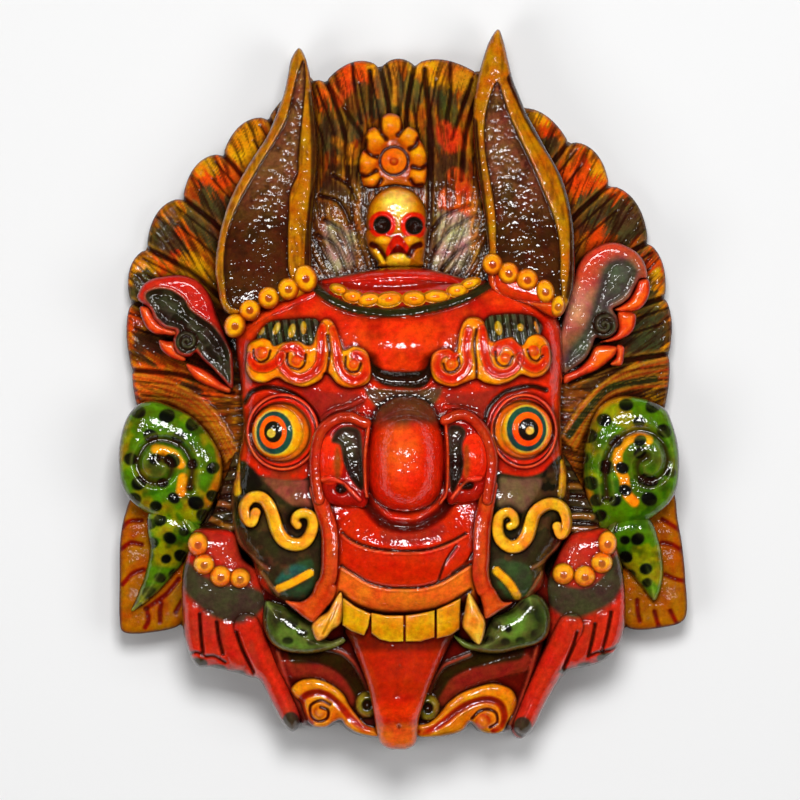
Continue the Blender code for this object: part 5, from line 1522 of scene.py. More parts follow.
def nose_top(x, y):
    """The nose rises from its root to a round bulb, lowest at its sides."""
    across = (x - 3.0) ** 2
    z = NOSE_ROOT + NOSE_RISE * ramp((6.0 - y) / 46.0) - 0.026 * across - 6.0 * ramp((-50.0 - y) / 26.0)
    return z - 1.6 * bump(np.abs(y + 15.5 + 0.02 * across), 3.0)


def nose(material):
    """The nose, with a painted highlight on its bulb and brown towards its root."""
    slab = Slab("nose", [ring(NOSE)], foot=under_face)
    slab.form(nose_top, drop=18.0, rounding=19.0)
    x, y = slab.x, slab.y
    slab.coat(colour(214, 36, 8))
    # A painted highlight: a lighter orange haze on the bulb
    slab.haze(-1.0, -36.0, 17.0, 30.0, colour(226, 96, 40), 0.7)
    slab.coat(colour(98, 54, 40), ramp((y + 26.0 + 3.0 * (cloud(x / 6.0, y / 6.0, 41) - 0.5)) / 9.0))
    slab.wash_wear_shade_and_highlight(deep=1.5, wash_and_shade=0.3, wear=0.0)
    slab.build(material)


# Each wing of the nose: its side and outline, its bulge and nostril, the arc over the nostril and its hollow
WINGS = {
    "wing_left": (
        -1,
        [(-20.6, -18), (-31, -17), (-42, -20), (-50, -32), (-50, -58), (-44, -68), (-30, -70), (-20, -66)],
        (-43.2, -42.6, 8.6, 14.6),
        (-36.4, -59.6, 3.4, 3),
        [(-49.2, -54.6), (-43.2, -53.6), (-37.4, -55.2), (-31.2, -60), (-25.2, -66)],
        [
            (-38, -24), (-30, -22.6), (-24.6, -27), (-23.6, -44), (-23.4, -60), (-30, -54), (-34.6, -44),
            (-37, -34), (-42, -31),
        ],
    ),
    "wing_right": (
        1,
        [(25.6, -16), (36, -15), (46, -22), (52, -34), (52, -54), (46, -66), (34, -68), (26, -64)],
        (43, -41, 8.8, 14.4),
        (38.6, -57.6, 4.6, 2.6),
        [(29.8, -65), (34.8, -58.8), (39.6, -54.8), (46.8, -53.4)],
        [
            (27.6, -24), (34, -21.8), (38, -26), (36, -34), (36.6, -46), (33.6, -56), (29.4, -61),
            (28.2, -44),
        ],
    ),
}


def falling(top, slope, start):
    """A height that falls away to both sides of the mask from start on."""
    return lambda x, y: top - slope * np.clip(np.abs(x) - start, 0.0, None)


def wings(material):
    """The wings of the nose with their dark hollows."""
    for name, (side, outline, bulge, nostril, arc, hollow) in WINGS.items():
        slab = Slab(name, [ring(outline)], foot=under_face)
        slab.form(falling(WING_TOP, 0.2, 36.0), drop=4.0, rounding=6.0)
        slab.coat(colour(150, 18, 10))
        bx, by, rx, ry = bulge
        slab.swell(bx, by, rx + 2.0, ry + 2.0, 6.0)
        slab.dot(bx, by, rx, ry, colour(222, 46, 18), soft=0.8)
        slab.dot(bx + side * -4.6, by - 2.0, 2.2, ry * 0.7, colour(150, 66, 24), soft=1.6)
        window, d, _ = slab.signed(ring(hollow), 6.0)
        slab.z[window] -= 5.0 * ramp((d + 1.0) / 4.0)
        # The hollow is painted dark grey for the sheen on its black lacquer, a painted reflection, and near
        # black towards its lower end
        slab.coat(colour(70, 64, 62), ramp(0.5 + d / 2.0), window)
        deep = ramp((-34.0 - slab.y[window]) / 10.0) * ramp(0.5 + d)
        slab.coat(colour(26, 18, 16), deep * 0.8, window)
        hx, hy, hrx, hry = nostril
        slab.swell(hx, hy, hrx + 1.6, hry + 1.6, -5.0)
        slab.dot(hx, hy, hrx, hry, colour(12, 8, 8), soft=0.8)
        slab.ridge(spline(arc), 1.5, 1.6, 0.6, colour(214, 70, 50), soft=0.6)
        slab.wash_wear_shade_and_highlight(deep=1.3, wash_and_shade=0.5, wear=0.2)
        slab.build(material)


def ribbons(material):
    """The red ribbons round the wings of the nose."""
    for name, wing, strip, half in (
        ("ribbon_left", LEFT_WING, NOSE_STRIPS[0], 1.5),
        ("ribbon_right", RIGHT_WING, NOSE_STRIPS[1], 1.3),
    ):
        slab = Slab(name, lines=[(spline(wing), 3.5, 0.0), (spline(strip), half, 0.2)], foot=under_face)
        slab.form(falling(RIBBON_TOP, 0.24, 30.0), drop=3.4, rounding=3.6)
        slab.coat(colour(156, 26, 4))
        slab.wash_wear_shade_and_highlight(deep=0.9, wash_and_shade=0.4, wear=0.3, wear_and_highlight_paint=colour(236, 100, 60))
        slab.build(material)


# Where each fold beside the mouth flares out at its foot
LEFT_FLARE = [
    (-39.6, -117), (-50, -114), (-54.6, -123), (-61, -127), (-70, -126.6), (-62, -134), (-54, -139.6),
    (-50, -137), (-45, -131), (-40.6, -125),
]
RIGHT_FLARE = [(46, -118), (54, -118), (60, -126.6), (66, -127.6), (58, -133), (50, -137.4), (48, -130)]


def folds(material):
    """The folds that run from the nose's wings past the mouth and flare out."""
    for name, line, flare in (
        ("fold_left", LEFT_FOLD, LEFT_FLARE),
        ("fold_right", RIGHT_FOLD, RIGHT_FLARE),
    ):
        curve = spline(line)
        upper = curve[curve[:, 1] > -120.0]
        slab = Slab(name, [ring(flare)], [(upper, 5.2, 0.0)], foot=under_face)
        slab.form(on_face(FOLD_RISE), drop=3.4, rounding=4.2)
        slab.coat(colour(164, 32, 6))
        slab.coat(colour(190, 62, 16), ramp((-112.0 - slab.y) / 14.0) * 0.8)
        slab.stroke(curve, 1.6, colour(206, 76, 24), soft=1.6, strength=0.7)
        slab.wash_wear_shade_and_highlight(deep=0.9, wash_and_shade=0.5, wear=0.4, wear_and_highlight_paint=colour(240, 120, 70))
        slab.build(material)


def scrolls(material):
    """The yellow scroll on each cheek."""
    for name, line in (("scroll_left", LEFT_SCROLL), ("scroll_right", RIGHT_SCROLL)):
        curve = spline(line)
        half = len(curve) // 2
        slab = Slab(name, lines=[(curve[half:], 4.5, 0.4), (curve[half::-1], 4.5, 0.3)], foot=under_face)
        slab.form(on_face(SCROLL_RISE), drop=3.0, rounding=3.4)
        slab.coat(colour(232, 176, 30))
        slab.blotch(colour(222, 140, 24), 7.0, 7.0, 33, 0.45, 5.0, 0.5)
        slab.wash_wear_shade_and_highlight(deep=0.8, wash_and_shade=0.6, wear=0.3, wear_and_highlight_paint=colour(246, 214, 90))
        slab.build(material)


def teeth_top(x, y):
    """The teeth stand highest in the middle and lean in at their tips."""
    return TEETH_TOP - 0.005 * x * x - 3.0 * ramp((-138.0 - y) / 12.0)


def teeth(material):
    """Four square teeth, each rounded at its edges."""
    slab = Slab("teeth", [np.array(points) for points in TEETH], foot=flat(TEETH_FOOT), inset=-0.4)
    slab.form(teeth_top, drop=1.2, rounding=1.2)
    slab.coat(colour(204, 150, 12))
    slab.blotch(colour(196, 122, 8), 6.0, 4.0, 51, 0.5, 5.0, 0.5)
    slab.wash_wear_shade_and_highlight(deep=0.9, wash_and_shade=0.6, wear=0.35, wear_and_highlight_paint=colour(242, 206, 90))
    slab.build(material)


def fangs(material):
    """The two fangs beside the teeth."""
    slab = Slab("fangs", [ring(LEFT_FANG), ring(RIGHT_FANG)], foot=flat(TEETH_FOOT))
    slab.form(FANG_TOP, drop=5.0, rounding=5.0)
    slab.coat(colour(212, 148, 26))
    slab.coat(colour(214, 110, 24), line_mask(np.abs(slab.x + 37.4), 1.8, 1.4) * 0.7)
    slab.cut(spline([(-37, -124), (-41, -134), (-47, -146)]), 1.6, 0.9)
    slab.wash_wear_shade_and_highlight(deep=0.9, wash_and_shade=0.6, wear=0.35, wear_and_highlight_paint=colour(244, 214, 120))
    slab.build(material)


def diadem(material):
    """The round beads over the forehead, each with a red dot."""
    loops = [oval(x, y, rx + 1.0, ry + 1.0, turn) for x, y, rx, ry, turn in BEADS]
    slab = Slab("diadem", loops, foot=flat(DIADEM_FOOT))
    slab.form(BEAD_EDGE)
    slab.coat(colour(160, 58, 2))
    for x, y, rx, ry, turn in BEADS:
        slab.ball(x, y, rx + 1.0, ry + 1.0, BEAD_EDGE, BEAD_TOP, turn)
        slab.dot(x - 0.4, y + 0.8, rx - 0.4, ry - 0.4, colour(236, 162, 6), soft=1.4, turn=turn)
        slab.dot(x + 0.2, y - 0.4, 2.3, 2.4, colour(140, 8, 2), soft=0.4)
    slab.wash_wear_shade_and_highlight(deep=1.2, wash_and_shade=0.35, wear=0.2, wear_and_highlight_paint=colour(250, 206, 70))
    slab.build(material)


def garland(material):
    """The row of long beads under the rosette."""
    loops = [oval(x, y, rx + 1.2, ry + 0.8, turn) for x, y, rx, ry, turn in GARLAND]
    slab = Slab("garland", loops, foot=under_face)
    slab.form(on_face(1.0))
    slab.coat(colour(236, 158, 10))
    for x, y, rx, ry, turn in GARLAND:
        base = float(face_top(np.array(x), np.array(y)))
        top = base + GARLAND_RISE
        window, r = slab.ball(x, y, rx, ry, base + 1.0, top, turn)
        slab.z[window] = np.where(r < 1.02, np.minimum(slab.z[window], top), slab.z[window])
        slab.coat(colour(214, 66, 8), ramp((0.42 - r) * 6.0) * 0.7, window)
    slab.wash_wear_shade_and_highlight(deep=1.0, wash_and_shade=0.4, wear=0.2)
    slab.build(material)


LEFT_LEAF = [
    (-158.4, 57), (-155.4, 62.4), (-150, 66), (-141.6, 67.8), (-132.6, 68.4), (-124.2, 66), (-118.2, 60.6),
    (-114, 53.4), (-111, 44.4), (-107.4, 35.4), (-103.2, 25.8), (-101.4, 18.6), (-101.4, 0.6), (-108, 6),
    (-114, 12.6), (-119.4, 17.4), (-123.6, 21.6), (-127.2, 19.2), (-132.6, 19.8), (-136.2, 23.4),
    (-137.4, 29.4), (-136.2, 34.8), (-142.2, 36.6), (-148.2, 41.4), (-151.2, 48), (-156, 51.6),
    (-158.4, 54),
]
RIGHT_LEAF = [
    (96.6, 9.6), (94.8, 20.4), (94.8, 32.4), (96.6, 42.6), (99.6, 54.6), (102.6, 64.2), (105, 72.6),
    (109.2, 79.8), (115.2, 84.6), (122.4, 87.6), (129.6, 87.6), (136.8, 84.6), (142.2, 80.4), (145.8, 74.4),
    (147, 67.2), (142.8, 66), (139.8, 61.2), (136.2, 54.6), (130.8, 50.4), (126.6, 48), (129, 43.2),
    (129.6, 36.6), (126, 31.8), (120.6, 30), (116.4, 30.6), (114, 25.2), (110.4, 18.6), (105, 13.8),
    (100.2, 10.8),
]
LEFT_BASIN = [
    (-153.6, 57.6), (-149.4, 60), (-144, 60.6), (-138, 59.4), (-130.8, 54.6), (-126.6, 48), (-119.4, 42.6),
    (-113.4, 38.4), (-108, 31.8), (-103.8, 24), (-102.6, 17.4), (-102.6, 3), (-108, 7.8), (-114, 13.8),
    (-118.8, 18), (-122.4, 23.4), (-123.6, 25.8), (-126.6, 21.6), (-130.8, 21), (-134.4, 23.4),
    (-135.6, 28.2), (-134.4, 35.4), (-141.6, 37.8), (-147, 42.6), (-150, 48.6), (-153.6, 53.4),
]
RIGHT_BASIN = [
    (120, 71.4), (125.4, 77.4), (133.2, 78.6), (139.2, 75), (141.6, 70.2), (139.2, 63), (135.6, 56.4),
    (129.6, 51.6), (125.4, 48.6), (128.4, 43.2), (129, 36.6), (125.4, 32.4), (120.6, 31.2), (115.8, 31.8),
    (113.4, 26.4), (109.8, 19.8), (104.4, 15), (99, 12), (96.6, 16.8), (100.2, 24.6), (106.2, 31.2),
    (111, 40.2), (113.4, 48.6), (117, 60.6),
]
LEFT_PETALS = [
    [
        (-157.2, 49.2), (-152.4, 49.2), (-149.4, 45.6), (-145.2, 40.2), (-140.4, 37.2), (-135, 34.8),
        (-135, 31.8), (-142.2, 32.4), (-148.2, 33), (-153, 36.6), (-156, 42.6),
    ],
    [
        (-145.8, 29.4), (-141, 28.8), (-136.2, 28.2), (-134.4, 23.4), (-130.2, 19.8), (-130.2, 16.8),
        (-135.6, 17.4), (-140.4, 19.8), (-144.6, 24),
    ],
    [
        (-129.6, 15), (-123.6, 13.8), (-118.2, 11.4), (-112.8, 7.8), (-108, 3.6), (-102.6, 0.6),
        (-103.8, -2.4), (-112.2, 0), (-119.4, 3), (-125.4, 7.2),
    ],
]
RIGHT_PETALS = [
    [
        (142.2, 65.4), (147.6, 66), (148.8, 59.4), (146.4, 52.2), (141.6, 47.4), (133.8, 46.2),
        (127.2, 47.4), (132, 50.4), (136.8, 54.6), (139.8, 60),
    ],
    [
        (129.6, 46.2), (139.2, 45.6), (140.4, 40.2), (138, 34.2), (132, 30), (124.8, 28.2), (118.8, 28.2),
        (126, 31.2), (129.6, 36),
    ],
    [
        (115.8, 25.2), (122.4, 26.4), (129, 25.2), (128.4, 21), (123.6, 16.2), (117, 11.4), (109.8, 8.4),
        (102.6, 5.4), (97.2, 3), (97.2, 8.4), (105, 12), (111.6, 18),
    ],
    [(129, 26.4), (133.2, 25.2), (133.2, 19.8), (132, 14.4), (128.4, 13.8), (124.8, 15), (128.4, 19.2)],
]


def ears(material):
    """Two ears, each over the orange petals under its lower edge."""
    for name, petals, leaf, basin, curl, side in (
        ("left", LEFT_PETALS, LEFT_LEAF, LEFT_BASIN, (-128.8, 28.4, 7.2), -1),
        ("right", RIGHT_PETALS, RIGHT_LEAF, RIGHT_BASIN, (121.2, 38.4, 7.6), 1),
    ):
        ear_petals("ear_petals_" + name, petals, leaf, material)
        ear("ear_" + name, leaf, basin, curl, side, material)


def ear_petals(name, petals, leaf, material):
    """Orange petals, shaded where the ear's leaf lies over them."""
    slab = Slab(name, [ring(petal) for petal in petals], foot=over_back)
    slab.form(EAR_PETALS_TOP, drop=3.0, rounding=4.0)
    slab.coat(colour(170, 26, 12))
    slab.coat(colour(226, 92, 4), ramp((slab.edge - 1.2) / 2.0))
    slab.blotch(colour(206, 52, 6), 6.0, 6.0, 64, 0.48, 5.0, 0.6)
    slab.shade(ring(leaf), 2.6, 0.7)
    slab.wash_wear_shade_and_highlight(deep=0.9, wash_and_shade=0.6, wear=0.3, wear_and_highlight_paint=colour(232, 120, 70))
    slab.build(material)


def ear(name, leaf, basin, curl, side, material):
    """A red leaf with a black basin and a curl in it. The right one is paler where the light falls."""
    slab = Slab(name, [ring(leaf)], foot=over_back)
    slab.form(EAR_TOP, drop=5.0, rounding=5.0)
    x, y = slab.x, slab.y
    slab.coat(colour(186, 30, 22))
    slab.coat(colour(206, 70, 54), ramp((y - 52.0 + side * 12.0) / 18.0) * (0.55 + 0.2 * side))
    if side > 0:
        # Painted light on the right ear: pale pink high up and pinkish grey on its flank
        slab.coat(colour(226, 138, 130), ramp((66.0 - y) / 20.0) * 0.85)
        flank = ramp((126.0 - x) / 10.0) * bump(np.abs(y - 50.0), 20.0)
        slab.coat(colour(188, 140, 138), flank * 0.8)
        slab.coat(colour(36, 28, 26), ramp((46.0 - y) / 16.0) * ramp((x - 94.0) / 8.0) * 0.75)
    loop = ring(basin)
    window, d, _ = slab.signed(loop, 12.0)
    slab.z[window] -= 2.6 * ramp((d + 0.6) / 5.0)
    slab.z[window] += 3.0 * ramp((d - 1.0) / 11.0)
    if side > 0:
        # On the right ear the basin is painted blue-grey with pinkish grey round it: painted sheen
        slab.coat(colour(128, 72, 62), ramp(1.0 + d / 9.0) * 0.7, window)
        slab.coat(colour(70, 75, 84), ramp(0.5 + d / 6.0), window)
    else:
        slab.coat(colour(28, 28, 24), ramp(0.5 + d / 1.6), window)
        slab.ridge(loop, 1.0, 0.8, 0.4, colour(176, 60, 50), soft=0.5, strength=0.7)
    worn = ramp((cloud(x / 7.0, y / 7.0, 66) - 0.5)[window] * 6.0)
    slab.coat(colour(62, 66, 60), ramp(d / 2.0) * worn * 0.6, window)
    cx, cy, r = curl
    slab.ball(cx, cy, r, r, EAR_TOP - 3.0, EAR_TOP + 3.0)
    slab.dot(cx, cy, r, r, colour(24, 24, 20))
    slab.cut(spiral(cx, cy, r * 0.94, side * 1.7, np.pi / 2), 1.6, 2.0)
    hatch = cloud(x / 2.4, y / 2.4, 61) - 0.5
    slab.z[window] += 0.9 * hatch[window] * ramp(d)
    slab.wash_wear_shade_and_highlight(deep=1.2, wash_and_shade=0.5, wear=0.25, wear_and_highlight_paint=colour(92, 88, 84))
    slab.build(material)


LEFT_SPOTS = [
    (-162.6, -42), (-157.8, -56.4), (-143.4, -56.4), (-150.6, -28.2), (-133.8, -29.4), (-125.4, -45),
    (-123.6, -68.4), (-113.4, -64.2), (-113.4, -47.4), (-141, -16.2), (-136.8, -65.4), (-160.8, -66),
    (-125.4, -21), (-147.6, -70.2), (-118.8, -76.2), (-158, -14), (-148, -42), (-138, -43),
]
RIGHT_SPOTS = [
    (134.4, -9.6), (150.6, -10.2), (142.2, -19.8), (157.2, -25.2), (127.8, -31.2), (142.8, -31),
    (122.4, -46.8), (132, -47.4), (142.8, -38.4), (112.2, -28.2), (108.6, -41.4), (121.2, -18.6),
    (145.8, -54.6), (160.8, -50), (113.4, -56.4), (117, -66.6), (127.8, -67), (148.2, -66), (133.8, -60.6),
    (118.8, -76), (148.8, -56),
]


def green_skin(slab):
    """Green paint, yellower and darker in places."""
    slab.coat(colour(66, 112, 6))
    slab.blotch(colour(140, 140, 10), 14.0, 14.0, 71, 0.48, 6.0, 0.8)
    slab.blotch(colour(24, 70, 8), 10.0, 10.0, 74, 0.52, 6.0, 0.7)


def black_spots(slab, spots, size, vary, flatness):
    """The snake's spots, black with a dull rim, each a little different in size and turn."""
    for k, (x, y) in enumerate(spots):
        rx = size * (1.0 + vary * np.sin(k * 2.3))
        ry, turn = rx * flatness, 0.6 * np.sin(k * 1.7)
        slab.dot(x, y, rx + 0.5, ry + 0.5, colour(34, 56, 10), soft=0.6, turn=turn)
        slab.dot(x, y, rx, ry, colour(8, 11, 10), soft=0.5, turn=turn)


# The groove that curls in on each coil
LEFT_CURL = [
    (-127.2, -58.8), (-126, -45.6), (-131.4, -35.4), (-142.2, -30.6), (-152.4, -33), (-157.8, -40.8),
    (-157.8, -48.6), (-152.4, -55.2), (-144, -55.8), (-138.6, -51), (-138.6, -44.4), (-143.4, -40.8),
]
RIGHT_CURL = [
    (123, -64.8), (121.8, -48.6), (126, -35.4), (135.6, -27), (145.8, -25.2), (154.8, -30.6), (159, -40.2),
    (157.2, -49.8), (150, -55.2), (142.8, -52.2), (141.6, -45), (146.4, -40.8),
]


def coils(material):
    """The snake's coiled ends."""
    for name, points, spots, middle, curl, strip, inner in (
        (
            "coil_left", LEFT_COIL, LEFT_SPOTS, (-146.4, -45.6), LEFT_CURL,
            [(-118.2, -15.6), (-111.6, -25.8), (-106.8, -39.6), (-108, -53.4), (-114, -66.6)],
            (
                [(-147.6, -36), (-142.2, -37.2), (-136.8, -39.6), (-132.6, -45)],
                [(-131.4, -53.4), (-132.6, -61.8)],
            ),
        ),
        (
            "coil_right", RIGHT_COIL, RIGHT_SPOTS, (147.6, -39.6), RIGHT_CURL,
            [
                (134.4, -1.8), (121.8, -6.6), (112.8, -15.6), (105, -27.6), (102, -39.6), (105, -53.4),
                (111.6, -66.6),
            ],
            (
                [
                    (133.2, -53.4), (129.6, -45.6), (129.6, -37.8), (134.4, -31.2), (141.6, -28.2),
                    (147.6, -30.6),
                ],
                [(133.2, -54.6), (135, -63), (139.2, -67.8)],
            ),
        ),
    ):
        slab = Slab(name, [ring(points)], foot=over_back)
        slab.form(lambda x, y: COIL_TOP - 3.0 * ramp((-66.0 - y) / 16.0), drop=10.0, rounding=14.0)
        green_skin(slab)
        slab.stroke(spline(strip), 4.0, colour(204, 128, 12), soft=2.0, strength=0.9)
        slab.swell(*middle, 18.0, 18.0, 3.0)
        slab.haze(*middle, 15.0, 13.0, colour(54, 66, 24), 0.9)
        for line in inner:
            slab.stroke(spline(line), 2.8, colour(226, 150, 10), soft=1.0)
        slab.cut(spline(curl), 4.4, 3.8, taper=0.3)
        slab.stroke(spline(curl), 1.4, colour(34, 36, 16), soft=1.4, taper=0.4, strength=0.85)
        black_spots(slab, spots, 4.1, 0.16, 0.84)
        slab.wash_wear_shade_and_highlight(deep=1.4, wash_and_shade=0.6, wear=0.25, wear_and_highlight_paint=colour(150, 180, 80))
        slab.build(material)


LEFT_TAIL_SPOTS = [
    (-151.2, -81), (-145.2, -78.6), (-130.8, -85.8), (-139.2, -89.4), (-150, -92.4), (-141.6, -102),
    (-132.6, -100.2), (-145.2, -113.4), (-136.8, -111), (-151.8, -122.4), (-159, -130),
]
RIGHT_TAIL_SPOTS = [
    (148, -75), (141.4, -90), (133.8, -90.6), (134.4, -100.8), (146.4, -108), (147, -116.4), (143, -124),
    (149.4, -128.4), (126, -84), (136, -112), (139, -119), (126.6, -78),
]


def side_feathers(material):
    """The ochre feathers under the snake's tails, with dark red strokes."""
    for name, points, strokes in (
        (
            "side_feathers_left",
            LEFT_SIDE_FEATHERS,
            (
                [(-168.6, -83.6), (-164, -79.6), (-156.6, -79)],
                [(-168.6, -96), (-163, -92.4), (-156.6, -93.4)],
                [(-168, -117.4), (-162, -111), (-155.4, -108.6)],
                [(-153.4, -132.4), (-152.4, -139), (-154.4, -143.4)],
                [(-144.6, -128.6), (-145.4, -134), (-145.4, -140)],
                [(-132, -127), (-134.4, -131), (-136, -134)],
                [(-154, -132), (-142, -123.6), (-134, -114)],
            ),
        ),
        (
            "side_feathers_right",
            RIGHT_SIDE_FEATHERS,
            (
                [(156.6, -78.4), (162, -81.6), (168, -85.6)],
                [(156, -92.4), (162.6, -93.6), (169.6, -98)],
                [(158.4, -111.6), (164, -114), (170, -115.6)],
                [(141.4, -127), (141.6, -133), (143, -139.4)],
                [(151.8, -133.8), (153, -138.6), (154.6, -143)],
                [(161.4, -133.4), (164, -138.6), (166.6, -143)],
            ),
        ),
    ):
        slab = Slab(name, [ring(points)], foot=over_back)
        slab.form(SIDE_FEATHERS_TOP, drop=5.0, rounding=6.0)
        slab.coat(colour(150, 90, 2))
        slab.blotch(colour(150, 58, 2), 12.0, 12.0, 81, 0.5, 5.0, 0.6)
        for line in strokes:
            slab.groove(spline(line), 2.6, 0.9, 1.5, colour(132, 18, 4), soft=0.7)
        for mid in (-88, -104, -128):
            slab.swell(np.sign(slab.x.mean()) * 163.0, mid, 10.0, 9.0, 0.7)
        slab.wash_wear_shade_and_highlight(deep=0.9, wash_and_shade=0.55, wear=0.1, wear_and_highlight_paint=colour(214, 150, 20))
        slab.build(material)


def tails(material):
    """The snake's spotted tails."""
    for name, points, spots, ridge in (
        ("tail_left", LEFT_TAIL, LEFT_TAIL_SPOTS, [(-134, -70), (-128, -80), (-122, -90)]),
        ("tail_right", RIGHT_TAIL, RIGHT_TAIL_SPOTS, [(134, -70), (127, -80), (124, -90)]),
    ):
        slab = Slab(name, [ring(points)], foot=over_back)
        slab.form(lambda x, y: TAIL_TIP + TAIL_RISE * ramp((y + 104.0) / 20.0), drop=9.0, rounding=12.0)
        green_skin(slab)
        black_spots(slab, spots, 3.5, 0.18, 0.85)
        slab.cord(spline(ridge), 2.2, 1.6)
        slab.wash_wear_shade_and_highlight(deep=1.3, wash_and_shade=0.55, wear=0.25, wear_and_highlight_paint=colour(160, 196, 90))
        slab.build(material)


WRIST_BEADS = {
    "left": [
        (-122.2, -93, 5.4, 6.4), (-118.6, -105, 5.6, 5.6), (-108.6, -112.2, 5.8, 5.8),
        (-97, -113.4, 5.6, 5.4),
    ],
    "right": [
        (123, -92.4, 5, 6.6), (119.6, -104, 5.8, 5.8), (109.4, -112.2, 5.8, 5.8), (96.6, -110.8, 5.8, 5.8),
    ],
}


# What is carved and painted on each hand
HAND_PARTS = {
    "left": {
        "outline": LEFT_HAND,
        "grooves": (
            [(-121.2, -135), (-120.6, -145.8), (-119.4, -157.8)],
            [(-111, -139.8), (-109.8, -149.4), (-107.4, -159)],
            [(-99, -145.8), (-95.4, -156.6), (-88.8, -169.8)],
        ),
        "thumb": [(-93, -142), (-86, -158), (-78, -176), (-67, -198)],
        "thumb_nail": (-66.6, -199.8, 5.4, 6.4),
        "cuff": [
            (-124.2, -84.6), (-112.2, -86.4), (-102, -88.8), (-97.2, -94.2), (-91.2, -103.8),
            (-92.4, -111.6), (-100.2, -108.6), (-108, -103.8), (-115.2, -100.2), (-117.6, -93.6),
        ],
        "dark": [
            (-128.4, -107.4), (-124.2, -112.2), (-117, -116.4), (-112.2, -120.6), (-103.2, -120.6),
            (-94.2, -120.6), (-84, -125.4), (-86.4, -130.2), (-91.2, -134.4), (-97.2, -136.8),
            (-106.2, -135.6), (-114, -132), (-121.2, -126), (-127.2, -119.4),
        ],
        "nails": ((-122.4, -164.4, 6, 3.4), (-111, -168, 6, 3), (-98.4, -170.4, 4.6, 2)),
        "creases": (
            [(-127.2, -158.4), (-123, -157.8), (-119.4, -159.6)],
            [(-117.6, -160.2), (-112.2, -160.2), (-106.2, -163.8)],
        ),
        "edge": [(-92, -138), (-84, -160), (-68, -190)],
    },
    "right": {
        "outline": RIGHT_HAND,
        "grooves": (
            [(125.4, -133.8), (123, -145.8), (120, -157.2)],
            [(115.8, -141), (114, -150.6), (112.2, -158.4)],
            [(105, -145.8), (102, -155.4), (96.6, -167.4)],
        ),
        "thumb": [(101, -142), (92, -160), (84, -178), (74, -200)],
        "thumb_nail": (72.4, -202.8, 5.6, 6.4),
        "cuff": [
            (91.8, -108.6), (94.8, -99.6), (100.8, -91.8), (112.8, -89.4), (118.2, -89.4),
            (116.4, -96.6), (112.8, -103.8), (105.6, -106.8), (98.4, -106.2),
        ],
        "dark": [
            (81.6, -117.6), (87.6, -114.6), (92.4, -118.8), (102, -121.8), (111.6, -121.8),
            (118.8, -117.6), (125.4, -110.4), (129, -102.6), (129, -115.8), (124.2, -124.8),
            (114.6, -130.2), (103.8, -133.8), (96, -132), (88.8, -126),
        ],
        "nails": ((123, -161.4, 6.4, 3.6), (110, -166, 5, 2.4), (98.4, -169.4, 4.6, 2)),
        "creases": (
            [(111.6, -160.2), (117, -157.8), (120.6, -157.8)],
            [(121.2, -157.2), (125.4, -156), (129.6, -153.6)],
        ),
        "edge": [(99, -138), (88, -158), (76, -184)],
    },
}


def hand_top(x, y):
    """The back of a hand, lower towards the fingertips."""
    return HAND_TOP - FINGER_FALL * ramp((-120.0 - y) / 70.0)


def hands(material):
    """The two hands with their beads."""
    for side in ("left", "right"):
        hand(side, material)
        wrist_beads(side, material)


def hand(side, material):
    """A hand that holds the snake: four fingers, a thumb, a cuff and dark nails."""
    parts = HAND_PARTS[side]
    slab = Slab("hand_" + side, [ring(parts["outline"])], foot=over_back)
    slab.form(hand_top, drop=10.0, rounding=11.0)
    slab.coat(colour(180, 38, 24))
    slab.blotch(colour(156, 50, 42), 10.0, 16.0, 91, 0.5, 5.0, 0.6)
    slab.fill(ring(parts["cuff"]), colour(166, 46, 36), soft=0.8)
    window, d, _ = slab.signed(ring(parts["dark"]), 8.0)
    slab.coat(colour(58, 56, 48), ramp(1.3 + d / 4.5), window)
    slab.cord(spline(parts["thumb"]), 7.6, 5.0)
    grooves = parts["grooves"]
    fingers = [np.mean(pair, axis=0) for pair in zip(grooves, grooves[1:])]
    first = 2.0 * np.array(grooves[0]) - fingers[0]
    for line in (first, *fingers):
        slab.cord(spline(line), 5.0, 1.8, power=1.0)
    for line in grooves:
        slab.groove(spline(line), 1.8, 2.6, 0.5, colour(104, 6, 4), soft=0.8)
    for nx, ny, rx, ry in parts["nails"]:
        slab.dot(nx, ny, rx, ry, colour(46, 42, 34), soft=0.9)
    for line in parts["creases"]:
        slab.cut(spline(line), 1.6, 1.4, wash_and_shade=0.8)
    slab.dot(*parts["thumb_nail"], colour(52, 44, 40), soft=0.6)
    slab.stroke(spline(parts["edge"]), 1.6, colour(214, 30, 10), soft=1.4, strength=0.35)
    # Painted shade round the wrist beads
    for bx, by, rx, ry in WRIST_BEADS[side]:
        slab.shade(oval(bx, by, rx, ry), 3.4, 0.75)
    slab.wash_wear_shade_and_highlight(deep=1.3, wash_and_shade=0.6, wear=0.3)
    slab.build(material)


def wrist_beads(side, material):
    """A row of yellow beads round a wrist, each with a red dot."""
    beads = WRIST_BEADS[side]
    loops = [oval(bx, by, rx + 1.0, ry + 1.0) for bx, by, rx, ry in beads]
    slab = Slab("wrist_beads_" + side, loops, foot=flat(WRIST_BEADS_FOOT))
    slab.form(WRIST_BEAD_EDGE)
    slab.coat(colour(236, 156, 8))
    for bx, by, rx, ry in beads:
        window, _ = slab.ball(bx, by, rx + 1.0, ry + 1.0, WRIST_BEAD_EDGE, WRIST_BEAD_TOP)
        y = slab.y[window]
        slab.coat(colour(222, 96, 6), ramp((y.mean() - y) / 4.0) * 0.8, window)
        slab.dot(bx + 0.2, by - 0.6, 2.3, 2.3, colour(140, 14, 2), soft=0.5)
    slab.wash_wear_shade_and_highlight(deep=1.2, wash_and_shade=0.5, wear=0.25, wear_and_highlight_paint=colour(252, 214, 110))
    slab.build(material)


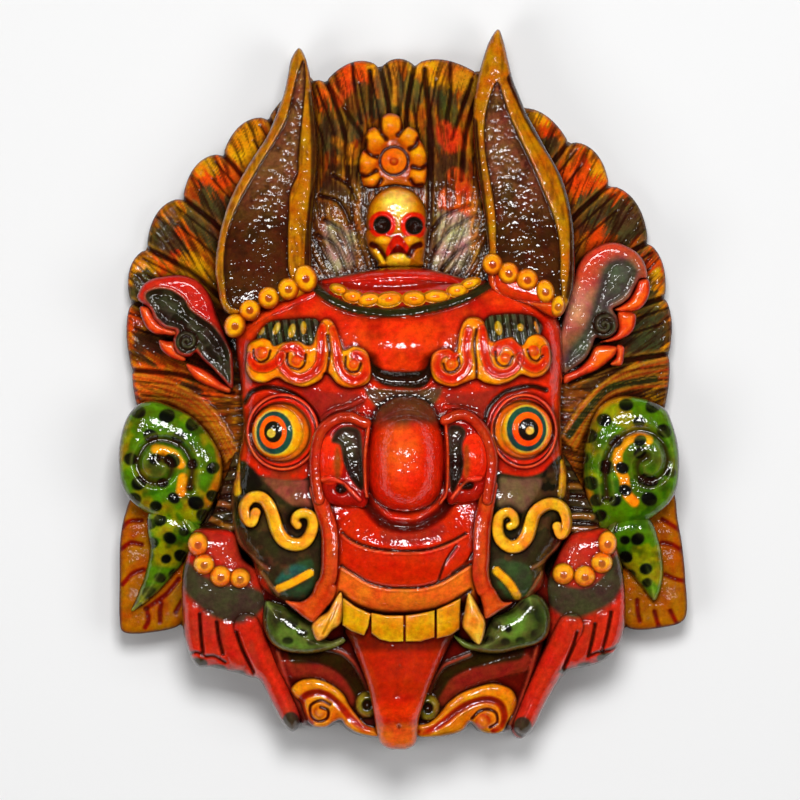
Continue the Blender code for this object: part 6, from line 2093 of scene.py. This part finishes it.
LEFT_JAW_SCROLL = [
    (-66.6, -179.4), (-61.2, -174.6), (-52.2, -173.4), (-43.2, -176.4), (-35.4, -182.4), (-31.2, -189.6),
    (-26.4, -196.2), (-21.6, -201), (-15.6, -203.4), (-14.4, -208.2), (-22.2, -207.6), (-28.2, -205.8),
    (-33.6, -202.2), (-36.6, -198.6), (-40.8, -199.8), (-45.6, -202.8), (-51.6, -202.8), (-56.4, -199.8),
    (-59.4, -193.8), (-61.2, -187.8), (-64.8, -184.2),
]
RIGHT_JAW_SCROLL = [
    (9.6, -201.6), (15.6, -199.8), (21.6, -195), (27.6, -187.8), (34.8, -182.4), (43.8, -178.8),
    (54, -176.4), (62.4, -178.2), (67.2, -181.8), (69, -187.8), (67.2, -193.8), (63.6, -199.8),
    (60.6, -205.2), (54.6, -207), (48, -205.8), (43.2, -201.6), (40.8, -199.8), (36, -205.2),
    (28.8, -207.6), (19.8, -208.8), (9.6, -208.2),
]
LEFT_SNAKE = [
    (-81.6, -126.6), (-74.4, -127.8), (-67.2, -130.8), (-60, -135.6), (-52.2, -139.8), (-48.6, -147),
    (-43.2, -150), (-36, -148.2), (-33.6, -151.2), (-40.2, -155.4), (-52.2, -158.4), (-64.2, -158.4),
    (-73.2, -156), (-79.8, -150.6), (-83.4, -141.6), (-83.4, -132.6),
]
RIGHT_SNAKE = [
    (30, -146.4), (39.6, -150.6), (46.8, -150.6), (50.4, -143.4), (54, -136.2), (63.6, -132),
    (69.6, -126.6), (75.6, -121.8), (83.4, -124.2), (88.2, -131.4), (89.4, -139.8), (87, -148.2),
    (81, -153), (69.6, -156), (58.8, -158.4), (46.8, -157.8), (36, -154.2),
]


def jaw_top(x, y):
    """The jaw under the teeth, lower towards its foot."""
    return JAW_TOP - JAW_FALL * ramp((-140.0 - y) / 60.0) - 10.0 * (x / 80.0) ** 2


def jaw(material):
    """The lower jaw: dark and red bands that arch away from the tongue."""
    slab = Slab("jaw", [ring(JAW)], foot=over_back)
    slab.form(jaw_top, drop=8.0, rounding=8.0)
    slab.coat(colour(84, 12, 8))
    for dark, red, vein, edge in (
        (
            [(-63.6, -159.6), (-46.2, -160.2), (-35.4, -165.6), (-28.2, -174.6), (-22.8, -184.2)],
            [(-69.6, -167.4), (-55.2, -168.6), (-43.2, -173.4), (-34.2, -180.6), (-30, -185.4)],
            [(-45.6, -155.4), (-36, -157.8), (-28.8, -163.8), (-23.4, -173.4), (-18.6, -185.4)],
            [(-74.4, -157.8), (-70.8, -169.8), (-66.6, -180.6), (-61.2, -190.2), (-57.6, -198.6)],
        ),
        (
            [(68.4, -157.8), (52.8, -160.2), (37.8, -163.2), (26.4, -169.8), (18.6, -181.8)],
            [(73.2, -163.8), (58.8, -167.4), (43.8, -172.2), (31.8, -178.2), (22.8, -185.4)],
            [(40.8, -159), (31.8, -162.6), (24.6, -166.2), (19.2, -174.6), (15, -184.2)],
            [(81, -154.2), (78, -166.2), (74.4, -178.2), (69.6, -190.2), (64.8, -201)],
        ),
    ):
        slab.stroke(spline(red), 5.4, colour(126, 38, 28), soft=1.6)
        slab.stroke(spline(dark), 5.0, colour(40, 28, 10), soft=1.4)
        slab.cord(spline(red), 5.4, 1.2)
        for line in (vein, edge):
            slab.ridge(spline(line), 1.8, 1.6, 0.6, colour(150, 60, 48), soft=0.7)
    for cx, cy in ((-21, -189), (15.6, -190.8)):
        slab.ball(cx, cy, 6.8, 8.0, JAW_BALL_TOP - 6.0, JAW_BALL_TOP)
        slab.dot(cx, cy, 6.8, 8.0, colour(120, 104, 30), soft=0.6)
        slab.dot(cx, cy - 0.4, 3.4, 4.0, colour(24, 20, 8), soft=0.6)
        slab.swell(cx, cy, 4.0, 4.6, -3.0)
    # Painted shade round the scrolls, the snake and the tongue that stand on the jaw
    for loop in (LEFT_JAW_SCROLL, RIGHT_JAW_SCROLL, LEFT_SNAKE, RIGHT_SNAKE):
        slab.shade(ring(loop), 4.0, 0.85)
    slab.shade(ring(TONGUE), 4.0, 0.85)
    slab.wash_wear_shade_and_highlight(deep=1.3, wash_and_shade=0.65, wear=0.25)
    slab.build(material)


def jaw_scrolls(material):
    """The scrolls on the jaw: yellow, with a red stripe that curls in round a red ball."""
    for name, loop, stripe, curl, ball in (
        (
            "jaw_scroll_left",
            LEFT_JAW_SCROLL,
            [
                (-15, -205.2), (-23.4, -203.4), (-30.6, -197.4), (-36.6, -190.2), (-43.2, -184.2),
                (-50.4, -181.8), (-57.6, -183.6), (-60.6, -188.4), (-58.8, -195), (-54.6, -199.8),
            ],
            [
                (-43.2, -189), (-48.6, -186.6), (-54.6, -189.6), (-54.6, -195.6), (-50.4, -199.2),
                (-45, -197.4), (-44.4, -192.6), (-48.6, -190.8),
            ],
            (-49.2, -193.8, 2.6),
        ),
        (
            "jaw_scroll_right",
            RIGHT_JAW_SCROLL,
            [
                (10.2, -205.8), (18, -204), (25.8, -198.6), (32.4, -193.2), (40.8, -188.4), (49.8, -186),
                (57.6, -187.8), (61.2, -193.8), (60, -201), (55.2, -204.6),
            ],
            [(42, -197.4), (46.2, -193.2), (51.6, -192), (56.4, -194.4), (57, -199.8), (52.8, -202.8)],
            (48.6, -199.2, 4.4),
        ),
    ):
        slab = Slab(name, [ring(loop)], foot=flat(JAW_SCROLL_FOOT))
        slab.form(lambda x, y: jaw_top(x, y) + JAW_SCROLL_RISE, drop=5.0, rounding=6.0)
        slab.coat(colour(192, 100, 2))
        slab.coat(colour(218, 140, 6), ramp((slab.y + 190.0) / 8.0) * 0.8)
        slab.coat(colour(120, 92, 10), ramp((-202.0 - slab.y) / 5.0) * 0.7)
        slab.groove(spline(stripe), 3.4, 1.4, 2.2, colour(164, 32, 4), soft=0.7)
        slab.groove(spline(curl), 1.6, 1.6, 0.8, colour(96, 18, 4), soft=0.6)
        bx, by, radius = ball
        slab.swell(bx, by, radius + 1.0, radius + 1.0, 2.4)
        slab.dot(bx, by, radius, radius, colour(176, 40, 10), soft=0.7)
        slab.wash_wear_shade_and_highlight(deep=0.9, wash_and_shade=0.6, wear=0.35, wear_and_highlight_paint=colour(240, 176, 50))
        slab.build(material)


def snake(material):
    """The snake's body where the hands hold it across the mouth."""
    for name, loop, spots, pale in (
        (
            "snake_left",
            LEFT_SNAKE,
            (
                (-80.4, -133.8, 2.4, 5.4), (-75, -135, 3, 5.4), (-66, -139.8, 4.2, 3.6),
                (-68.4, -150.6, 3.6, 2.4), (-59.4, -145.8, 3.6, 2.4), (-54, -151.8, 3, 1.8),
            ),
            [
                (-75.6, -145.8), (-70.2, -141), (-62.4, -138.6), (-54, -142.2), (-50.4, -150.6),
                (-57.6, -155.4), (-67.2, -154.2), (-73.2, -150.6),
            ],
        ),
        (
            "snake_right",
            RIGHT_SNAKE,
            (
                (73.2, -129, 3.6, 3.6), (82.8, -133.8, 3.6, 6), (80.4, -147, 3.6, 3.6),
                (70.8, -150.6, 3, 2.4), (61.8, -151.2, 3, 2.4), (52.2, -150.6, 3, 3),
                (63.6, -143.4, 2.4, 2.4), (56.4, -141, 3, 3),
            ),
            [
                (55.2, -139.8), (63.6, -137.4), (70.8, -133.8), (78, -136.2), (80.4, -143.4),
                (73.2, -148.2), (61.8, -150.6), (54, -148.2),
            ],
        ),
    ):
        slab = Slab(name, [ring(loop)], foot=flat(SNAKE_FOOT))
        slab.form(lambda x, y: SNAKE_TOP - 5.0 * (x / 80.0) ** 2, drop=10.0, rounding=11.0)
        slab.coat(colour(44, 58, 20))
        slab.fill(ring(pale), colour(84, 116, 50), soft=3.0)
        lower_edge = ramp((3.2 - slab.edge) / 2.0) * ramp((-150.0 - slab.y) / 4.0)
        slab.coat(colour(96, 96, 20), lower_edge * 0.9)
        slab.coat(colour(20, 22, 12), ramp((np.abs(slab.x) - 70.0) / 14.0) * 0.7)
        for sx, sy, rx, ry in spots:
            slab.dot(sx, sy, rx, ry, colour(16, 20, 14), soft=0.9)
        slab.wash_wear_shade_and_highlight(deep=1.2, wash_and_shade=0.6, wear=0.35, wear_and_highlight_paint=colour(150, 180, 110))
        slab.build(material)


def tufts(material):
    """Dark tufts with orange stripes, behind the cheeks."""
    for name, loop, stripes in (
        (
            "tuft_left",
            [
                (-99.6, -37.8), (-104.4, -48.6), (-108, -57.6), (-111, -68.4), (-116.4, -78.6),
                (-123.6, -85.8), (-112.2, -90.6), (-94.2, -91.8), (-90, -66.6), (-93.6, -47.4),
            ],
            (
                [(-110.4, -68.4), (-105.6, -69.6), (-100.8, -72)],
                [(-114.6, -78), (-109.2, -80.4)],
                [(-106.8, -81.6), (-100.8, -83.4)],
            ),
        ),
        (
            "tuft_right",
            [
                (94.8, -37.8), (100.8, -44.4), (106.2, -54.6), (112.2, -66.6), (118.2, -78.6),
                (119.4, -88.8), (103.8, -91.8), (90, -93.6), (87.6, -66.6), (89.4, -46.2),
            ],
            (
                [(94.8, -58.8), (100.8, -58.2), (107.4, -58.2)],
                [(100.8, -76.8), (106.8, -76.2), (114, -76.8)],
                [(100.2, -84), (106.8, -84), (116.4, -84)],
            ),
        ),
    ):
        slab = Slab(name, [ring(loop)], foot=over_back)
        slab.form(TUFT_TOP, drop=4.0, rounding=6.0)
        slab.coat(colour(30, 26, 16))
        side = np.sign(slab.x.mean())
        for level in np.arange(-42.0, -83.0, -8.0):
            strand = [(side * 92.0, level - 5.0), (side * 104.0, level - 6.0), (side * 120.0, level - 8.0)]
            slab.cut(spline(strand), 2.4, 2.0)
        for line in stripes:
            slab.ridge(spline(line), 2.4, 1.4, 1.5, colour(150, 84, 20), soft=0.8)
        slab.wash_wear_shade_and_highlight(deep=1.2, wash_and_shade=0.6, wear=0.3, wear_and_highlight_paint=colour(110, 96, 70))
        slab.build(material)


def tongue_top(x, y):
    """The tongue falls towards its tip, with a hump before it."""
    lean = (y + 216.0) * -0.022
    z = TONGUE_TOP - TONGUE_FALL * ramp((-172.0 - y) / 52.0) - 0.012 * (x - lean) ** 2
    return z + 2.6 * bump(np.abs(y + 192.0), 14.0)


def tongue(material):
    """The tongue, with a bright hump above its orange tip."""
    slab = Slab("tongue", [ring(TONGUE)], foot=over_back)
    slab.form(tongue_top, drop=7.0, rounding=7.0)
    x, y = slab.x, slab.y
    slab.coat(colour(168, 32, 4))
    # Painted shade at the top of the tongue, under the teeth
    slab.coat(colour(90, 18, 4), ramp((y + 159.0) / 5.0) * 0.85)
    slab.coat(colour(214, 48, 6), bump(np.abs(y + 193.0), 9.0))
    ragged = 1.5 * (cloud(x / 3.0, y / 3.0, 95) - 0.5)
    slab.coat(colour(206, 98, 30), ramp((-198.0 - y + ragged) / 5.0))
    slab.swell(-1.8, -202.2, 1.6, 2.6, -1.6)
    slab.cut(spline([(-1, -150), (-2.4, -168), (-2.6, -182)]), 5.0, 0.7)
    slab.wash_wear_shade_and_highlight(deep=1.3, wash_and_shade=0.45, wear=0.25, wear_and_highlight_paint=colour(238, 110, 60))
    slab.build(material)


def board(material):
    """The back of the block: bare gouged wood, flat round the edge and hollow behind the head."""
    slab = Slab("back", OUTLINES, foot=underside, inset=BOARD_INSET)
    x, y = slab.x, slab.y
    slab.z = underside(x, y) + BOARD - BOARD_THINNED * ramp((y - 184.0) / 8.0)
    slab.coat(colour(120, 78, 44))
    slab.build(material, side=colour(104, 66, 38), rows=1)


# How the old varnish tints red, green and blue: warm
VARNISH = (1.32, 1.0, 0.62)
# How far brush marks and patches darken and lighten the paint
BRUSH_TONES = (0.68, 1.26)
PATCH_TONES = (1.5, 0.6)
# The noise's lowest and highest values that count
NOISE_RANGE = (0.3, 0.7)
# Waves to the metre in the patches, brush marks, pits and ripples
PATCHES, BRUSH_MARKS, PITS, RIPPLES = 90.0, 260.0, 620.0, 330.0
# How much smoother and rougher the patches make the paint
SMOOTHER, ROUGHER = 0.08, 0.1
# The depth of brush marks and pits in metres, the pits' share in it, and the depth of the coat's ripples
PAINT_RELIEF, PIT_SHARE, RIPPLE_DEPTH = 0.0008, 0.8, 0.001
MOST_RIPPLED = 0.5
SPECULAR = 0.02
COAT_ROUGHNESS = 0.06


def new_node(material, kind, values=(), **settings):
    """A shader node with its settings, and the values of its inputs."""
    node = material.node_tree.nodes.new("ShaderNode" + kind)
    for name, value in settings.items():
        setattr(node, name, value)
    set_inputs(node, values)
    return node


def set_inputs(node, values):
    """Sets a node's inputs by name or number."""
    for name, value in dict(values).items():
        node.inputs[name].default_value = value


def new_material(name):
    """A material, with its shader and the function that links its nodes."""
    material = bpy.data.materials.new(name)
    material.use_nodes = True
    return material, material.node_tree.nodes["Principled BSDF"], material.node_tree.links.new


def lacquer(name, bump_strength, roughness, coat):
    """Old glossy paint: the piece's painted colours with brush marks, fine pits and worn patches."""
    material, shader, link = new_material(name)
    place = new_node(material, "TexCoord")

    def grain(scale, detail, rough=0.6):
        node = new_node(material, "TexNoise", {"Scale": scale, "Detail": detail, "Roughness": rough})
        link(place.outputs["Object"], node.inputs["Vector"])
        return node.outputs["Fac"]

    def spread(source, low, high):
        ends = dict(zip(("From Min", "From Max", "To Min", "To Max"), (*NOISE_RANGE, low, high)))
        node = new_node(material, "MapRange", ends)
        link(source, node.inputs["Value"])
        return node.outputs["Result"]

    patches = grain(PATCHES, 3.0)
    brush_marks = grain(BRUSH_MARKS, 5.0, 0.7)
    red, green, blue = (spread(brush_marks, *(tone * share for tone in BRUSH_TONES)) for share in VARNISH)
    mottled = new_node(material, "Math", operation="MULTIPLY")
    link(green, mottled.inputs[0])
    link(spread(patches, *PATCH_TONES), mottled.inputs[1])
    tint = new_node(material, "CombineColor")
    for channel, source in (("Red", red), ("Green", mottled.outputs["Value"]), ("Blue", blue)):
        link(source, tint.inputs[channel])
    paint = new_node(material, "Attribute", attribute_name="paint")
    tinted = new_node(material, "Mix", {"Factor": 1.0}, data_type="RGBA", blend_type="MULTIPLY")
    link(paint.outputs["Color"], tinted.inputs["A"])
    link(tint.outputs["Color"], tinted.inputs["B"])
    link(tinted.outputs["Result"], shader.inputs["Base Color"])
    link(spread(patches, roughness - SMOOTHER, roughness + ROUGHER), shader.inputs["Roughness"])
    set_inputs(shader, {"Specular IOR Level": SPECULAR})
    set_inputs(shader, {"Coat Weight": coat, "Coat Roughness": COAT_ROUGHNESS})
    rises = new_node(material, "Math", {1: PIT_SHARE}, operation="MULTIPLY_ADD")
    link(grain(PITS, 3.0, 0.7), rises.inputs[0])
    link(brush_marks, rises.inputs[2])
    relief = new_node(material, "Bump", {"Strength": bump_strength, "Distance": PAINT_RELIEF})
    link(rises.outputs["Value"], relief.inputs["Height"])
    link(relief.outputs["Normal"], shader.inputs["Normal"])
    rippled = min(bump_strength, MOST_RIPPLED)
    ripples = new_node(material, "Bump", {"Strength": rippled, "Distance": RIPPLE_DEPTH})
    link(grain(RIPPLES, 1.5), ripples.inputs["Height"])
    link(ripples.outputs["Normal"], shader.inputs["Coat Normal"])
    return material


# Bare wood: its grain's waves to the metre each way, its tones, and its gouges to the metre and their depth
WOOD_GRAIN = (180.0, 16.0, 180.0)
WOOD_TONES = ((0.3, colour(84, 50, 26)), (0.72, colour(158, 108, 64)))
WOOD_ROUGHNESS = 0.72
GOUGES, GOUGE_SHARE, GOUGE_DEPTH = 110.0, 0.6, 0.002


def bare_wood():
    """The unpainted back: brown wood with grain along the face and gouge marks."""
    material, shader, link = new_material("bare_wood")
    place = new_node(material, "TexCoord")
    stretch = new_node(material, "Mapping", {"Scale": WOOD_GRAIN})
    link(place.outputs["Object"], stretch.inputs["Vector"])
    grain = new_node(material, "TexNoise", {"Scale": 1.0, "Detail": 5.0})
    link(stretch.outputs["Vector"], grain.inputs["Vector"])
    tones = new_node(material, "ValToRGB")
    for stop, (position, paint) in zip(tones.color_ramp.elements, WOOD_TONES):
        stop.position = position
        stop.color = (*paint, 1.0)
    link(grain.outputs["Fac"], tones.inputs["Fac"])
    link(tones.outputs["Color"], shader.inputs["Base Color"])
    gouges = new_node(material, "TexVoronoi", {"Scale": GOUGES})
    link(place.outputs["Object"], gouges.inputs["Vector"])
    rises = new_node(material, "Math", {1: GOUGE_SHARE}, operation="MULTIPLY_ADD")
    link(gouges.outputs["Distance"], rises.inputs[0])
    link(grain.outputs["Fac"], rises.inputs[2])
    relief = new_node(material, "Bump", {"Strength": 0.5, "Distance": GOUGE_DEPTH})
    link(rises.outputs["Value"], relief.inputs["Height"])
    link(relief.outputs["Normal"], shader.inputs["Normal"])
    set_inputs(shader, {"Roughness": WOOD_ROUGHNESS})
    return material


FLOOR_HALF = 30.0
FLOOR_GAP = 0.0005
FLOOR_LOOKS = {"Base Color": (0.88, 0.88, 0.88, 1.0), "Roughness": 0.9, "Specular IOR Level": 0.1}


def floor():
    """A plain pale floor under the mask."""
    mesh = bpy.data.meshes.new("floor")
    corners = [(x * FLOOR_HALF, y * FLOOR_HALF, 0.0) for x, y in ((-1, -1), (1, -1), (1, 1), (-1, 1))]
    mesh.from_pydata(corners, [], [(0, 1, 2, 3)])
    material, shader, _ = new_material("pale_floor")
    set_inputs(shader, FLOOR_LOOKS)
    mesh.materials.append(material)
    plane = bpy.data.objects.new("floor", mesh)
    plane.location = (0.0, 0.0, CAD_BOX[0].z - FLOOR_GAP)
    bpy.context.collection.objects.link(plane)


# Each lamp's place, aim, size and power. Those called glint show only as highlights on the varnish
LAMPS = {
    "key": ((0.05, 0.75, 2.15), (0.0, 0.0, 0.05), 0.7, 34.0),
    "fill_left": ((-1.3, -0.7, 1.9), (0.0, 0.0, 0.0), 1.2, 14.0),
    "fill_right": ((1.4, -0.2, 1.9), (0.0, 0.0, 0.0), 1.2, 12.0),
    "glint_middle": ((0.0, 0.46, 2.2), (0.0, 0.0, 0.05), 0.5, 26.0),
    "glint_left": ((-0.95, 0.5, 1.9), (0.0, 0.0, 0.05), 0.24, 9.0),
    "glint_right": ((0.95, 0.45, 1.9), (0.0, 0.0, 0.05), 0.24, 9.0),
}
WORLD_STRENGTH = 0.12


def lights():
    """Soft studio light from above the horns and beside the camera, with small lamps for the glints."""
    for name, (place, aim, size, power) in LAMPS.items():
        data = bpy.data.lights.new(name, "AREA")
        data.size = size
        data.energy = power
        lamp = bpy.data.objects.new(name, data)
        lamp.location = place
        lamp.rotation_euler = (Vector(aim) - Vector(place)).to_track_quat("-Z", "Y").to_euler()
        lamp.visible_glossy = name.startswith("glint")
        lamp.visible_diffuse = not lamp.visible_glossy
        bpy.context.collection.objects.link(lamp)
    world = bpy.data.worlds.new("studio")
    bpy.context.scene.world = world
    world.use_nodes = True
    background = world.node_tree.nodes["Background"]
    set_inputs(background, {"Color": (1.0, 1.0, 1.0, 1.0), "Strength": WORLD_STRENGTH})
    world.cycles_visibility.glossy = False


# The photograph's frame, in drawing millimetres, and the camera's height, reach and focus in metres
FRAME_WIDTH = 480.0
FRAME_MIDDLE = (-1.2, -6.6)
CAMERA_HEIGHT = 9.0
CAMERA_REACH = 100.0
FOCUS_HEIGHT = 0.045


def camera():
    """Straight above the lying mask, from far off, with the photograph's frame."""
    data = bpy.data.cameras.new("camera")
    data.lens = data.sensor_width * (CAMERA_HEIGHT - FOCUS_HEIGHT) / (FRAME_WIDTH * PLAN)
    data.clip_end = CAMERA_REACH
    eye = bpy.data.objects.new("camera", data)
    aim = to_frame([(*FRAME_MIDDLE, 0.0)])[0]
    eye.location = (aim[0], aim[1], CAMERA_HEIGHT)
    bpy.context.collection.objects.link(eye)
    bpy.context.scene.camera = eye


smooth = lacquer("lacquer", bump_strength=0.36, roughness=0.4, coat=0.9)
brushed = lacquer("brushed_lacquer", bump_strength=0.7, roughness=0.45, coat=0.4)
dull = lacquer("dull_lacquer", bump_strength=0.6, roughness=0.5, coat=0.12)
satin = lacquer("satin_lacquer", bump_strength=0.16, roughness=0.4, coat=0.5)
beaten = lacquer("beaten_lacquer", bump_strength=0.9, roughness=0.4, coat=0.9)

board(bare_wood())
crest(brushed)
horns(beaten)
rosette(satin)
skull(smooth)
ears(satin)
side_feathers(dull)
for make in (tails, coils, tufts, jaw, jaw_scrolls, snake, tongue, hands, face, scrolls, eyes, combs, brows):
    make(smooth)
for make in (nose, wings, ribbons, folds):
    make(beaten)
for make in (teeth, fangs, diadem, garland):
    make(smooth)
floor()
lights()
camera()
bpy.context.scene.view_settings.view_transform = "Standard"
